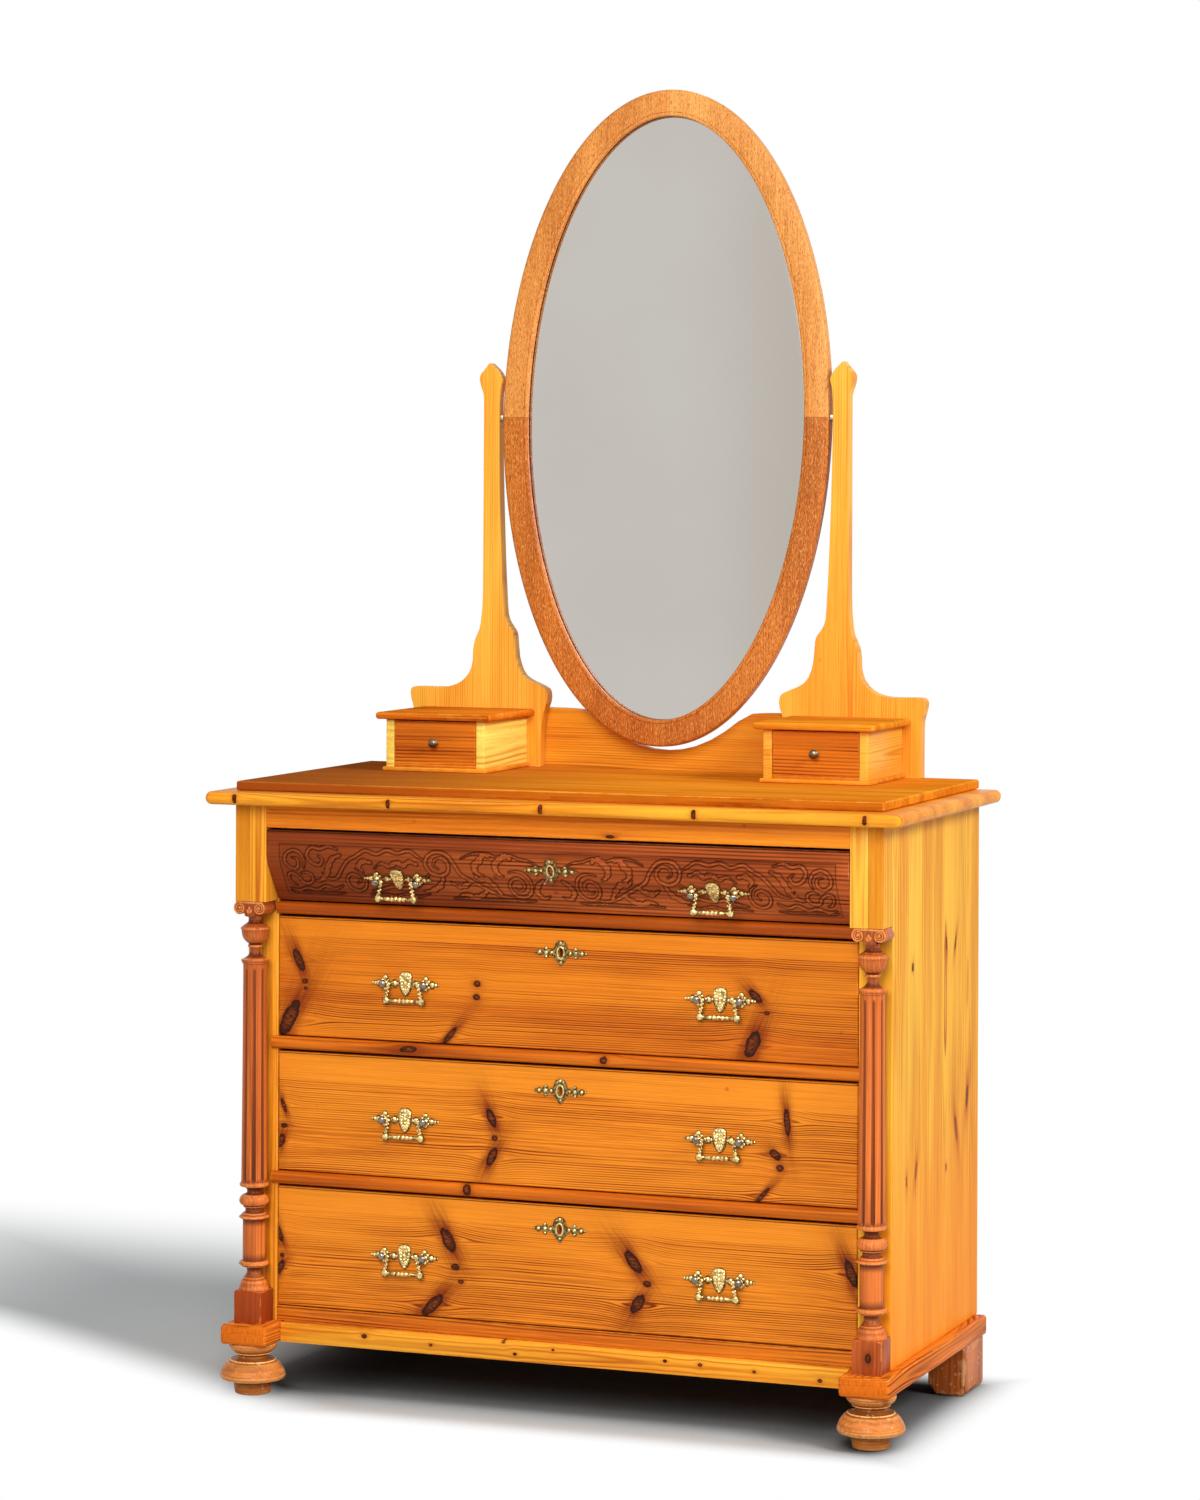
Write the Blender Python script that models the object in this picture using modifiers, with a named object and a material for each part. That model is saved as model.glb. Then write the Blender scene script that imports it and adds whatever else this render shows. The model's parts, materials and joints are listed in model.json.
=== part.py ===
"""Pine chest of four drawers with turned columns, two jewel cases and a swinging oval mirror."""
import math

import bmesh
import bpy
from mathutils import Matrix, Vector

# Sizes in metres. X runs across the front, Y from front to back, Z up.

# Clearances
SEAT = 0.0003
SLIDE_GAP = 0.001
PIN_GAP = 0.0003

# Carcass
CARCASS_WIDTH = 0.980
CARCASS_DEPTH = 0.476
SIDE_THICK = 0.0215
STILE_STRIP = 0.0265
STILE_DEPTH = 0.022
RECESS = 0.044
RAIL_DEPTH = 0.022
BACK_THICK = 0.008
FLOOR_THICK = 0.022

# Feet and base frame
FOOT_HEIGHT = 0.0735
BUN_RADIUS = 0.0475
BACK_FOOT_WIDTH = 0.056
BACK_FOOT_DEPTH = 0.100
BACK_FOOT_INSET = 0.005
BACK_FOOT_CHAMFER = 0.016
BASE_THICK = 0.028
BASE_OVERHANG = 0.015
BASE_SIDE_WIDTH = 0.073
BASE_RAIL_SETBACK = 0.0335
BASE_RAIL_WIDTH = 0.070
BASE_ROUNDING = 0.003
BUN_INSET = 0.036

# Drawer levels
LOWER_FACE = 0.172
TOP_FACE = 0.105
UNDER_GAP = 0.0018
OVER_GAP = 0.0042
TOP_OVER_GAP = 0.0034
DIVIDER_THICK = 0.018
DIVIDER_DEPTH = 0.080
NOSE_REACH = 0.008
NOSE_FLAT = 0.001
NOSE_STEPS = 6
NOSE_LAP = 0.0075
RUNNER_WIDTH = 0.0445
TOP_RAIL_HEIGHT = 0.0326

# Top
OVERHANG = 0.035
MOULDING_THICK = 0.019
MOULDING_ROUNDING = 0.0088
TOP_THICK = 0.0135
TOP_ROUNDING = 0.002

# Columns
COLUMN_BLOCK = 0.043
PLINTH_HEIGHT = 0.0477
CAPITAL_HEIGHT = 0.0215
SCROLL_REACH = 0.003
SHAFT_RADIUS = 0.0180
FLUTE_COUNT = 8
FLUTE_RADIUS = 0.0052
FLUTE_SINK = 0.0026
FLUTE_END = 0.011

# Drawers
FACE_THICK = 0.022
FACE_ROUNDING = 0.0015
BOX_WALL = 0.012
BOX_LENGTH = 0.390
BOX_DROP = 0.012
BOX_FLOOR = 0.006
BOX_FLOOR_LIFT = 0.008
TAIL_LENGTH = 0.014
TAIL_COUNT = 3
TAIL_FLARE = 0.0035
TAIL_SHARE = 0.22
KEY_WIDTH = 0.0050
KEY_HEIGHT = 0.0120
KEY_DEPTH = 0.016

# Brass fittings
HANDLE_X = 0.2395
HANDLE_LIFT = 0.083
HANDLE_LIFT_TOP = 0.0405
ESCUTCHEON_LIFT = 0.138
ESCUTCHEON_LIFT_TOP = 0.062
PLATE_THICK = 0.0022
PLATE_HALF_WIDTH = 0.052
SHIELD_RISE = 0.0175
SHIELD_HALF_WIDTH = 0.0095
POST_SPACING = 0.0636
POST_RADIUS = 0.0035
POST_REACH = 0.0125
DOME_RADIUS = 0.0050
DOME_HEIGHT = 0.0045
PIVOT_REACH = 0.0085
PIN_RADIUS = 0.0013
PIN_LENGTH = 0.0022
BAIL_TOP_SPACING = 0.046
BAIL_BAR_SPACING = 0.055
BAIL_DROP = 0.0240
ARM_RADIUS = 0.0020
BAR_RADIUS = 0.0017
BEAD_RADIUS = 0.0036
BOSS_RADIUS = 0.0046
BOSS_THICK = 0.0052
ESCUTCHEON_HALF_WIDTH = 0.040
ESCUTCHEON_RISE = 0.0178
ESCUTCHEON_OVAL = 0.0095
KEY_WIRE_RADIUS = 0.0011
KEY_WIRE_REACH = 0.026
KEY_WIRE_FALL = 0.012

# Mirror stand
UPRIGHT_HEAD = 0.0831
UPRIGHT_WIDTH = 0.2086
UPRIGHT_THICK = 0.021
BACKBOARD_THICK = 0.014
BACKBOARD_RISE = 0.0895
BACKBOARD_DROP = 0.032
BACKBOARD_LAP = 0.1024
SHOULDER_BLEND = 0.010
SCOOP_GAP = 0.0065
MIRROR_HALF_WIDTH = 0.2619
MIRROR_HALF_HEIGHT = 0.4964
MIRROR_THICK = 0.018
MIRROR_FACE = 0.040
MIRROR_LEDGE = 0.008
MIRROR_LIP = 0.008
MIRROR_ROUNDING = 0.004
MIRROR_BEAD = 0.002
MIRROR_TILT = 0.0412
MIRROR_CLEARANCE = 0.0359
PIVOT_GAP = 0.006
GLASS_THICK = 0.005
GLASS_BEVEL = 0.026
GLASS_BEVEL_SINK = 0.0025
BACKING_THICK = 0.004
PIVOT_RADIUS = 0.003
PIVOT_HOLE_DEPTH = 0.014
COLLAR_RADIUS = 0.0065

# Jewel cases
CASE_INSET = 0.0216
CASE_WIDTH = 0.1590
CASE_DEPTH = 0.170
CASE_WALL = 0.013
CASE_FLOOR = 0.0105
CASE_OPENING = 0.067
CASE_TOP_THICK = 0.0105
CASE_TOP_OVERHANG = 0.013
CASE_FOOT_OVERHANG = 0.0045
CASE_FOOT_THICK = 0.006
CASE_BACK = 0.008
CASE_ROUNDING = 0.0045
SMALL_WALL = 0.008
SMALL_FACE = 0.012
SMALL_GAP = 0.0008
KNOB_RADIUS = 0.0068
KNOB_REACH = 0.013

# Smoothness
BUN_STEPS = 20
COLUMN_STEPS = 16
OVAL_POINTS = 62
SMALL_STEPS = 8
THIN_STEPS = 6
SMOOTH_ANGLE = math.radians(35)
FLAT_ANGLE = math.radians(0.1)

# Derived levels
BASE_BOTTOM = FOOT_HEIGHT + SEAT
BASE_TOP = BASE_BOTTOM + BASE_THICK
FLOOR_BOTTOM = BASE_TOP + SEAT
FLOOR_TOP = FLOOR_BOTTOM + FLOOR_THICK
PITCH = UNDER_GAP + LOWER_FACE + OVER_GAP + DIVIDER_THICK
DIVIDER_TOPS = [FLOOR_TOP + PITCH * step for step in (3, 2, 1)]
BEARING = DIVIDER_TOPS + [FLOOR_TOP]
FACE_BOTTOMS = [level + UNDER_GAP for level in BEARING]
FACE_HEIGHTS = [TOP_FACE, LOWER_FACE, LOWER_FACE, LOWER_FACE]
RAIL_BOTTOM = FACE_BOTTOMS[0] + TOP_FACE + TOP_OVER_GAP
CARCASS_TOP = RAIL_BOTTOM + TOP_RAIL_HEIGHT
NOTCH_TOP = DIVIDER_TOPS[0] + UNDER_GAP
MOULDING_BOTTOM = CARCASS_TOP + SEAT
MOULDING_TOP = MOULDING_BOTTOM + MOULDING_THICK
SLAB_BOTTOM = MOULDING_TOP + SEAT
SLAB_TOP = SLAB_BOTTOM + TOP_THICK
STAND_BOTTOM = SLAB_TOP + SEAT

# Derived places
HALF = CARCASS_WIDTH / 2
SIDE_INNER = HALF - SIDE_THICK
OPEN_HALF = SIDE_INNER - SEAT - STILE_STRIP
PIVOT_FROM_BACK = UPRIGHT_THICK / 2
MIRROR_BACK = (
    CARCASS_DEPTH - PIVOT_FROM_BACK
    + MIRROR_HALF_HEIGHT * math.sin(MIRROR_TILT)
    + MIRROR_THICK / 2 * math.cos(MIRROR_TILT)
)
BACK_REACH = max(MIRROR_BACK, CARCASS_DEPTH + SEAT + BACKBOARD_THICK)
FRONT = (OVERHANG - BACK_REACH) / 2
BACK = FRONT + CARCASS_DEPTH
INNER_BACK = BACK - BACK_THICK - SEAT
FACE_Y = FRONT + RECESS
FACE_HALF = OPEN_HALF - SLIDE_GAP
BOX_HALF = FACE_HALF - SLIDE_GAP
COLUMN_X = HALF - COLUMN_BLOCK / 2
COLUMN_Y = FRONT + COLUMN_BLOCK / 2
PIVOT_Y = BACK - PIVOT_FROM_BACK
PIVOT_HEIGHT = MIRROR_HALF_HEIGHT + MIRROR_CLEARANCE
PIVOT_Z = STAND_BOTTOM + PIVOT_HEIGHT
UPRIGHT_HEIGHT = PIVOT_HEIGHT + UPRIGHT_HEAD
UPRIGHT_FACE_Y = BACK - UPRIGHT_THICK
CASE_BACK_Y = UPRIGHT_FACE_Y - SEAT
CASE_FRONT_Y = CASE_BACK_Y - CASE_DEPTH

# Turned profiles, as shares of the height from the foot and of the largest radius
BUN_SHARES = (
    (1.000, 0.715), (0.930, 0.730), (0.895, 0.680), (0.855, 0.510), (0.815, 0.475),
    (0.790, 0.430), (0.740, 0.430), (0.705, 0.510), (0.680, 0.690), (0.640, 0.750),
    (0.570, 0.885), (0.495, 0.970), (0.405, 1.000), (0.350, 0.970), (0.305, 0.880),
    (0.268, 0.650), (0.250, 0.580), (0.055, 0.568), (0.000, 0.505),
)

# Column between plinth and capital, as shares of that height and of the shaft radius
COLUMN_SHARES = (
    (1.0000, 0.620), (0.9870, 0.520), (0.9770, 0.730), (0.9720, 0.900), (0.9650, 1.125),
    (0.9560, 1.080), (0.9420, 1.010), (0.9270, 0.850), (0.9160, 0.660), (0.9100, 0.730),
    (0.9040, 0.560), (0.8930, 0.540), (0.8850, 0.960), (0.8765, 1.085), (0.8690, 0.990),
    (0.8640, 1.000), (0.2790, 1.000), (0.2740, 0.860), (0.2640, 0.740), (0.2580, 0.760),
    (0.2530, 1.000), (0.2385, 1.095), (0.2260, 1.000), (0.2180, 0.880), (0.2100, 1.060),
    (0.2010, 1.095), (0.1920, 1.040), (0.1880, 0.900), (0.0770, 0.880), (0.0730, 1.030),
    (0.0660, 1.070), (0.0590, 1.030), (0.0550, 0.720), (0.0400, 0.640), (0.0310, 0.700),
    (0.0140, 1.040), (0.0060, 1.175), (0.0000, 1.185),
)
FLUTE_TOP_SHARE = 0.8500
FLUTE_LOW_SHARE = 0.2850

# Curved top drawer face, as shares of its height and of the recess
BOMBE_SHARES = (
    (0.000, 1.000), (0.110, 0.780), (0.220, 0.575), (0.460, 0.200), (0.520, 0.118),
    (0.590, 0.047), (0.660, 0.010), (0.720, 0.000), (1.000, 0.000),
)

# Upright outline, as shares of its foot width outwards from the inner edge, and of its height
INNER_EDGE_SHARES = (
    (0.000, 0.000), (-0.004, 0.080), (-0.022, 0.130), (-0.052, 0.160), (-0.056, 0.180),
    (-0.036, 0.194), (0.032, 0.205), (0.110, 0.217), (0.164, 0.236), (0.199, 0.272),
    (0.212, 0.322), (0.230, 0.338), (0.264, 0.354), (0.289, 0.376), (0.300, 0.430),
    (0.312, 0.510), (0.328, 0.669), (0.337, 0.828), (0.337, 0.908), (0.327, 0.940),
    (0.316, 0.958), (0.345, 0.978), (0.380, 0.990), (0.412, 1.000),
)
OUTER_EDGE_SHARES = (
    (0.412, 1.000), (0.446, 0.986), (0.480, 0.972), (0.489, 0.960), (0.476, 0.940),
    (0.457, 0.920), (0.455, 0.892), (0.455, 0.796), (0.456, 0.629), (0.457, 0.435),
    (0.467, 0.374), (0.484, 0.338), (0.519, 0.312), (0.534, 0.284), (0.536, 0.260),
    (0.562, 0.230), (0.626, 0.207), (0.700, 0.196), (0.774, 0.192), (0.900, 0.192),
    (0.990, 0.192), (1.020, 0.188), (1.032, 0.178), (1.022, 0.158), (1.004, 0.135),
    (1.000, 0.096), (1.000, 0.000),
)

# Places across the stand, from the mirror's rim outwards
STRIP_SHARE = INNER_EDGE_SHARES[17][0]
STRIP = MIRROR_HALF_WIDTH + PIVOT_GAP
UPRIGHT_INNER = STRIP - UPRIGHT_WIDTH * STRIP_SHARE
BACKBOARD_HALF = UPRIGHT_INNER + BACKBOARD_LAP
CASE_INNER = UPRIGHT_INNER + CASE_INSET

# Handle plate, right half, as shares of its half width and of the shield's rise
PLATE_SHARES = (
    (0.085, 0.960), (0.165, 0.740), (0.165, 0.230), (0.215, 0.110), (0.330, 0.350),
    (0.430, 0.120), (0.500, 0.140), (0.540, 0.560), (0.606, 0.720), (0.670, 0.560),
    (0.710, 0.240), (0.840, 0.270), (0.900, 0.100),
)
PLATE_LOW_SHARES = (
    (0.900, 0.100), (0.840, 0.270), (0.710, 0.240), (0.660, 0.540), (0.606, 0.620),
    (0.550, 0.540), (0.500, 0.140), (0.430, 0.120), (0.330, 0.350), (0.215, 0.110),
    (0.175, 0.200), (0.145, 0.560), (0.070, 0.860),
)

# Escutcheon, right half, as shares of its half width and of its rise
ESCUTCHEON_SHARES = (
    (0.110, 0.960), (0.200, 0.760), (0.255, 0.420), (0.300, 0.220), (0.420, 0.120),
    (0.480, 0.360), (0.560, 0.500), (0.640, 0.340), (0.700, 0.130), (0.820, 0.250),
    (0.920, 0.110),
)
ESCUTCHEON_LOW_SHARES = (
    (0.920, 0.110), (0.820, 0.250), (0.700, 0.130), (0.640, 0.340), (0.560, 0.500),
    (0.480, 0.360), (0.420, 0.120), (0.300, 0.220), (0.235, 0.420), (0.150, 0.700),
    (0.060, 0.880),
)

# Bail bar from its middle to one end, as shares of its half length; True where a bead swells
BAR_SHARES = (
    (0.000, True), (0.075, False), (0.150, True), (0.225, False), (0.300, True),
    (0.375, False), (1.000, False),
)

# Knob, as shares of its reach from the face and of its radius
KNOB_SHARES = (
    (1.000, 0.420), (0.940, 0.800), (0.800, 1.000), (0.640, 0.960), (0.520, 0.620),
    (0.420, 0.480), (0.140, 0.520), (0.060, 0.760), (0.000, 0.760),
)


def clear_scene():
    """Remove every object that the scene starts with."""
    for item in list(bpy.data.objects):
        bpy.data.objects.remove(item, do_unlink=True)


clear_scene()
CHEST = bpy.data.collections.new("chest_of_drawers_with_mirror")
bpy.context.scene.collection.children.link(CHEST)


def finish(name, colour, roughness, metallic=0.0):
    """Return a plain surface of one colour."""
    surface = bpy.data.materials.new(name)
    surface.use_nodes = True
    shader = surface.node_tree.nodes["Principled BSDF"]
    shader.inputs["Base Color"].default_value = (*colour, 1.0)
    shader.inputs["Roughness"].default_value = roughness
    shader.inputs["Metallic"].default_value = metallic
    surface.diffuse_color = (*colour, 1.0)
    return surface


PINE = finish("honey_pine", (0.72, 0.30, 0.055), 0.35)
PINE_SIDE = finish("golden_pine", (0.80, 0.37, 0.06), 0.38)
DARK = finish("stained_pine", (0.20, 0.045, 0.015), 0.40)
TURNED = finish("turned_wood", (0.33, 0.09, 0.03), 0.38)
VENEER = finish("veneered_frame", (0.50, 0.18, 0.045), 0.38)
RAW = finish("raw_pine", (0.70, 0.48, 0.26), 0.60)
BRASS = finish("cast_brass", (0.80, 0.60, 0.28), 0.30, 1.0)
STEEL = finish("bright_steel", (0.60, 0.58, 0.55), 0.30, 1.0)
BRONZE = finish("bronze", (0.22, 0.17, 0.11), 0.38, 1.0)
GLASS = finish("silvered_glass", (0.75, 0.76, 0.76), 0.05, 1.0)


def place(name, mesh):
    """Return a new object holding the mesh, in the chest's collection."""
    item = bpy.data.objects.new(name, mesh)
    CHEST.objects.link(item)
    return item


def bake(item):
    """Replace an object's mesh by what its modifiers make of it."""
    graph = bpy.context.evaluated_depsgraph_get()
    graph.update()
    mesh = bpy.data.meshes.new_from_object(item.evaluated_get(graph))
    item.modifiers.clear()
    item.data = mesh
    return item


def merge(item, tool, operation):
    """Join a tool to an object or cut it away, and remove the tool."""
    change = item.modifiers.new(operation.lower(), "BOOLEAN")
    change.operation = operation
    change.solver = "EXACT"
    change.object = tool
    bake(item)
    bpy.data.objects.remove(tool, do_unlink=True)
    return item


def join(item, *tools):
    """Join each tool to the object."""
    for tool in tools:
        merge(item, tool, "UNION")
    return item


def cut(item, *tools):
    """Cut each tool out of the object."""
    for tool in tools:
        merge(item, tool, "DIFFERENCE")
    return item


def block(name, x, y, z):
    """Return a box between two x, two y and two z values."""
    shape = bmesh.new()
    bmesh.ops.create_cube(shape, size=1.0)
    size = Vector((x[1] - x[0], y[1] - y[0], z[1] - z[0]))
    middle = Vector((sum(x) / 2, sum(y) / 2, sum(z) / 2))
    bmesh.ops.scale(shape, vec=size, verts=shape.verts)
    bmesh.ops.translate(shape, vec=middle, verts=shape.verts)
    mesh = bpy.data.meshes.new(name)
    shape.to_mesh(mesh)
    shape.free()
    return place(name, mesh)


TURNS = {
    "plan": Matrix.Identity(4),
    "front": Matrix.Rotation(math.radians(90), 4, "X"),
    "side": Matrix(((0, 0, 1, 0), (1, 0, 0, 0), (0, 1, 0, 0), (0, 0, 0, 1))),
}
LIFTS = {"plan": Vector((0, 0, 1)), "front": Vector((0, 1, 0)), "side": Vector((1, 0, 0))}


def board(name, loops, facing, low, high):
    """Return a flat outline, with any holes, given thickness between two values."""
    outline = bpy.data.curves.new(name, "CURVE")
    outline.dimensions = "2D"
    outline.fill_mode = "BOTH"
    outline.extrude = (high - low) / 2
    for loop in loops:
        spline = outline.splines.new("POLY")
        spline.points.add(len(loop) - 1)
        for point, (across, along) in zip(spline.points, loop):
            point.co = (across, along, 0, 1)
        spline.use_cyclic_u = True
    sketch = place(name + "_sketch", outline)
    graph = bpy.context.evaluated_depsgraph_get()
    graph.update()
    mesh = bpy.data.meshes.new_from_object(sketch.evaluated_get(graph))
    bpy.data.objects.remove(sketch, do_unlink=True)
    shape = bmesh.new()
    shape.from_mesh(mesh)
    bmesh.ops.remove_doubles(shape, verts=shape.verts, dist=0.000001)
    bmesh.ops.transform(shape, matrix=TURNS[facing], verts=shape.verts)
    bmesh.ops.translate(shape, vec=LIFTS[facing] * (low + high) / 2, verts=shape.verts)
    bmesh.ops.recalc_face_normals(shape, faces=shape.faces)
    shape.to_mesh(mesh)
    shape.free()
    mesh.name = name
    return place(name, mesh)


def turned(name, profile, steps, move):
    """Return a turned piece from a profile of radius and height, top first."""
    mesh = bpy.data.meshes.new(name)
    points = [(0, 0, profile[0][1])] + [(r, 0, h) for r, h in profile] + [(0, 0, profile[-1][1])]
    mesh.from_pydata(points, [(i, i + 1) for i in range(len(points) - 1)], [])
    item = place(name, mesh)
    screw = item.modifiers.new("turn", "SCREW")
    screw.steps = steps
    screw.render_steps = steps
    screw.use_merge_vertices = True
    screw.merge_threshold = 0.00002
    bake(item)
    item.data.transform(move)
    return item


def shift(x, y, z):
    """Return a move."""
    return Matrix.Translation((x, y, z))


def soften(item, width, segments, chosen=None):
    """Round an object's sharp edges, or only those edges that a test chooses."""
    bevel = item.modifiers.new("rounding", "BEVEL")
    bevel.width = width
    bevel.segments = segments
    bevel.use_clamp_overlap = True
    if chosen is None:
        bevel.limit_method = "ANGLE"
        bevel.angle_limit = SMOOTH_ANGLE
    else:
        bevel.limit_method = "WEIGHT"
        weights = item.data.attributes.new("bevel_weight_edge", "FLOAT", "EDGE")
        for edge in item.data.edges:
            ends = [item.data.vertices[i].co for i in edge.vertices]
            weights.data[edge.index].value = 1.0 if chosen(*ends) else 0.0
    return bake(item)


def simplify(item):
    """Remove the points that lie on flat faces and straight edges."""
    shape = bmesh.new()
    shape.from_mesh(item.data)
    bmesh.ops.dissolve_limit(
        shape, angle_limit=FLAT_ANGLE, verts=shape.verts[:], edges=shape.edges[:]
    )
    bmesh.ops.triangulate(shape, faces=shape.faces[:])
    shape.to_mesh(item.data)
    shape.free()


def dress(item, surface, smooth=False):
    """Give an object its surface, and smooth shading where it is round."""
    simplify(item)
    item.data.materials.clear()
    item.data.materials.append(surface)
    if smooth:
        item.data.shade_smooth()
        item.data.set_sharp_from_angle(angle=SMOOTH_ANGLE)
    else:
        item.data.shade_flat()
    return item


def hang(item, origin, parent=None):
    """Put an object's origin at a point, and tie it to its parent."""
    item.data.transform(shift(*(-Vector(origin))))
    item.location = origin
    if parent is not None:
        item.parent = parent
        item.matrix_parent_inverse = shift(*parent.location).inverted()
    return item


def anchor(name, origin):
    """Return an empty that carries a moving assembly."""
    empty = bpy.data.objects.new(name, None)
    empty.empty_display_size = COLUMN_BLOCK
    CHEST.objects.link(empty)
    empty.location = origin
    return empty


def oval(inset):
    """Return the points of the mirror's oval, moved in from its rim."""
    turn = 2 * math.pi / OVAL_POINTS
    result = []
    for i in range(OVAL_POINTS):
        across, along = math.sin(turn * i), math.cos(turn * i)
        normal = Vector((across / MIRROR_HALF_WIDTH, along / MIRROR_HALF_HEIGHT)).normalized()
        result.append((
            MIRROR_HALF_WIDTH * across - inset * normal.x,
            MIRROR_HALF_HEIGHT * along - inset * normal.y,
        ))
    return result


def flat_curve(name, loop):
    """Return a closed flat curve through the points."""
    curve = bpy.data.curves.new(name, "CURVE")
    curve.dimensions = "2D"
    curve.fill_mode = "NONE"
    spline = curve.splines.new("POLY")
    spline.points.add(len(loop) - 1)
    for point, (across, along) in zip(spline.points, loop):
        point.co = (across, along, 0, 1)
    spline.use_cyclic_u = True
    return curve


def swept(name, route, section):
    """Return a ring made by sweeping a section round a closed upright route."""
    guide = place(name + "_section", flat_curve(name + "_section", section))
    path = flat_curve(name, route)
    path.bevel_mode = "OBJECT"
    path.bevel_object = guide
    sketch = place(name + "_route", path)
    graph = bpy.context.evaluated_depsgraph_get()
    graph.update()
    mesh = bpy.data.meshes.new_from_object(sketch.evaluated_get(graph))
    bpy.data.objects.remove(sketch, do_unlink=True)
    bpy.data.objects.remove(guide, do_unlink=True)
    shape = bmesh.new()
    shape.from_mesh(mesh)
    bmesh.ops.remove_doubles(shape, verts=shape.verts, dist=0.000001)
    bmesh.ops.transform(shape, matrix=TURNS["front"], verts=shape.verts)
    bmesh.ops.recalc_face_normals(shape, faces=shape.faces)
    shape.to_mesh(mesh)
    shape.free()
    return place(name, mesh)


def smooth_curve(points, pieces):
    """Return points of a flowing curve through the given ones."""
    rows = [points[0]] + list(points) + [points[-1]]
    result = []
    for a, b, c, d in zip(rows, rows[1:], rows[2:], rows[3:]):
        for step in range(pieces):
            t = step / pieces
            result.append(tuple(
                ((2 * q) + (r - p) * t + (2 * p - 5 * q + 4 * r - s) * t ** 2
                 + (3 * q - p - 3 * r + s) * t ** 3) / 2
                for p, q, r, s in zip(a, b, c, d)
            ))
    return result + [tuple(points[-1])]


def level_at(height, profile):
    """Return how far back the curved top face lies at a height."""
    for (low, near), (high, far) in zip(profile, profile[1:]):
        if low <= height <= high:
            return near + (far - near) * (height - low) / (high - low)
    return profile[0][1] if height < profile[0][0] else profile[-1][1]


BOMBE = [
    (FACE_BOTTOMS[0] + rise * TOP_FACE, FRONT + back * RECESS) for rise, back in BOMBE_SHARES
]


def bend_to_face(item, thick):
    """Bend a flat plate so that its back follows the curved top face."""
    shape = bmesh.new()
    shape.from_mesh(item.data)
    for height, _ in BOMBE:
        bmesh.ops.bisect_plane(
            shape, geom=shape.verts[:] + shape.edges[:] + shape.faces[:],
            plane_co=(0, 0, height), plane_no=(0, 0, 1), dist=0.000001,
        )
    for vert in shape.verts:
        vert.co.y += level_at(vert.co.z, BOMBE)
    bmesh.ops.recalc_face_normals(shape, faces=shape.faces)
    shape.to_mesh(item.data)
    shape.free()
    return item


# Base and feet

def build_base():
    """Make the base frame and the four feet."""
    outer = HALF + BASE_OVERHANG
    inner = outer - BASE_SIDE_WIDTH
    front = FRONT - BASE_OVERHANG
    rail = FRONT + BASE_RAIL_SETBACK
    outline = [
        (-outer, front), (-inner, front), (-inner, rail), (inner, rail), (inner, front),
        (outer, front), (outer, BACK), (-outer, BACK),
    ]
    hole = [
        (-inner, rail + BASE_RAIL_WIDTH), (inner, rail + BASE_RAIL_WIDTH),
        (inner, BACK - BASE_RAIL_WIDTH), (-inner, BACK - BASE_RAIL_WIDTH),
    ]
    frame = board("base_frame", [outline, hole], "plan", BASE_BOTTOM, BASE_TOP)
    edge = outer - BASE_ROUNDING

    def outside(a, b):
        return (
            abs(a.z - b.z) < BASE_ROUNDING
            and (max(abs(a.x), abs(b.x)) > edge or max(a.y, b.y) < rail - BASE_ROUNDING)
            and max(a.y, b.y) <= BACK
            and not (min(a.y, b.y) > BACK - BASE_ROUNDING)
        )

    soften(frame, BASE_ROUNDING, 2, outside)
    dress(frame, PINE, True)
    profile = [(BUN_RADIUS * r, FOOT_HEIGHT * h) for h, r in BUN_SHARES]
    foot_y = front + BUN_INSET
    for side, name in ((-1, "foot_front_left"), (1, "foot_front_right")):
        foot_x = side * (outer - BUN_INSET)
        dress(turned(name, profile, BUN_STEPS, shift(foot_x, foot_y, 0)), TURNED, True)
    near = outer - BACK_FOOT_INSET
    far = near - BACK_FOOT_WIDTH
    small = BACK_FOOT_CHAMFER / 4
    for side, name in ((-1, "foot_back_left"), (1, "foot_back_right")):
        loop = [
            (side * near, FOOT_HEIGHT), (side * near, small), (side * (near - small), 0),
            (side * (far + BACK_FOOT_CHAMFER * 0.75), 0), (side * far, BACK_FOOT_CHAMFER),
            (side * far, FOOT_HEIGHT),
        ]
        dress(board(name, [loop], "front", BACK - BACK_FOOT_DEPTH, BACK), PINE)


# Carcass

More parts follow.
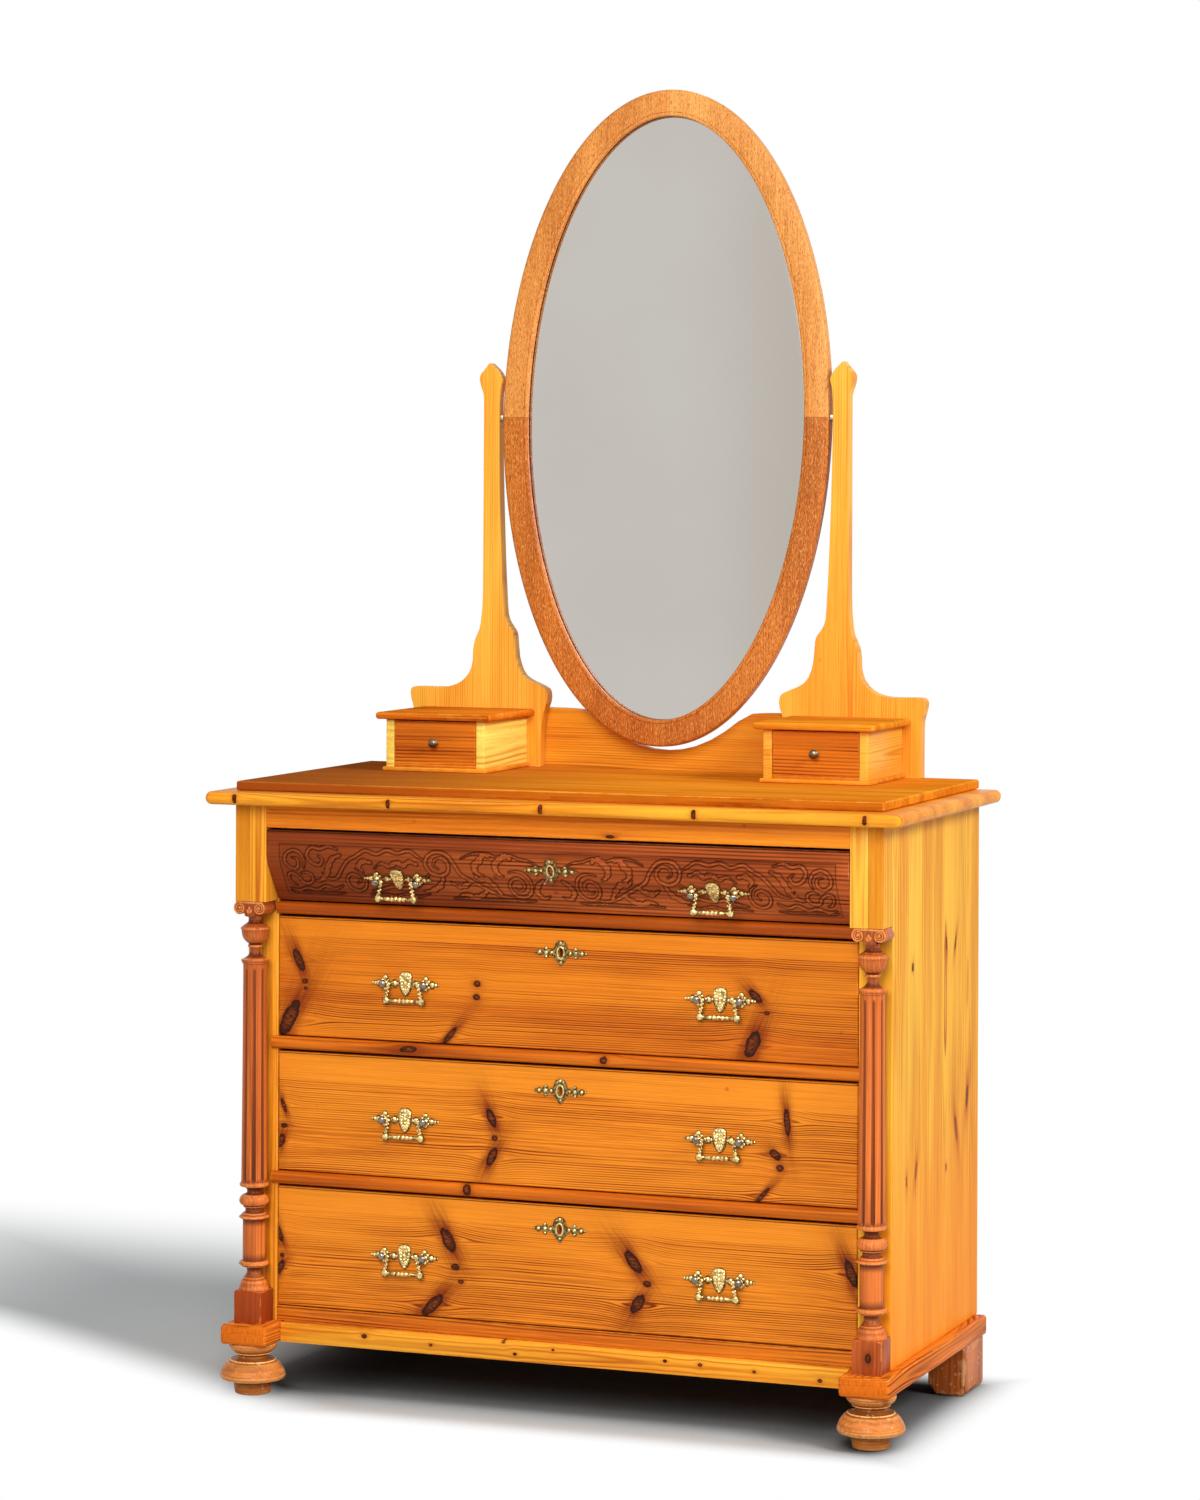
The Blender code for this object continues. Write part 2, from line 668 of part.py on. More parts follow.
def build_carcass():
    """Make the sides, front frame, dividers, floor and back."""
    setback = FRONT + RECESS
    loop = [
        (FRONT, CARCASS_TOP), (FRONT, NOTCH_TOP), (setback, NOTCH_TOP), (setback, FLOOR_BOTTOM),
        (BACK, FLOOR_BOTTOM), (BACK, CARCASS_TOP),
    ]
    post_back = setback + STILE_DEPTH
    for side, name in ((-1, "side_left"), (1, "side_right")):
        ends = sorted((side * HALF, side * SIDE_INNER))
        panel = board(name, [loop], "side", *ends)
        for top in DIVIDER_TOPS:
            reach = sorted((side * (SIDE_INNER + SEAT), side * (SIDE_INNER - RUNNER_WIDTH)))
            runner = block(
                "runner", reach, (post_back + SEAT, INNER_BACK - SEAT), (top - DIVIDER_THICK, top)
            )
            join(panel, runner)
        dress(panel, PINE_SIDE)

    stile = [
        (FRONT, CARCASS_TOP), (FRONT, NOTCH_TOP), (setback, NOTCH_TOP), (setback, FLOOR_BOTTOM),
        (post_back, FLOOR_BOTTOM), (post_back, CARCASS_TOP),
    ]
    outer = SIDE_INNER - SEAT
    frame = block(
        "face_frame", (-OPEN_HALF - SEAT, OPEN_HALF + SEAT), (FRONT, FRONT + RAIL_DEPTH),
        (RAIL_BOTTOM, CARCASS_TOP),
    )
    for side in (-1, 1):
        ends = sorted((side * outer, side * OPEN_HALF))
        join(frame, board("stile", [stile], "side", *ends))
    dress(frame, PINE)

    for number, top in enumerate(DIVIDER_TOPS, start=1):
        low = top - DIVIDER_THICK
        width = OPEN_HALF - SEAT
        narrow = SIDE_INNER - RUNNER_WIDTH - SEAT
        edge = setback - SEAT - NOSE_FLAT / 2
        plan = [
            (-width, edge), (width, edge), (width, post_back), (narrow, post_back),
            (narrow, setback + DIVIDER_DEPTH), (-narrow, setback + DIVIDER_DEPTH),
            (-narrow, post_back), (-width, post_back),
        ]
        divider = board("divider_%d" % number, [plan], "plan", low, top)
        lap = width if number == 1 else width + NOSE_LAP
        radius = DIVIDER_THICK / 2
        middle = low + radius
        nose = [(setback - SEAT, top)] + [
            (setback - SEAT - NOSE_FLAT - NOSE_REACH * math.sin(math.pi * i / NOSE_STEPS),
             middle + radius * math.cos(math.pi * i / NOSE_STEPS))
            for i in range(NOSE_STEPS + 1)
        ] + [(setback - SEAT, low)]
        join(divider, board("nose", [nose], "side", -lap, lap))
        dress(divider, PINE, True)

    plan = [
        (-OPEN_HALF + SEAT, setback), (OPEN_HALF - SEAT, setback),
        (OPEN_HALF - SEAT, post_back + SEAT), (SIDE_INNER - SEAT, post_back + SEAT),
        (SIDE_INNER - SEAT, INNER_BACK - SEAT), (-SIDE_INNER + SEAT, INNER_BACK - SEAT),
        (-SIDE_INNER + SEAT, post_back + SEAT), (-OPEN_HALF + SEAT, post_back + SEAT),
    ]
    dress(board("bottom_board", [plan], "plan", FLOOR_BOTTOM, FLOOR_TOP), PINE)
    back = block(
        "back_panel", (-SIDE_INNER + SEAT, SIDE_INNER - SEAT), (INNER_BACK, BACK),
        (FLOOR_BOTTOM, CARCASS_TOP),
    )
    dress(back, RAW)


def build_top():
    """Make the lower top board with its rounded nose and the top board on it."""
    outer = HALF + OVERHANG
    front = FRONT - OVERHANG
    plan = [(-outer, front), (outer, front), (outer, BACK), (-outer, BACK)]
    moulding = board("top_moulding", [plan], "plan", MOULDING_BOTTOM, MOULDING_TOP)
    limit = outer - SEAT

    def nosing(a, b):
        level = abs(a.z - b.z) < SEAT
        ahead = max(a.y, b.y) < front + SEAT
        beside = min(abs(a.x), abs(b.x)) > limit and a.x * b.x > 0
        return level and (ahead or beside)

    soften(moulding, MOULDING_ROUNDING, 3, nosing)
    dress(moulding, PINE, True)
    slab = block("top_board", (-HALF, HALF), (FRONT, BACK), (SLAB_BOTTOM, SLAB_TOP))
    soften(slab, TOP_ROUNDING, 1)
    dress(slab, PINE)


# Columns

def build_column(name, side):
    """Make a turned and fluted column with its plinth and scrolled capital."""
    x = side * COLUMN_X
    low = FLOOR_BOTTOM
    high = NOTCH_TOP - SEAT
    half = COLUMN_BLOCK / 2
    shaft_low = low + PLINTH_HEIGHT
    shaft_high = high - CAPITAL_HEIGHT
    length = shaft_high - shaft_low
    profile = [(SHAFT_RADIUS * r, shaft_low + length * h) for h, r in COLUMN_SHARES]
    profile[0] = (profile[0][0], shaft_high + SEAT)
    profile[-1] = (profile[-1][0], shaft_low - SEAT)
    column = turned(name, profile, COLUMN_STEPS, shift(x, COLUMN_Y, 0))
    flute_high = shaft_low + length * FLUTE_TOP_SHARE
    flute_low = shaft_low + length * FLUTE_LOW_SHARE
    across = SHAFT_RADIUS + FLUTE_RADIUS - FLUTE_SINK
    gouge = [
        (FLUTE_RADIUS * 0.55, flute_high + FLUTE_END), (FLUTE_RADIUS, flute_high),
        (FLUTE_RADIUS, flute_low), (FLUTE_RADIUS * 0.55, flute_low - FLUTE_END),
    ]
    for number in range(FLUTE_COUNT):
        angle = 2 * math.pi * (number + 0.5) / FLUTE_COUNT
        move = shift(x + across * math.cos(angle), COLUMN_Y + across * math.sin(angle), 0)
        cut(column, turned("gouge", gouge, 8, move))
    plinth = block(
        "plinth", (x - half, x + half), (COLUMN_Y - half, COLUMN_Y + half), (low, shaft_low)
    )
    scroll = COLUMN_BLOCK / 2 + SCROLL_REACH
    drop = CAPITAL_HEIGHT
    curl = [
        (-half, high), (half, high), (half, high - drop * 0.15), (scroll, high - drop * 0.40),
        (scroll - drop * 0.06, high - drop * 0.66), (scroll - drop * 0.22, high - drop * 0.83),
        (scroll - drop * 0.46, high - drop * 0.87), (half * 0.42, high - drop * 0.82),
        (half * 0.30, high - drop), (-half * 0.30, high - drop), (-half * 0.42, high - drop * 0.82),
        (-scroll + drop * 0.46, high - drop * 0.87), (-scroll + drop * 0.22, high - drop * 0.83),
        (-scroll + drop * 0.06, high - drop * 0.66), (-scroll, high - drop * 0.40),
        (-half, high - drop * 0.15),
    ]
    loop = [(x + a, b) for a, b in curl]
    capital = board("capital", [loop], "front", COLUMN_Y - half, COLUMN_Y + half)
    join(column, plinth, capital)
    dress(column, TURNED, True)
    return column


# Drawers

def box_side(name, x, low, high, front_y, back_y, gap=0):
    """Make a drawer side with its dovetails at the front end."""
    step = (high - low) / TAIL_COUNT
    narrow = step * TAIL_SHARE + gap
    tip = front_y - TAIL_LENGTH - gap
    points = [(back_y, low), (back_y, high), (front_y, high)]
    for number in range(TAIL_COUNT):
        centre = high - step * (number + 0.5)
        points += [
            (front_y, centre + narrow), (tip, centre + narrow + TAIL_FLARE),
            (tip, centre - narrow - TAIL_FLARE), (front_y, centre - narrow),
        ]
    points.append((front_y, low))
    return board(name, [points], "side", *x)


def keyhole(z, y):
    """Make the keyhole through a drawer face, from its front."""
    half = KEY_WIDTH / 2
    rise = KEY_HEIGHT / 2
    rows = 8
    loop = [
        (half * math.cos(math.pi * i / rows), z + rise - half + half * math.sin(math.pi * i / rows))
        for i in range(rows + 1)
    ] + [(-half * 0.6, z - rise), (half * 0.6, z - rise)]
    return board("keyhole", [loop], "front", y - KEY_DEPTH, y + KEY_DEPTH)


def build_drawer(index):
    """Make one wide drawer: face, box, handles and escutcheon."""
    number = index + 1
    low = FACE_BOTTOMS[index]
    high = low + FACE_HEIGHTS[index]
    bearing = BEARING[index] + SEAT
    face_back = FACE_Y + FACE_THICK
    carrier = anchor("drawer_%d" % number, (0, FACE_Y, low))
    name = "drawer_%d_front" % number
    if index == 0:
        loop = [(y, z) for z, y in BOMBE] + [(face_back, high), (face_back, low)]
        face = board(name, [loop], "side", -FACE_HALF, FACE_HALF)
        key_z = low + ESCUTCHEON_LIFT_TOP
        handle_z = low + HANDLE_LIFT_TOP
    else:
        face = block(name, (-FACE_HALF, FACE_HALF), (FACE_Y, face_back), (low, high))
        key_z = low + ESCUTCHEON_LIFT
        handle_z = low + HANDLE_LIFT

        def front_edge(a, b):
            return max(a.y, b.y) < FACE_Y + SEAT

        soften(face, FACE_ROUNDING, 1, front_edge)
    key_y = level_at(key_z, BOMBE) if index == 0 else FACE_Y
    cut(face, keyhole(key_z, key_y))

    box_low = bearing
    box_high = high - BOX_DROP
    box_back = face_back + BOX_LENGTH - FACE_THICK
    start = face_back + SEAT
    sides = []
    for side in (-1, 1):
        x = sorted((side * BOX_HALF, side * (BOX_HALF - BOX_WALL)))
        socket_x = sorted((side * (FACE_HALF + SEAT), side * (BOX_HALF - BOX_WALL - SEAT)))
        sides.append(box_side("box_side", x, box_low, box_high, start, box_back))
        cut(face, box_side("socket", socket_x, box_low, box_high, start, box_back, SEAT))
    dress(face, DARK if index == 0 else PINE)
    hang(face, (0, FACE_Y, low), carrier)

    box = sides[0]
    box.name = "drawer_%d_box" % number
    back_board = block(
        "box_back", (-BOX_HALF + SEAT, BOX_HALF - SEAT), (box_back - BOX_WALL, box_back),
        (box_low + BOX_FLOOR_LIFT - SEAT, box_high),
    )
    floor = block(
        "box_floor", (-BOX_HALF + SEAT, BOX_HALF - SEAT), (start, box_back - SEAT),
        (box_low + BOX_FLOOR_LIFT, box_low + BOX_FLOOR_LIFT + BOX_FLOOR),
    )
    lining = block(
        "box_lining", (-BOX_HALF + SEAT, BOX_HALF - SEAT), (start, start + BOX_FLOOR),
        (box_low + BOX_FLOOR_LIFT - SEAT, box_low + BOX_FLOOR_LIFT + BOX_FLOOR + BOX_WALL),
    )
    join(box, sides[1], back_board, floor, lining)
    dress(box, RAW)
    hang(box, (0, FACE_Y, low), carrier)

    build_escutcheon(number, key_z, carrier)
    for side, word in ((-1, "left"), (1, "right")):
        build_handle(number, word, side * HANDLE_X, handle_z, carrier)


def mirrored(upper, lower, half_width, rise, x, z):
    """Return a closed outline from the right half's upper and lower edges."""
    right = [(0, 1.0)] + list(upper) + [(1.0, 0)] + [(a, -b) for a, b in lower] + [(0, -1.04)]
    left = [(-a, b) for a, b in reversed(right[1:-1])]
    return [(x + a * half_width, z + b * rise) for a, b in right + left]


def build_escutcheon(number, z, carrier):
    """Make a pierced keyhole plate."""
    loop = mirrored(
        ESCUTCHEON_SHARES, ESCUTCHEON_LOW_SHARES, ESCUTCHEON_HALF_WIDTH, ESCUTCHEON_RISE, 0, z
    )
    half = KEY_WIDTH / 2 * 1.15
    rise = KEY_HEIGHT / 2
    rows = 6
    hole = [
        (half * math.cos(math.pi * i / rows), z + rise - half + half * math.sin(math.pi * i / rows))
        for i in range(rows + 1)
    ] + [(-half * 0.6, z - rise), (half * 0.6, z - rise)]
    base = 0 if number == 1 else FACE_Y
    plate = board(
        "escutcheon_%d" % number, [loop, hole], "front", base - SEAT - PLATE_THICK, base - SEAT
    )
    if number == 1:
        bend_to_face(plate, PLATE_THICK)
    dress(plate, BRASS)
    hang(plate, (0, FACE_Y, z), carrier)


def build_handle(number, word, x, z, carrier):
    """Make a handle's plate with its two posts, and the bail that swings in them."""
    curved = number == 1
    y = level_at(z, BOMBE) if curved else FACE_Y
    (low, near), (high, far) = BOMBE[2], BOMBE[3]
    tilt = math.atan2(near - far, high - low) if curved else 0.0
    rise = SHIELD_RISE * math.cos(tilt)
    loop = mirrored(PLATE_SHARES, PLATE_LOW_SHARES, PLATE_HALF_WIDTH, rise, x, z)
    base = 0 if curved else y
    depth = PLATE_THICK / math.cos(tilt)
    gap = SEAT / math.cos(tilt)
    plate = board("plate_%d_%s" % (number, word), [loop], "front", base - gap - depth, base - gap)
    if curved:
        bend_to_face(plate, PLATE_THICK)
    lean = Matrix.Translation((0, y, z)) @ Matrix.Rotation(tilt, 4, "X")
    turn = Matrix.Rotation(math.radians(90), 4, "X")
    reach = POST_REACH
    post_profile = [
        (DOME_RADIUS * 0.55, reach + DOME_HEIGHT * 0.6), (DOME_RADIUS, reach),
        (POST_RADIUS, reach - DOME_HEIGHT * 0.4), (POST_RADIUS, PLATE_THICK / 2),
    ]
    for side in (-1, 1):
        post_x = x + side * POST_SPACING / 2
        move = lean @ Matrix.Translation((post_x, 0, 0)) @ turn
        join(plate, turned("post", post_profile, SMALL_STEPS, move))
    hinge_y = y - PIVOT_REACH * math.cos(tilt)
    hinge_z = z - PIVOT_REACH * math.sin(tilt)
    across = Matrix.Rotation(math.radians(90), 4, "Y")
    hole_half = POST_SPACING / 2
    hole = PIN_RADIUS + PIN_GAP
    bore = turned(
        "bore", [(hole, hole_half), (hole, -hole_half)], THIN_STEPS,
        Matrix.Translation((x, hinge_y, hinge_z)) @ across,
    )
    cut(plate, bore)
    dress(plate, BRASS, True)
    hang(plate, (x, y, z), carrier)

    build_bail("bail_%d_%s" % (number, word), (x, hinge_y, hinge_z), carrier)


def build_bail(name, hinge, carrier):
    """Make the hanging bail: two arms, two bosses and a beaded bar."""
    x, y, z = hinge
    across = Matrix.Rotation(math.radians(90), 4, "Y")
    half = BAIL_BAR_SPACING / 2
    rows = [
        (BEAD_RADIUS if bead else BAR_RADIUS, half * share) for share, bead in BAR_SHARES
    ]
    profile = [(r, h) for r, h in reversed(rows)] + [(r, -h) for r, h in rows[1:]]
    bail = turned(name, profile, THIN_STEPS, shift(x, y, z - BAIL_DROP) @ across)
    inner_face = POST_SPACING / 2 - POST_RADIUS - PIN_GAP
    for side in (-1, 1):
        top = Vector((x + side * BAIL_TOP_SPACING / 2, y, z))
        low = Vector((x + side * half, y, z - BAIL_DROP))
        path = low - top
        middle = (low + top) / 2
        lean = path.to_track_quat("Z", "Y").to_matrix().to_4x4()
        length = path.length / 2
        arm_profile = [
            (ARM_RADIUS * 0.80, length), (ARM_RADIUS * 0.80, -length * 0.4),
            (ARM_RADIUS * 1.10, -length - ARM_RADIUS),
        ]
        arm = turned("arm", arm_profile, THIN_STEPS, shift(*middle) @ lean)
        boss_profile = [
            (BOSS_RADIUS * 0.6, BOSS_THICK / 2), (BOSS_RADIUS, 0),
            (BOSS_RADIUS * 0.6, -BOSS_THICK / 2),
        ]
        facing = Matrix.Rotation(math.radians(90), 4, "X")
        boss = turned("boss", boss_profile, SMALL_STEPS, shift(*low) @ facing)
        pin_from = x + side * (BAIL_TOP_SPACING / 2 - ARM_RADIUS * 0.5)
        pin_to = x + side * (inner_face + PIN_GAP + PIN_LENGTH)
        pin_half = abs(pin_to - pin_from) / 2
        pin = turned(
            "pin", [(PIN_RADIUS, pin_half), (PIN_RADIUS, -pin_half)], THIN_STEPS,
            shift((pin_from + pin_to) / 2, y, z) @ across,
        )
        join(bail, arm, boss, pin)
    dress(bail, BRASS, True)
    hang(bail, hinge, carrier)


def build_key_wire():
    """Make the thin steel rod that hangs out of the top keyhole."""
    z = FACE_BOTTOMS[0] + ESCUTCHEON_LIFT_TOP - KEY_HEIGHT / 2 + KEY_WIRE_RADIUS + SEAT
    y = level_at(z, BOMBE)
    curve = bpy.data.curves.new("key_rod", "CURVE")
    curve.dimensions = "3D"
    curve.bevel_depth = KEY_WIRE_RADIUS
    curve.bevel_resolution = 2
    curve.use_fill_caps = True
    spline = curve.splines.new("POLY")
    points = [
        (0, y + KEY_DEPTH * 0.5, z), (0, y - PLATE_THICK, z),
        (0, y - KEY_WIRE_REACH, z - KEY_WIRE_FALL),
    ]
    spline.points.add(len(points) - 1)
    for point, place_at in zip(spline.points, points):
        point.co = (*place_at, 1)
    sketch = place("key_rod_sketch", curve)
    graph = bpy.context.evaluated_depsgraph_get()
    graph.update()
    mesh = bpy.data.meshes.new_from_object(sketch.evaluated_get(graph))
    bpy.data.objects.remove(sketch, do_unlink=True)
    shape = bmesh.new()
    shape.from_mesh(mesh)
    bmesh.ops.remove_doubles(shape, verts=shape.verts, dist=0.000001)
    bmesh.ops.recalc_face_normals(shape, faces=shape.faces)
    shape.to_mesh(mesh)
    shape.free()
    rod = place("key_rod", mesh)
    dress(rod, STEEL, True)
    hang(rod, (0, y, z), bpy.data.objects["drawer_1"])


# Mirror stand

def build_stand():
    """Make the two shaped uprights, the scooped backboard and the pivots."""
    inner = [(UPRIGHT_INNER + UPRIGHT_WIDTH * a, UPRIGHT_HEIGHT * b) for a, b in INNER_EDGE_SHARES]
    outer = [(UPRIGHT_INNER + UPRIGHT_WIDTH * a, UPRIGHT_HEIGHT * b) for a, b in OUTER_EDGE_SHARES]
    outline = smooth_curve(inner, 2)[:-1] + smooth_curve(outer, 2)
    across = Matrix.Rotation(math.radians(90), 4, "Y")
    hole_radius = PIVOT_RADIUS + PIN_GAP
    for side, word in ((-1, "left"), (1, "right")):
        loop = [(side * a, STAND_BOTTOM + b) for a, b in outline]
        upright = board("upright_" + word, [loop], "front", UPRIGHT_FACE_Y, BACK)
        start = STRIP - PIVOT_HOLE_DEPTH
        stop = STRIP + PIVOT_HOLE_DEPTH
        hole = turned(
            "hole", [(hole_radius, (stop - start) / 2), (hole_radius, -(stop - start) / 2)], 12,
            shift(side * (start + stop) / 2, PIVOT_Y, PIVOT_Z) @ across,
        )
        cut(upright, hole)
        dress(upright, PINE_SIDE)
        near = MIRROR_HALF_WIDTH - PIVOT_HOLE_DEPTH + PIN_GAP * 2
        far = STRIP + PIVOT_HOLE_DEPTH - PIN_GAP
        half = (far - near) / 2
        middle = (far + near) / 2
        collar_near = MIRROR_HALF_WIDTH + PIN_GAP * 2 - middle
        collar_far = STRIP - PIN_GAP * 3 - middle
        profile = [
            (PIVOT_RADIUS, half), (PIVOT_RADIUS, collar_far), (COLLAR_RADIUS, collar_far),
            (COLLAR_RADIUS, collar_near), (PIVOT_RADIUS, collar_near), (PIVOT_RADIUS, -half),
        ]
        turn = across if side > 0 else Matrix.Rotation(math.radians(-90), 4, "Y")
        pivot = turned(
            "pivot_" + word, profile, 12, shift(side * middle, PIVOT_Y, PIVOT_Z) @ turn
        )
        dress(pivot, STEEL, True)

    wide = MIRROR_HALF_WIDTH + SCOOP_GAP
    tall = MIRROR_HALF_HEIGHT + SCOOP_GAP
    count = 40
    top = []
    for i in range(count + 1):
        x = BACKBOARD_HALF * math.sin(math.pi * (i / count - 0.5))
        share = min(1.0, abs(x) / wide)
        scoop = PIVOT_HEIGHT - tall * math.sqrt(1 - share ** 2)
        flat = BACKBOARD_RISE
        spread = (scoop - flat) / SHOULDER_BLEND
        soft = flat + (scoop - flat - math.sqrt((scoop - flat) ** 2 + SHOULDER_BLEND ** 2)) / 2
        top.append((x, STAND_BOTTOM + (soft if abs(spread) < BACKBOARD_HALF / SEAT else flat)))
    low = STAND_BOTTOM - BACKBOARD_DROP
    loop = top + [(BACKBOARD_HALF, low), (-BACKBOARD_HALF, low)]
    back = board(
        "stand_backboard", [loop], "front", BACK + SEAT, BACK + SEAT + BACKBOARD_THICK
    )
    dress(back, PINE)


def build_mirror():
    """Make the oval frame, the bevelled glass and its backing board."""
    carrier = anchor("mirror", (0, PIVOT_Y, PIVOT_Z))
    lean = (
        shift(0, PIVOT_Y, PIVOT_Z) @ Matrix.Rotation(-MIRROR_TILT, 4, "X")
    )
    half = MIRROR_THICK / 2
    inner = MIRROR_FACE
    ledge = MIRROR_FACE - MIRROR_LEDGE
    outer_arc = [
        (MIRROR_ROUNDING * (1 - math.cos(turn)), half - MIRROR_ROUNDING * (1 - math.sin(turn)))
        for turn in (0, math.pi / 4, math.pi / 2)
    ]
    section = [(0, -half)] + outer_arc + [
        (inner - MIRROR_BEAD, half), (inner, half - MIRROR_BEAD), (inner, half - MIRROR_LIP),
        (ledge, half - MIRROR_LIP), (ledge, -half),
    ]
    frame = swept("mirror_frame", oval(0), section)
    across = Matrix.Rotation(math.radians(90), 4, "Y")
    hole_radius = PIVOT_RADIUS + PIN_GAP
    for side in (-1, 1):
        centre = side * MIRROR_HALF_WIDTH
        hole = turned(
            "hole", [(hole_radius, PIVOT_HOLE_DEPTH), (hole_radius, -PIVOT_HOLE_DEPTH)], 12,
            shift(centre, 0, 0) @ across,
        )
        cut(frame, hole)
    frame.data.transform(lean)
    dress(frame, VENEER, True)
    hang(frame, (0, PIVOT_Y, PIVOT_Z), carrier)

    glass_front = -half + MIRROR_LIP + SEAT
    glass = board(
        "mirror_glass", [oval(ledge + SEAT)], "front",
        glass_front, glass_front + GLASS_THICK,
    )

    shape = bmesh.new()
    shape.from_mesh(glass.data)
    bmesh.ops.dissolve_limit(
        shape, angle_limit=math.radians(1), verts=shape.verts[:], edges=shape.edges[:]
    )
    front = min(shape.faces, key=lambda face: face.calc_center_median().y)
    bmesh.ops.inset_region(
        shape, faces=[front], thickness=GLASS_BEVEL, depth=0.0, use_even_offset=True
    )
    front = min(
        (face for face in shape.faces if len(face.verts) > OVAL_POINTS / 2 and
         abs(face.normal.y) > 0.9), key=lambda face: face.calc_center_median().y,
    )
    inner_verts = set(front.verts)
    for vert in shape.verts:
        if vert not in inner_verts and vert.co.y < glass_front + SEAT:
            vert.co.y += GLASS_BEVEL_SINK
    bmesh.ops.recalc_face_normals(shape, faces=shape.faces)
    shape.to_mesh(glass.data)
    shape.free()
    glass.data.transform(lean)
    dress(glass, GLASS)
    hang(glass, (0, PIVOT_Y, PIVOT_Z), carrier)

    backing_front = glass_front + GLASS_THICK + SEAT
    backing = board(
        "mirror_backing", [oval(ledge + SEAT)], "front",
        backing_front, backing_front + BACKING_THICK,
    )
    backing.data.transform(lean)
    dress(backing, RAW)
    hang(backing, (0, PIVOT_Y, PIVOT_Z), carrier)


# Jewel cases

def build_case(word, side):
    """Make one jewel case, its drawer and its knob."""
    near = CASE_INNER
    far = CASE_INNER + CASE_WIDTH
    low = STAND_BOTTOM
    floor_top = low + CASE_FLOOR
    roof = floor_top + CASE_OPENING

    def span(a, b):
        return sorted((side * a, side * b))

    body = block("jewel_case_" + word, span(near, far), (CASE_FRONT_Y, CASE_BACK_Y), (low, roof))
    hollow = block(
        "hollow", span(near + CASE_WALL, far - CASE_WALL),
        (CASE_FRONT_Y - CASE_WALL, CASE_BACK_Y - CASE_BACK), (floor_top, roof + CASE_WALL),
    )
    cut(body, hollow)
    lip = block(
        "lip", span(near - CASE_FOOT_OVERHANG, far + CASE_FOOT_OVERHANG),
        (CASE_FRONT_Y - CASE_FOOT_OVERHANG, CASE_BACK_Y), (low, low + CASE_FOOT_THICK),
    )
    soften(lip, CASE_FOOT_THICK / 3, 1)
    roof_board = block(
        "roof", span(near - CASE_TOP_OVERHANG, far + CASE_TOP_OVERHANG),
        (CASE_FRONT_Y - CASE_TOP_OVERHANG, CASE_BACK_Y),
        (roof - SEAT, roof + CASE_TOP_THICK),
    )

    def overhang(a, b):
        level = abs(a.z - b.z) < SEAT
        return level and min(a.y, b.y) < CASE_BACK_Y - SEAT

    soften(roof_board, CASE_ROUNDING, 2, overhang)
    join(body, lip, roof_board)
    dress(body, PINE)

    face_low = floor_top + SEAT
    face_high = roof - SEAT - SMALL_GAP * 2
    x = span(near + CASE_WALL + SMALL_GAP, far - CASE_WALL - SMALL_GAP)
    drawer_back = CASE_BACK_Y - CASE_BACK - CASE_WALL
    carrier = anchor("jewel_drawer_set_" + word, (sum(x) / 2, CASE_FRONT_Y, floor_top))
    drawer = block("jewel_drawer_" + word, x, (CASE_FRONT_Y, drawer_back), (face_low, face_high))
    tray = block(
        "tray", (x[0] + SMALL_WALL, x[1] - SMALL_WALL),
        (CASE_FRONT_Y + SMALL_FACE, drawer_back - SMALL_WALL),
        (face_low + SMALL_WALL, face_high + SMALL_WALL),
    )
    cut(drawer, tray)
    dress(drawer, PINE)
    hang(drawer, (sum(x) / 2, CASE_FRONT_Y, floor_top), carrier)
    profile = [(KNOB_RADIUS * r, KNOB_REACH * h + SEAT) for h, r in KNOB_SHARES]
    forward = Matrix.Rotation(math.radians(90), 4, "X")
    centre = (sum(x) / 2, CASE_FRONT_Y, (face_low + face_high) / 2)
    knob = turned("jewel_knob_" + word, profile, 12, shift(*centre) @ forward)
    dress(knob, BRONZE, True)
    hang(knob, centre, carrier)


build_base()
build_carcass()
build_top()
build_column("column_left", -1)
build_column("column_right", 1)
for drawer_index in range(len(FACE_BOTTOMS)):
    build_drawer(drawer_index)
build_key_wire()
build_stand()
build_mirror()
build_case("left", -1)
build_case("right", 1)
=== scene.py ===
"""Dresses the pine chest of drawers with its turned columns, jewel cases and oval mirror."""

import json
import logging
import math
from contextlib import contextmanager
from dataclasses import dataclass, replace
from enum import Enum
from typing import Callable, Iterable, Iterator, Sequence

import bpy
import numpy as np
from mathutils import Matrix, Vector
from mathutils.kdtree import KDTree


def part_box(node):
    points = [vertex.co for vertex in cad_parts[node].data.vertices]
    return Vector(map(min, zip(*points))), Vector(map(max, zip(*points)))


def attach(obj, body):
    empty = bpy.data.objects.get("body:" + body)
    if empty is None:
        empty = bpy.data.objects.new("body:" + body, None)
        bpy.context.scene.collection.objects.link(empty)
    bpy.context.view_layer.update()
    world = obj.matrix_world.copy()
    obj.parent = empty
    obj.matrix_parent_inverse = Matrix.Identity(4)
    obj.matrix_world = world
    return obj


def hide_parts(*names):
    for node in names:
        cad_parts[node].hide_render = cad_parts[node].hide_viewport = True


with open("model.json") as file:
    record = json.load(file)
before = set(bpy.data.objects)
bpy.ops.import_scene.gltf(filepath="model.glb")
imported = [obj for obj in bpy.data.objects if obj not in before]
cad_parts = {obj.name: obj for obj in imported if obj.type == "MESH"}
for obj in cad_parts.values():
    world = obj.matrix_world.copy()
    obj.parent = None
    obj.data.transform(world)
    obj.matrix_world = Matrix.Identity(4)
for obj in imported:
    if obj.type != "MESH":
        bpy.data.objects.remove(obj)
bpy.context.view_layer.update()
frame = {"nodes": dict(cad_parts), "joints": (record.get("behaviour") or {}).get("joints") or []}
LOG = logging.getLogger("chest")

Point = tuple[float, float]
Colour = tuple[float, float, float]
Piece = bpy.types.Object

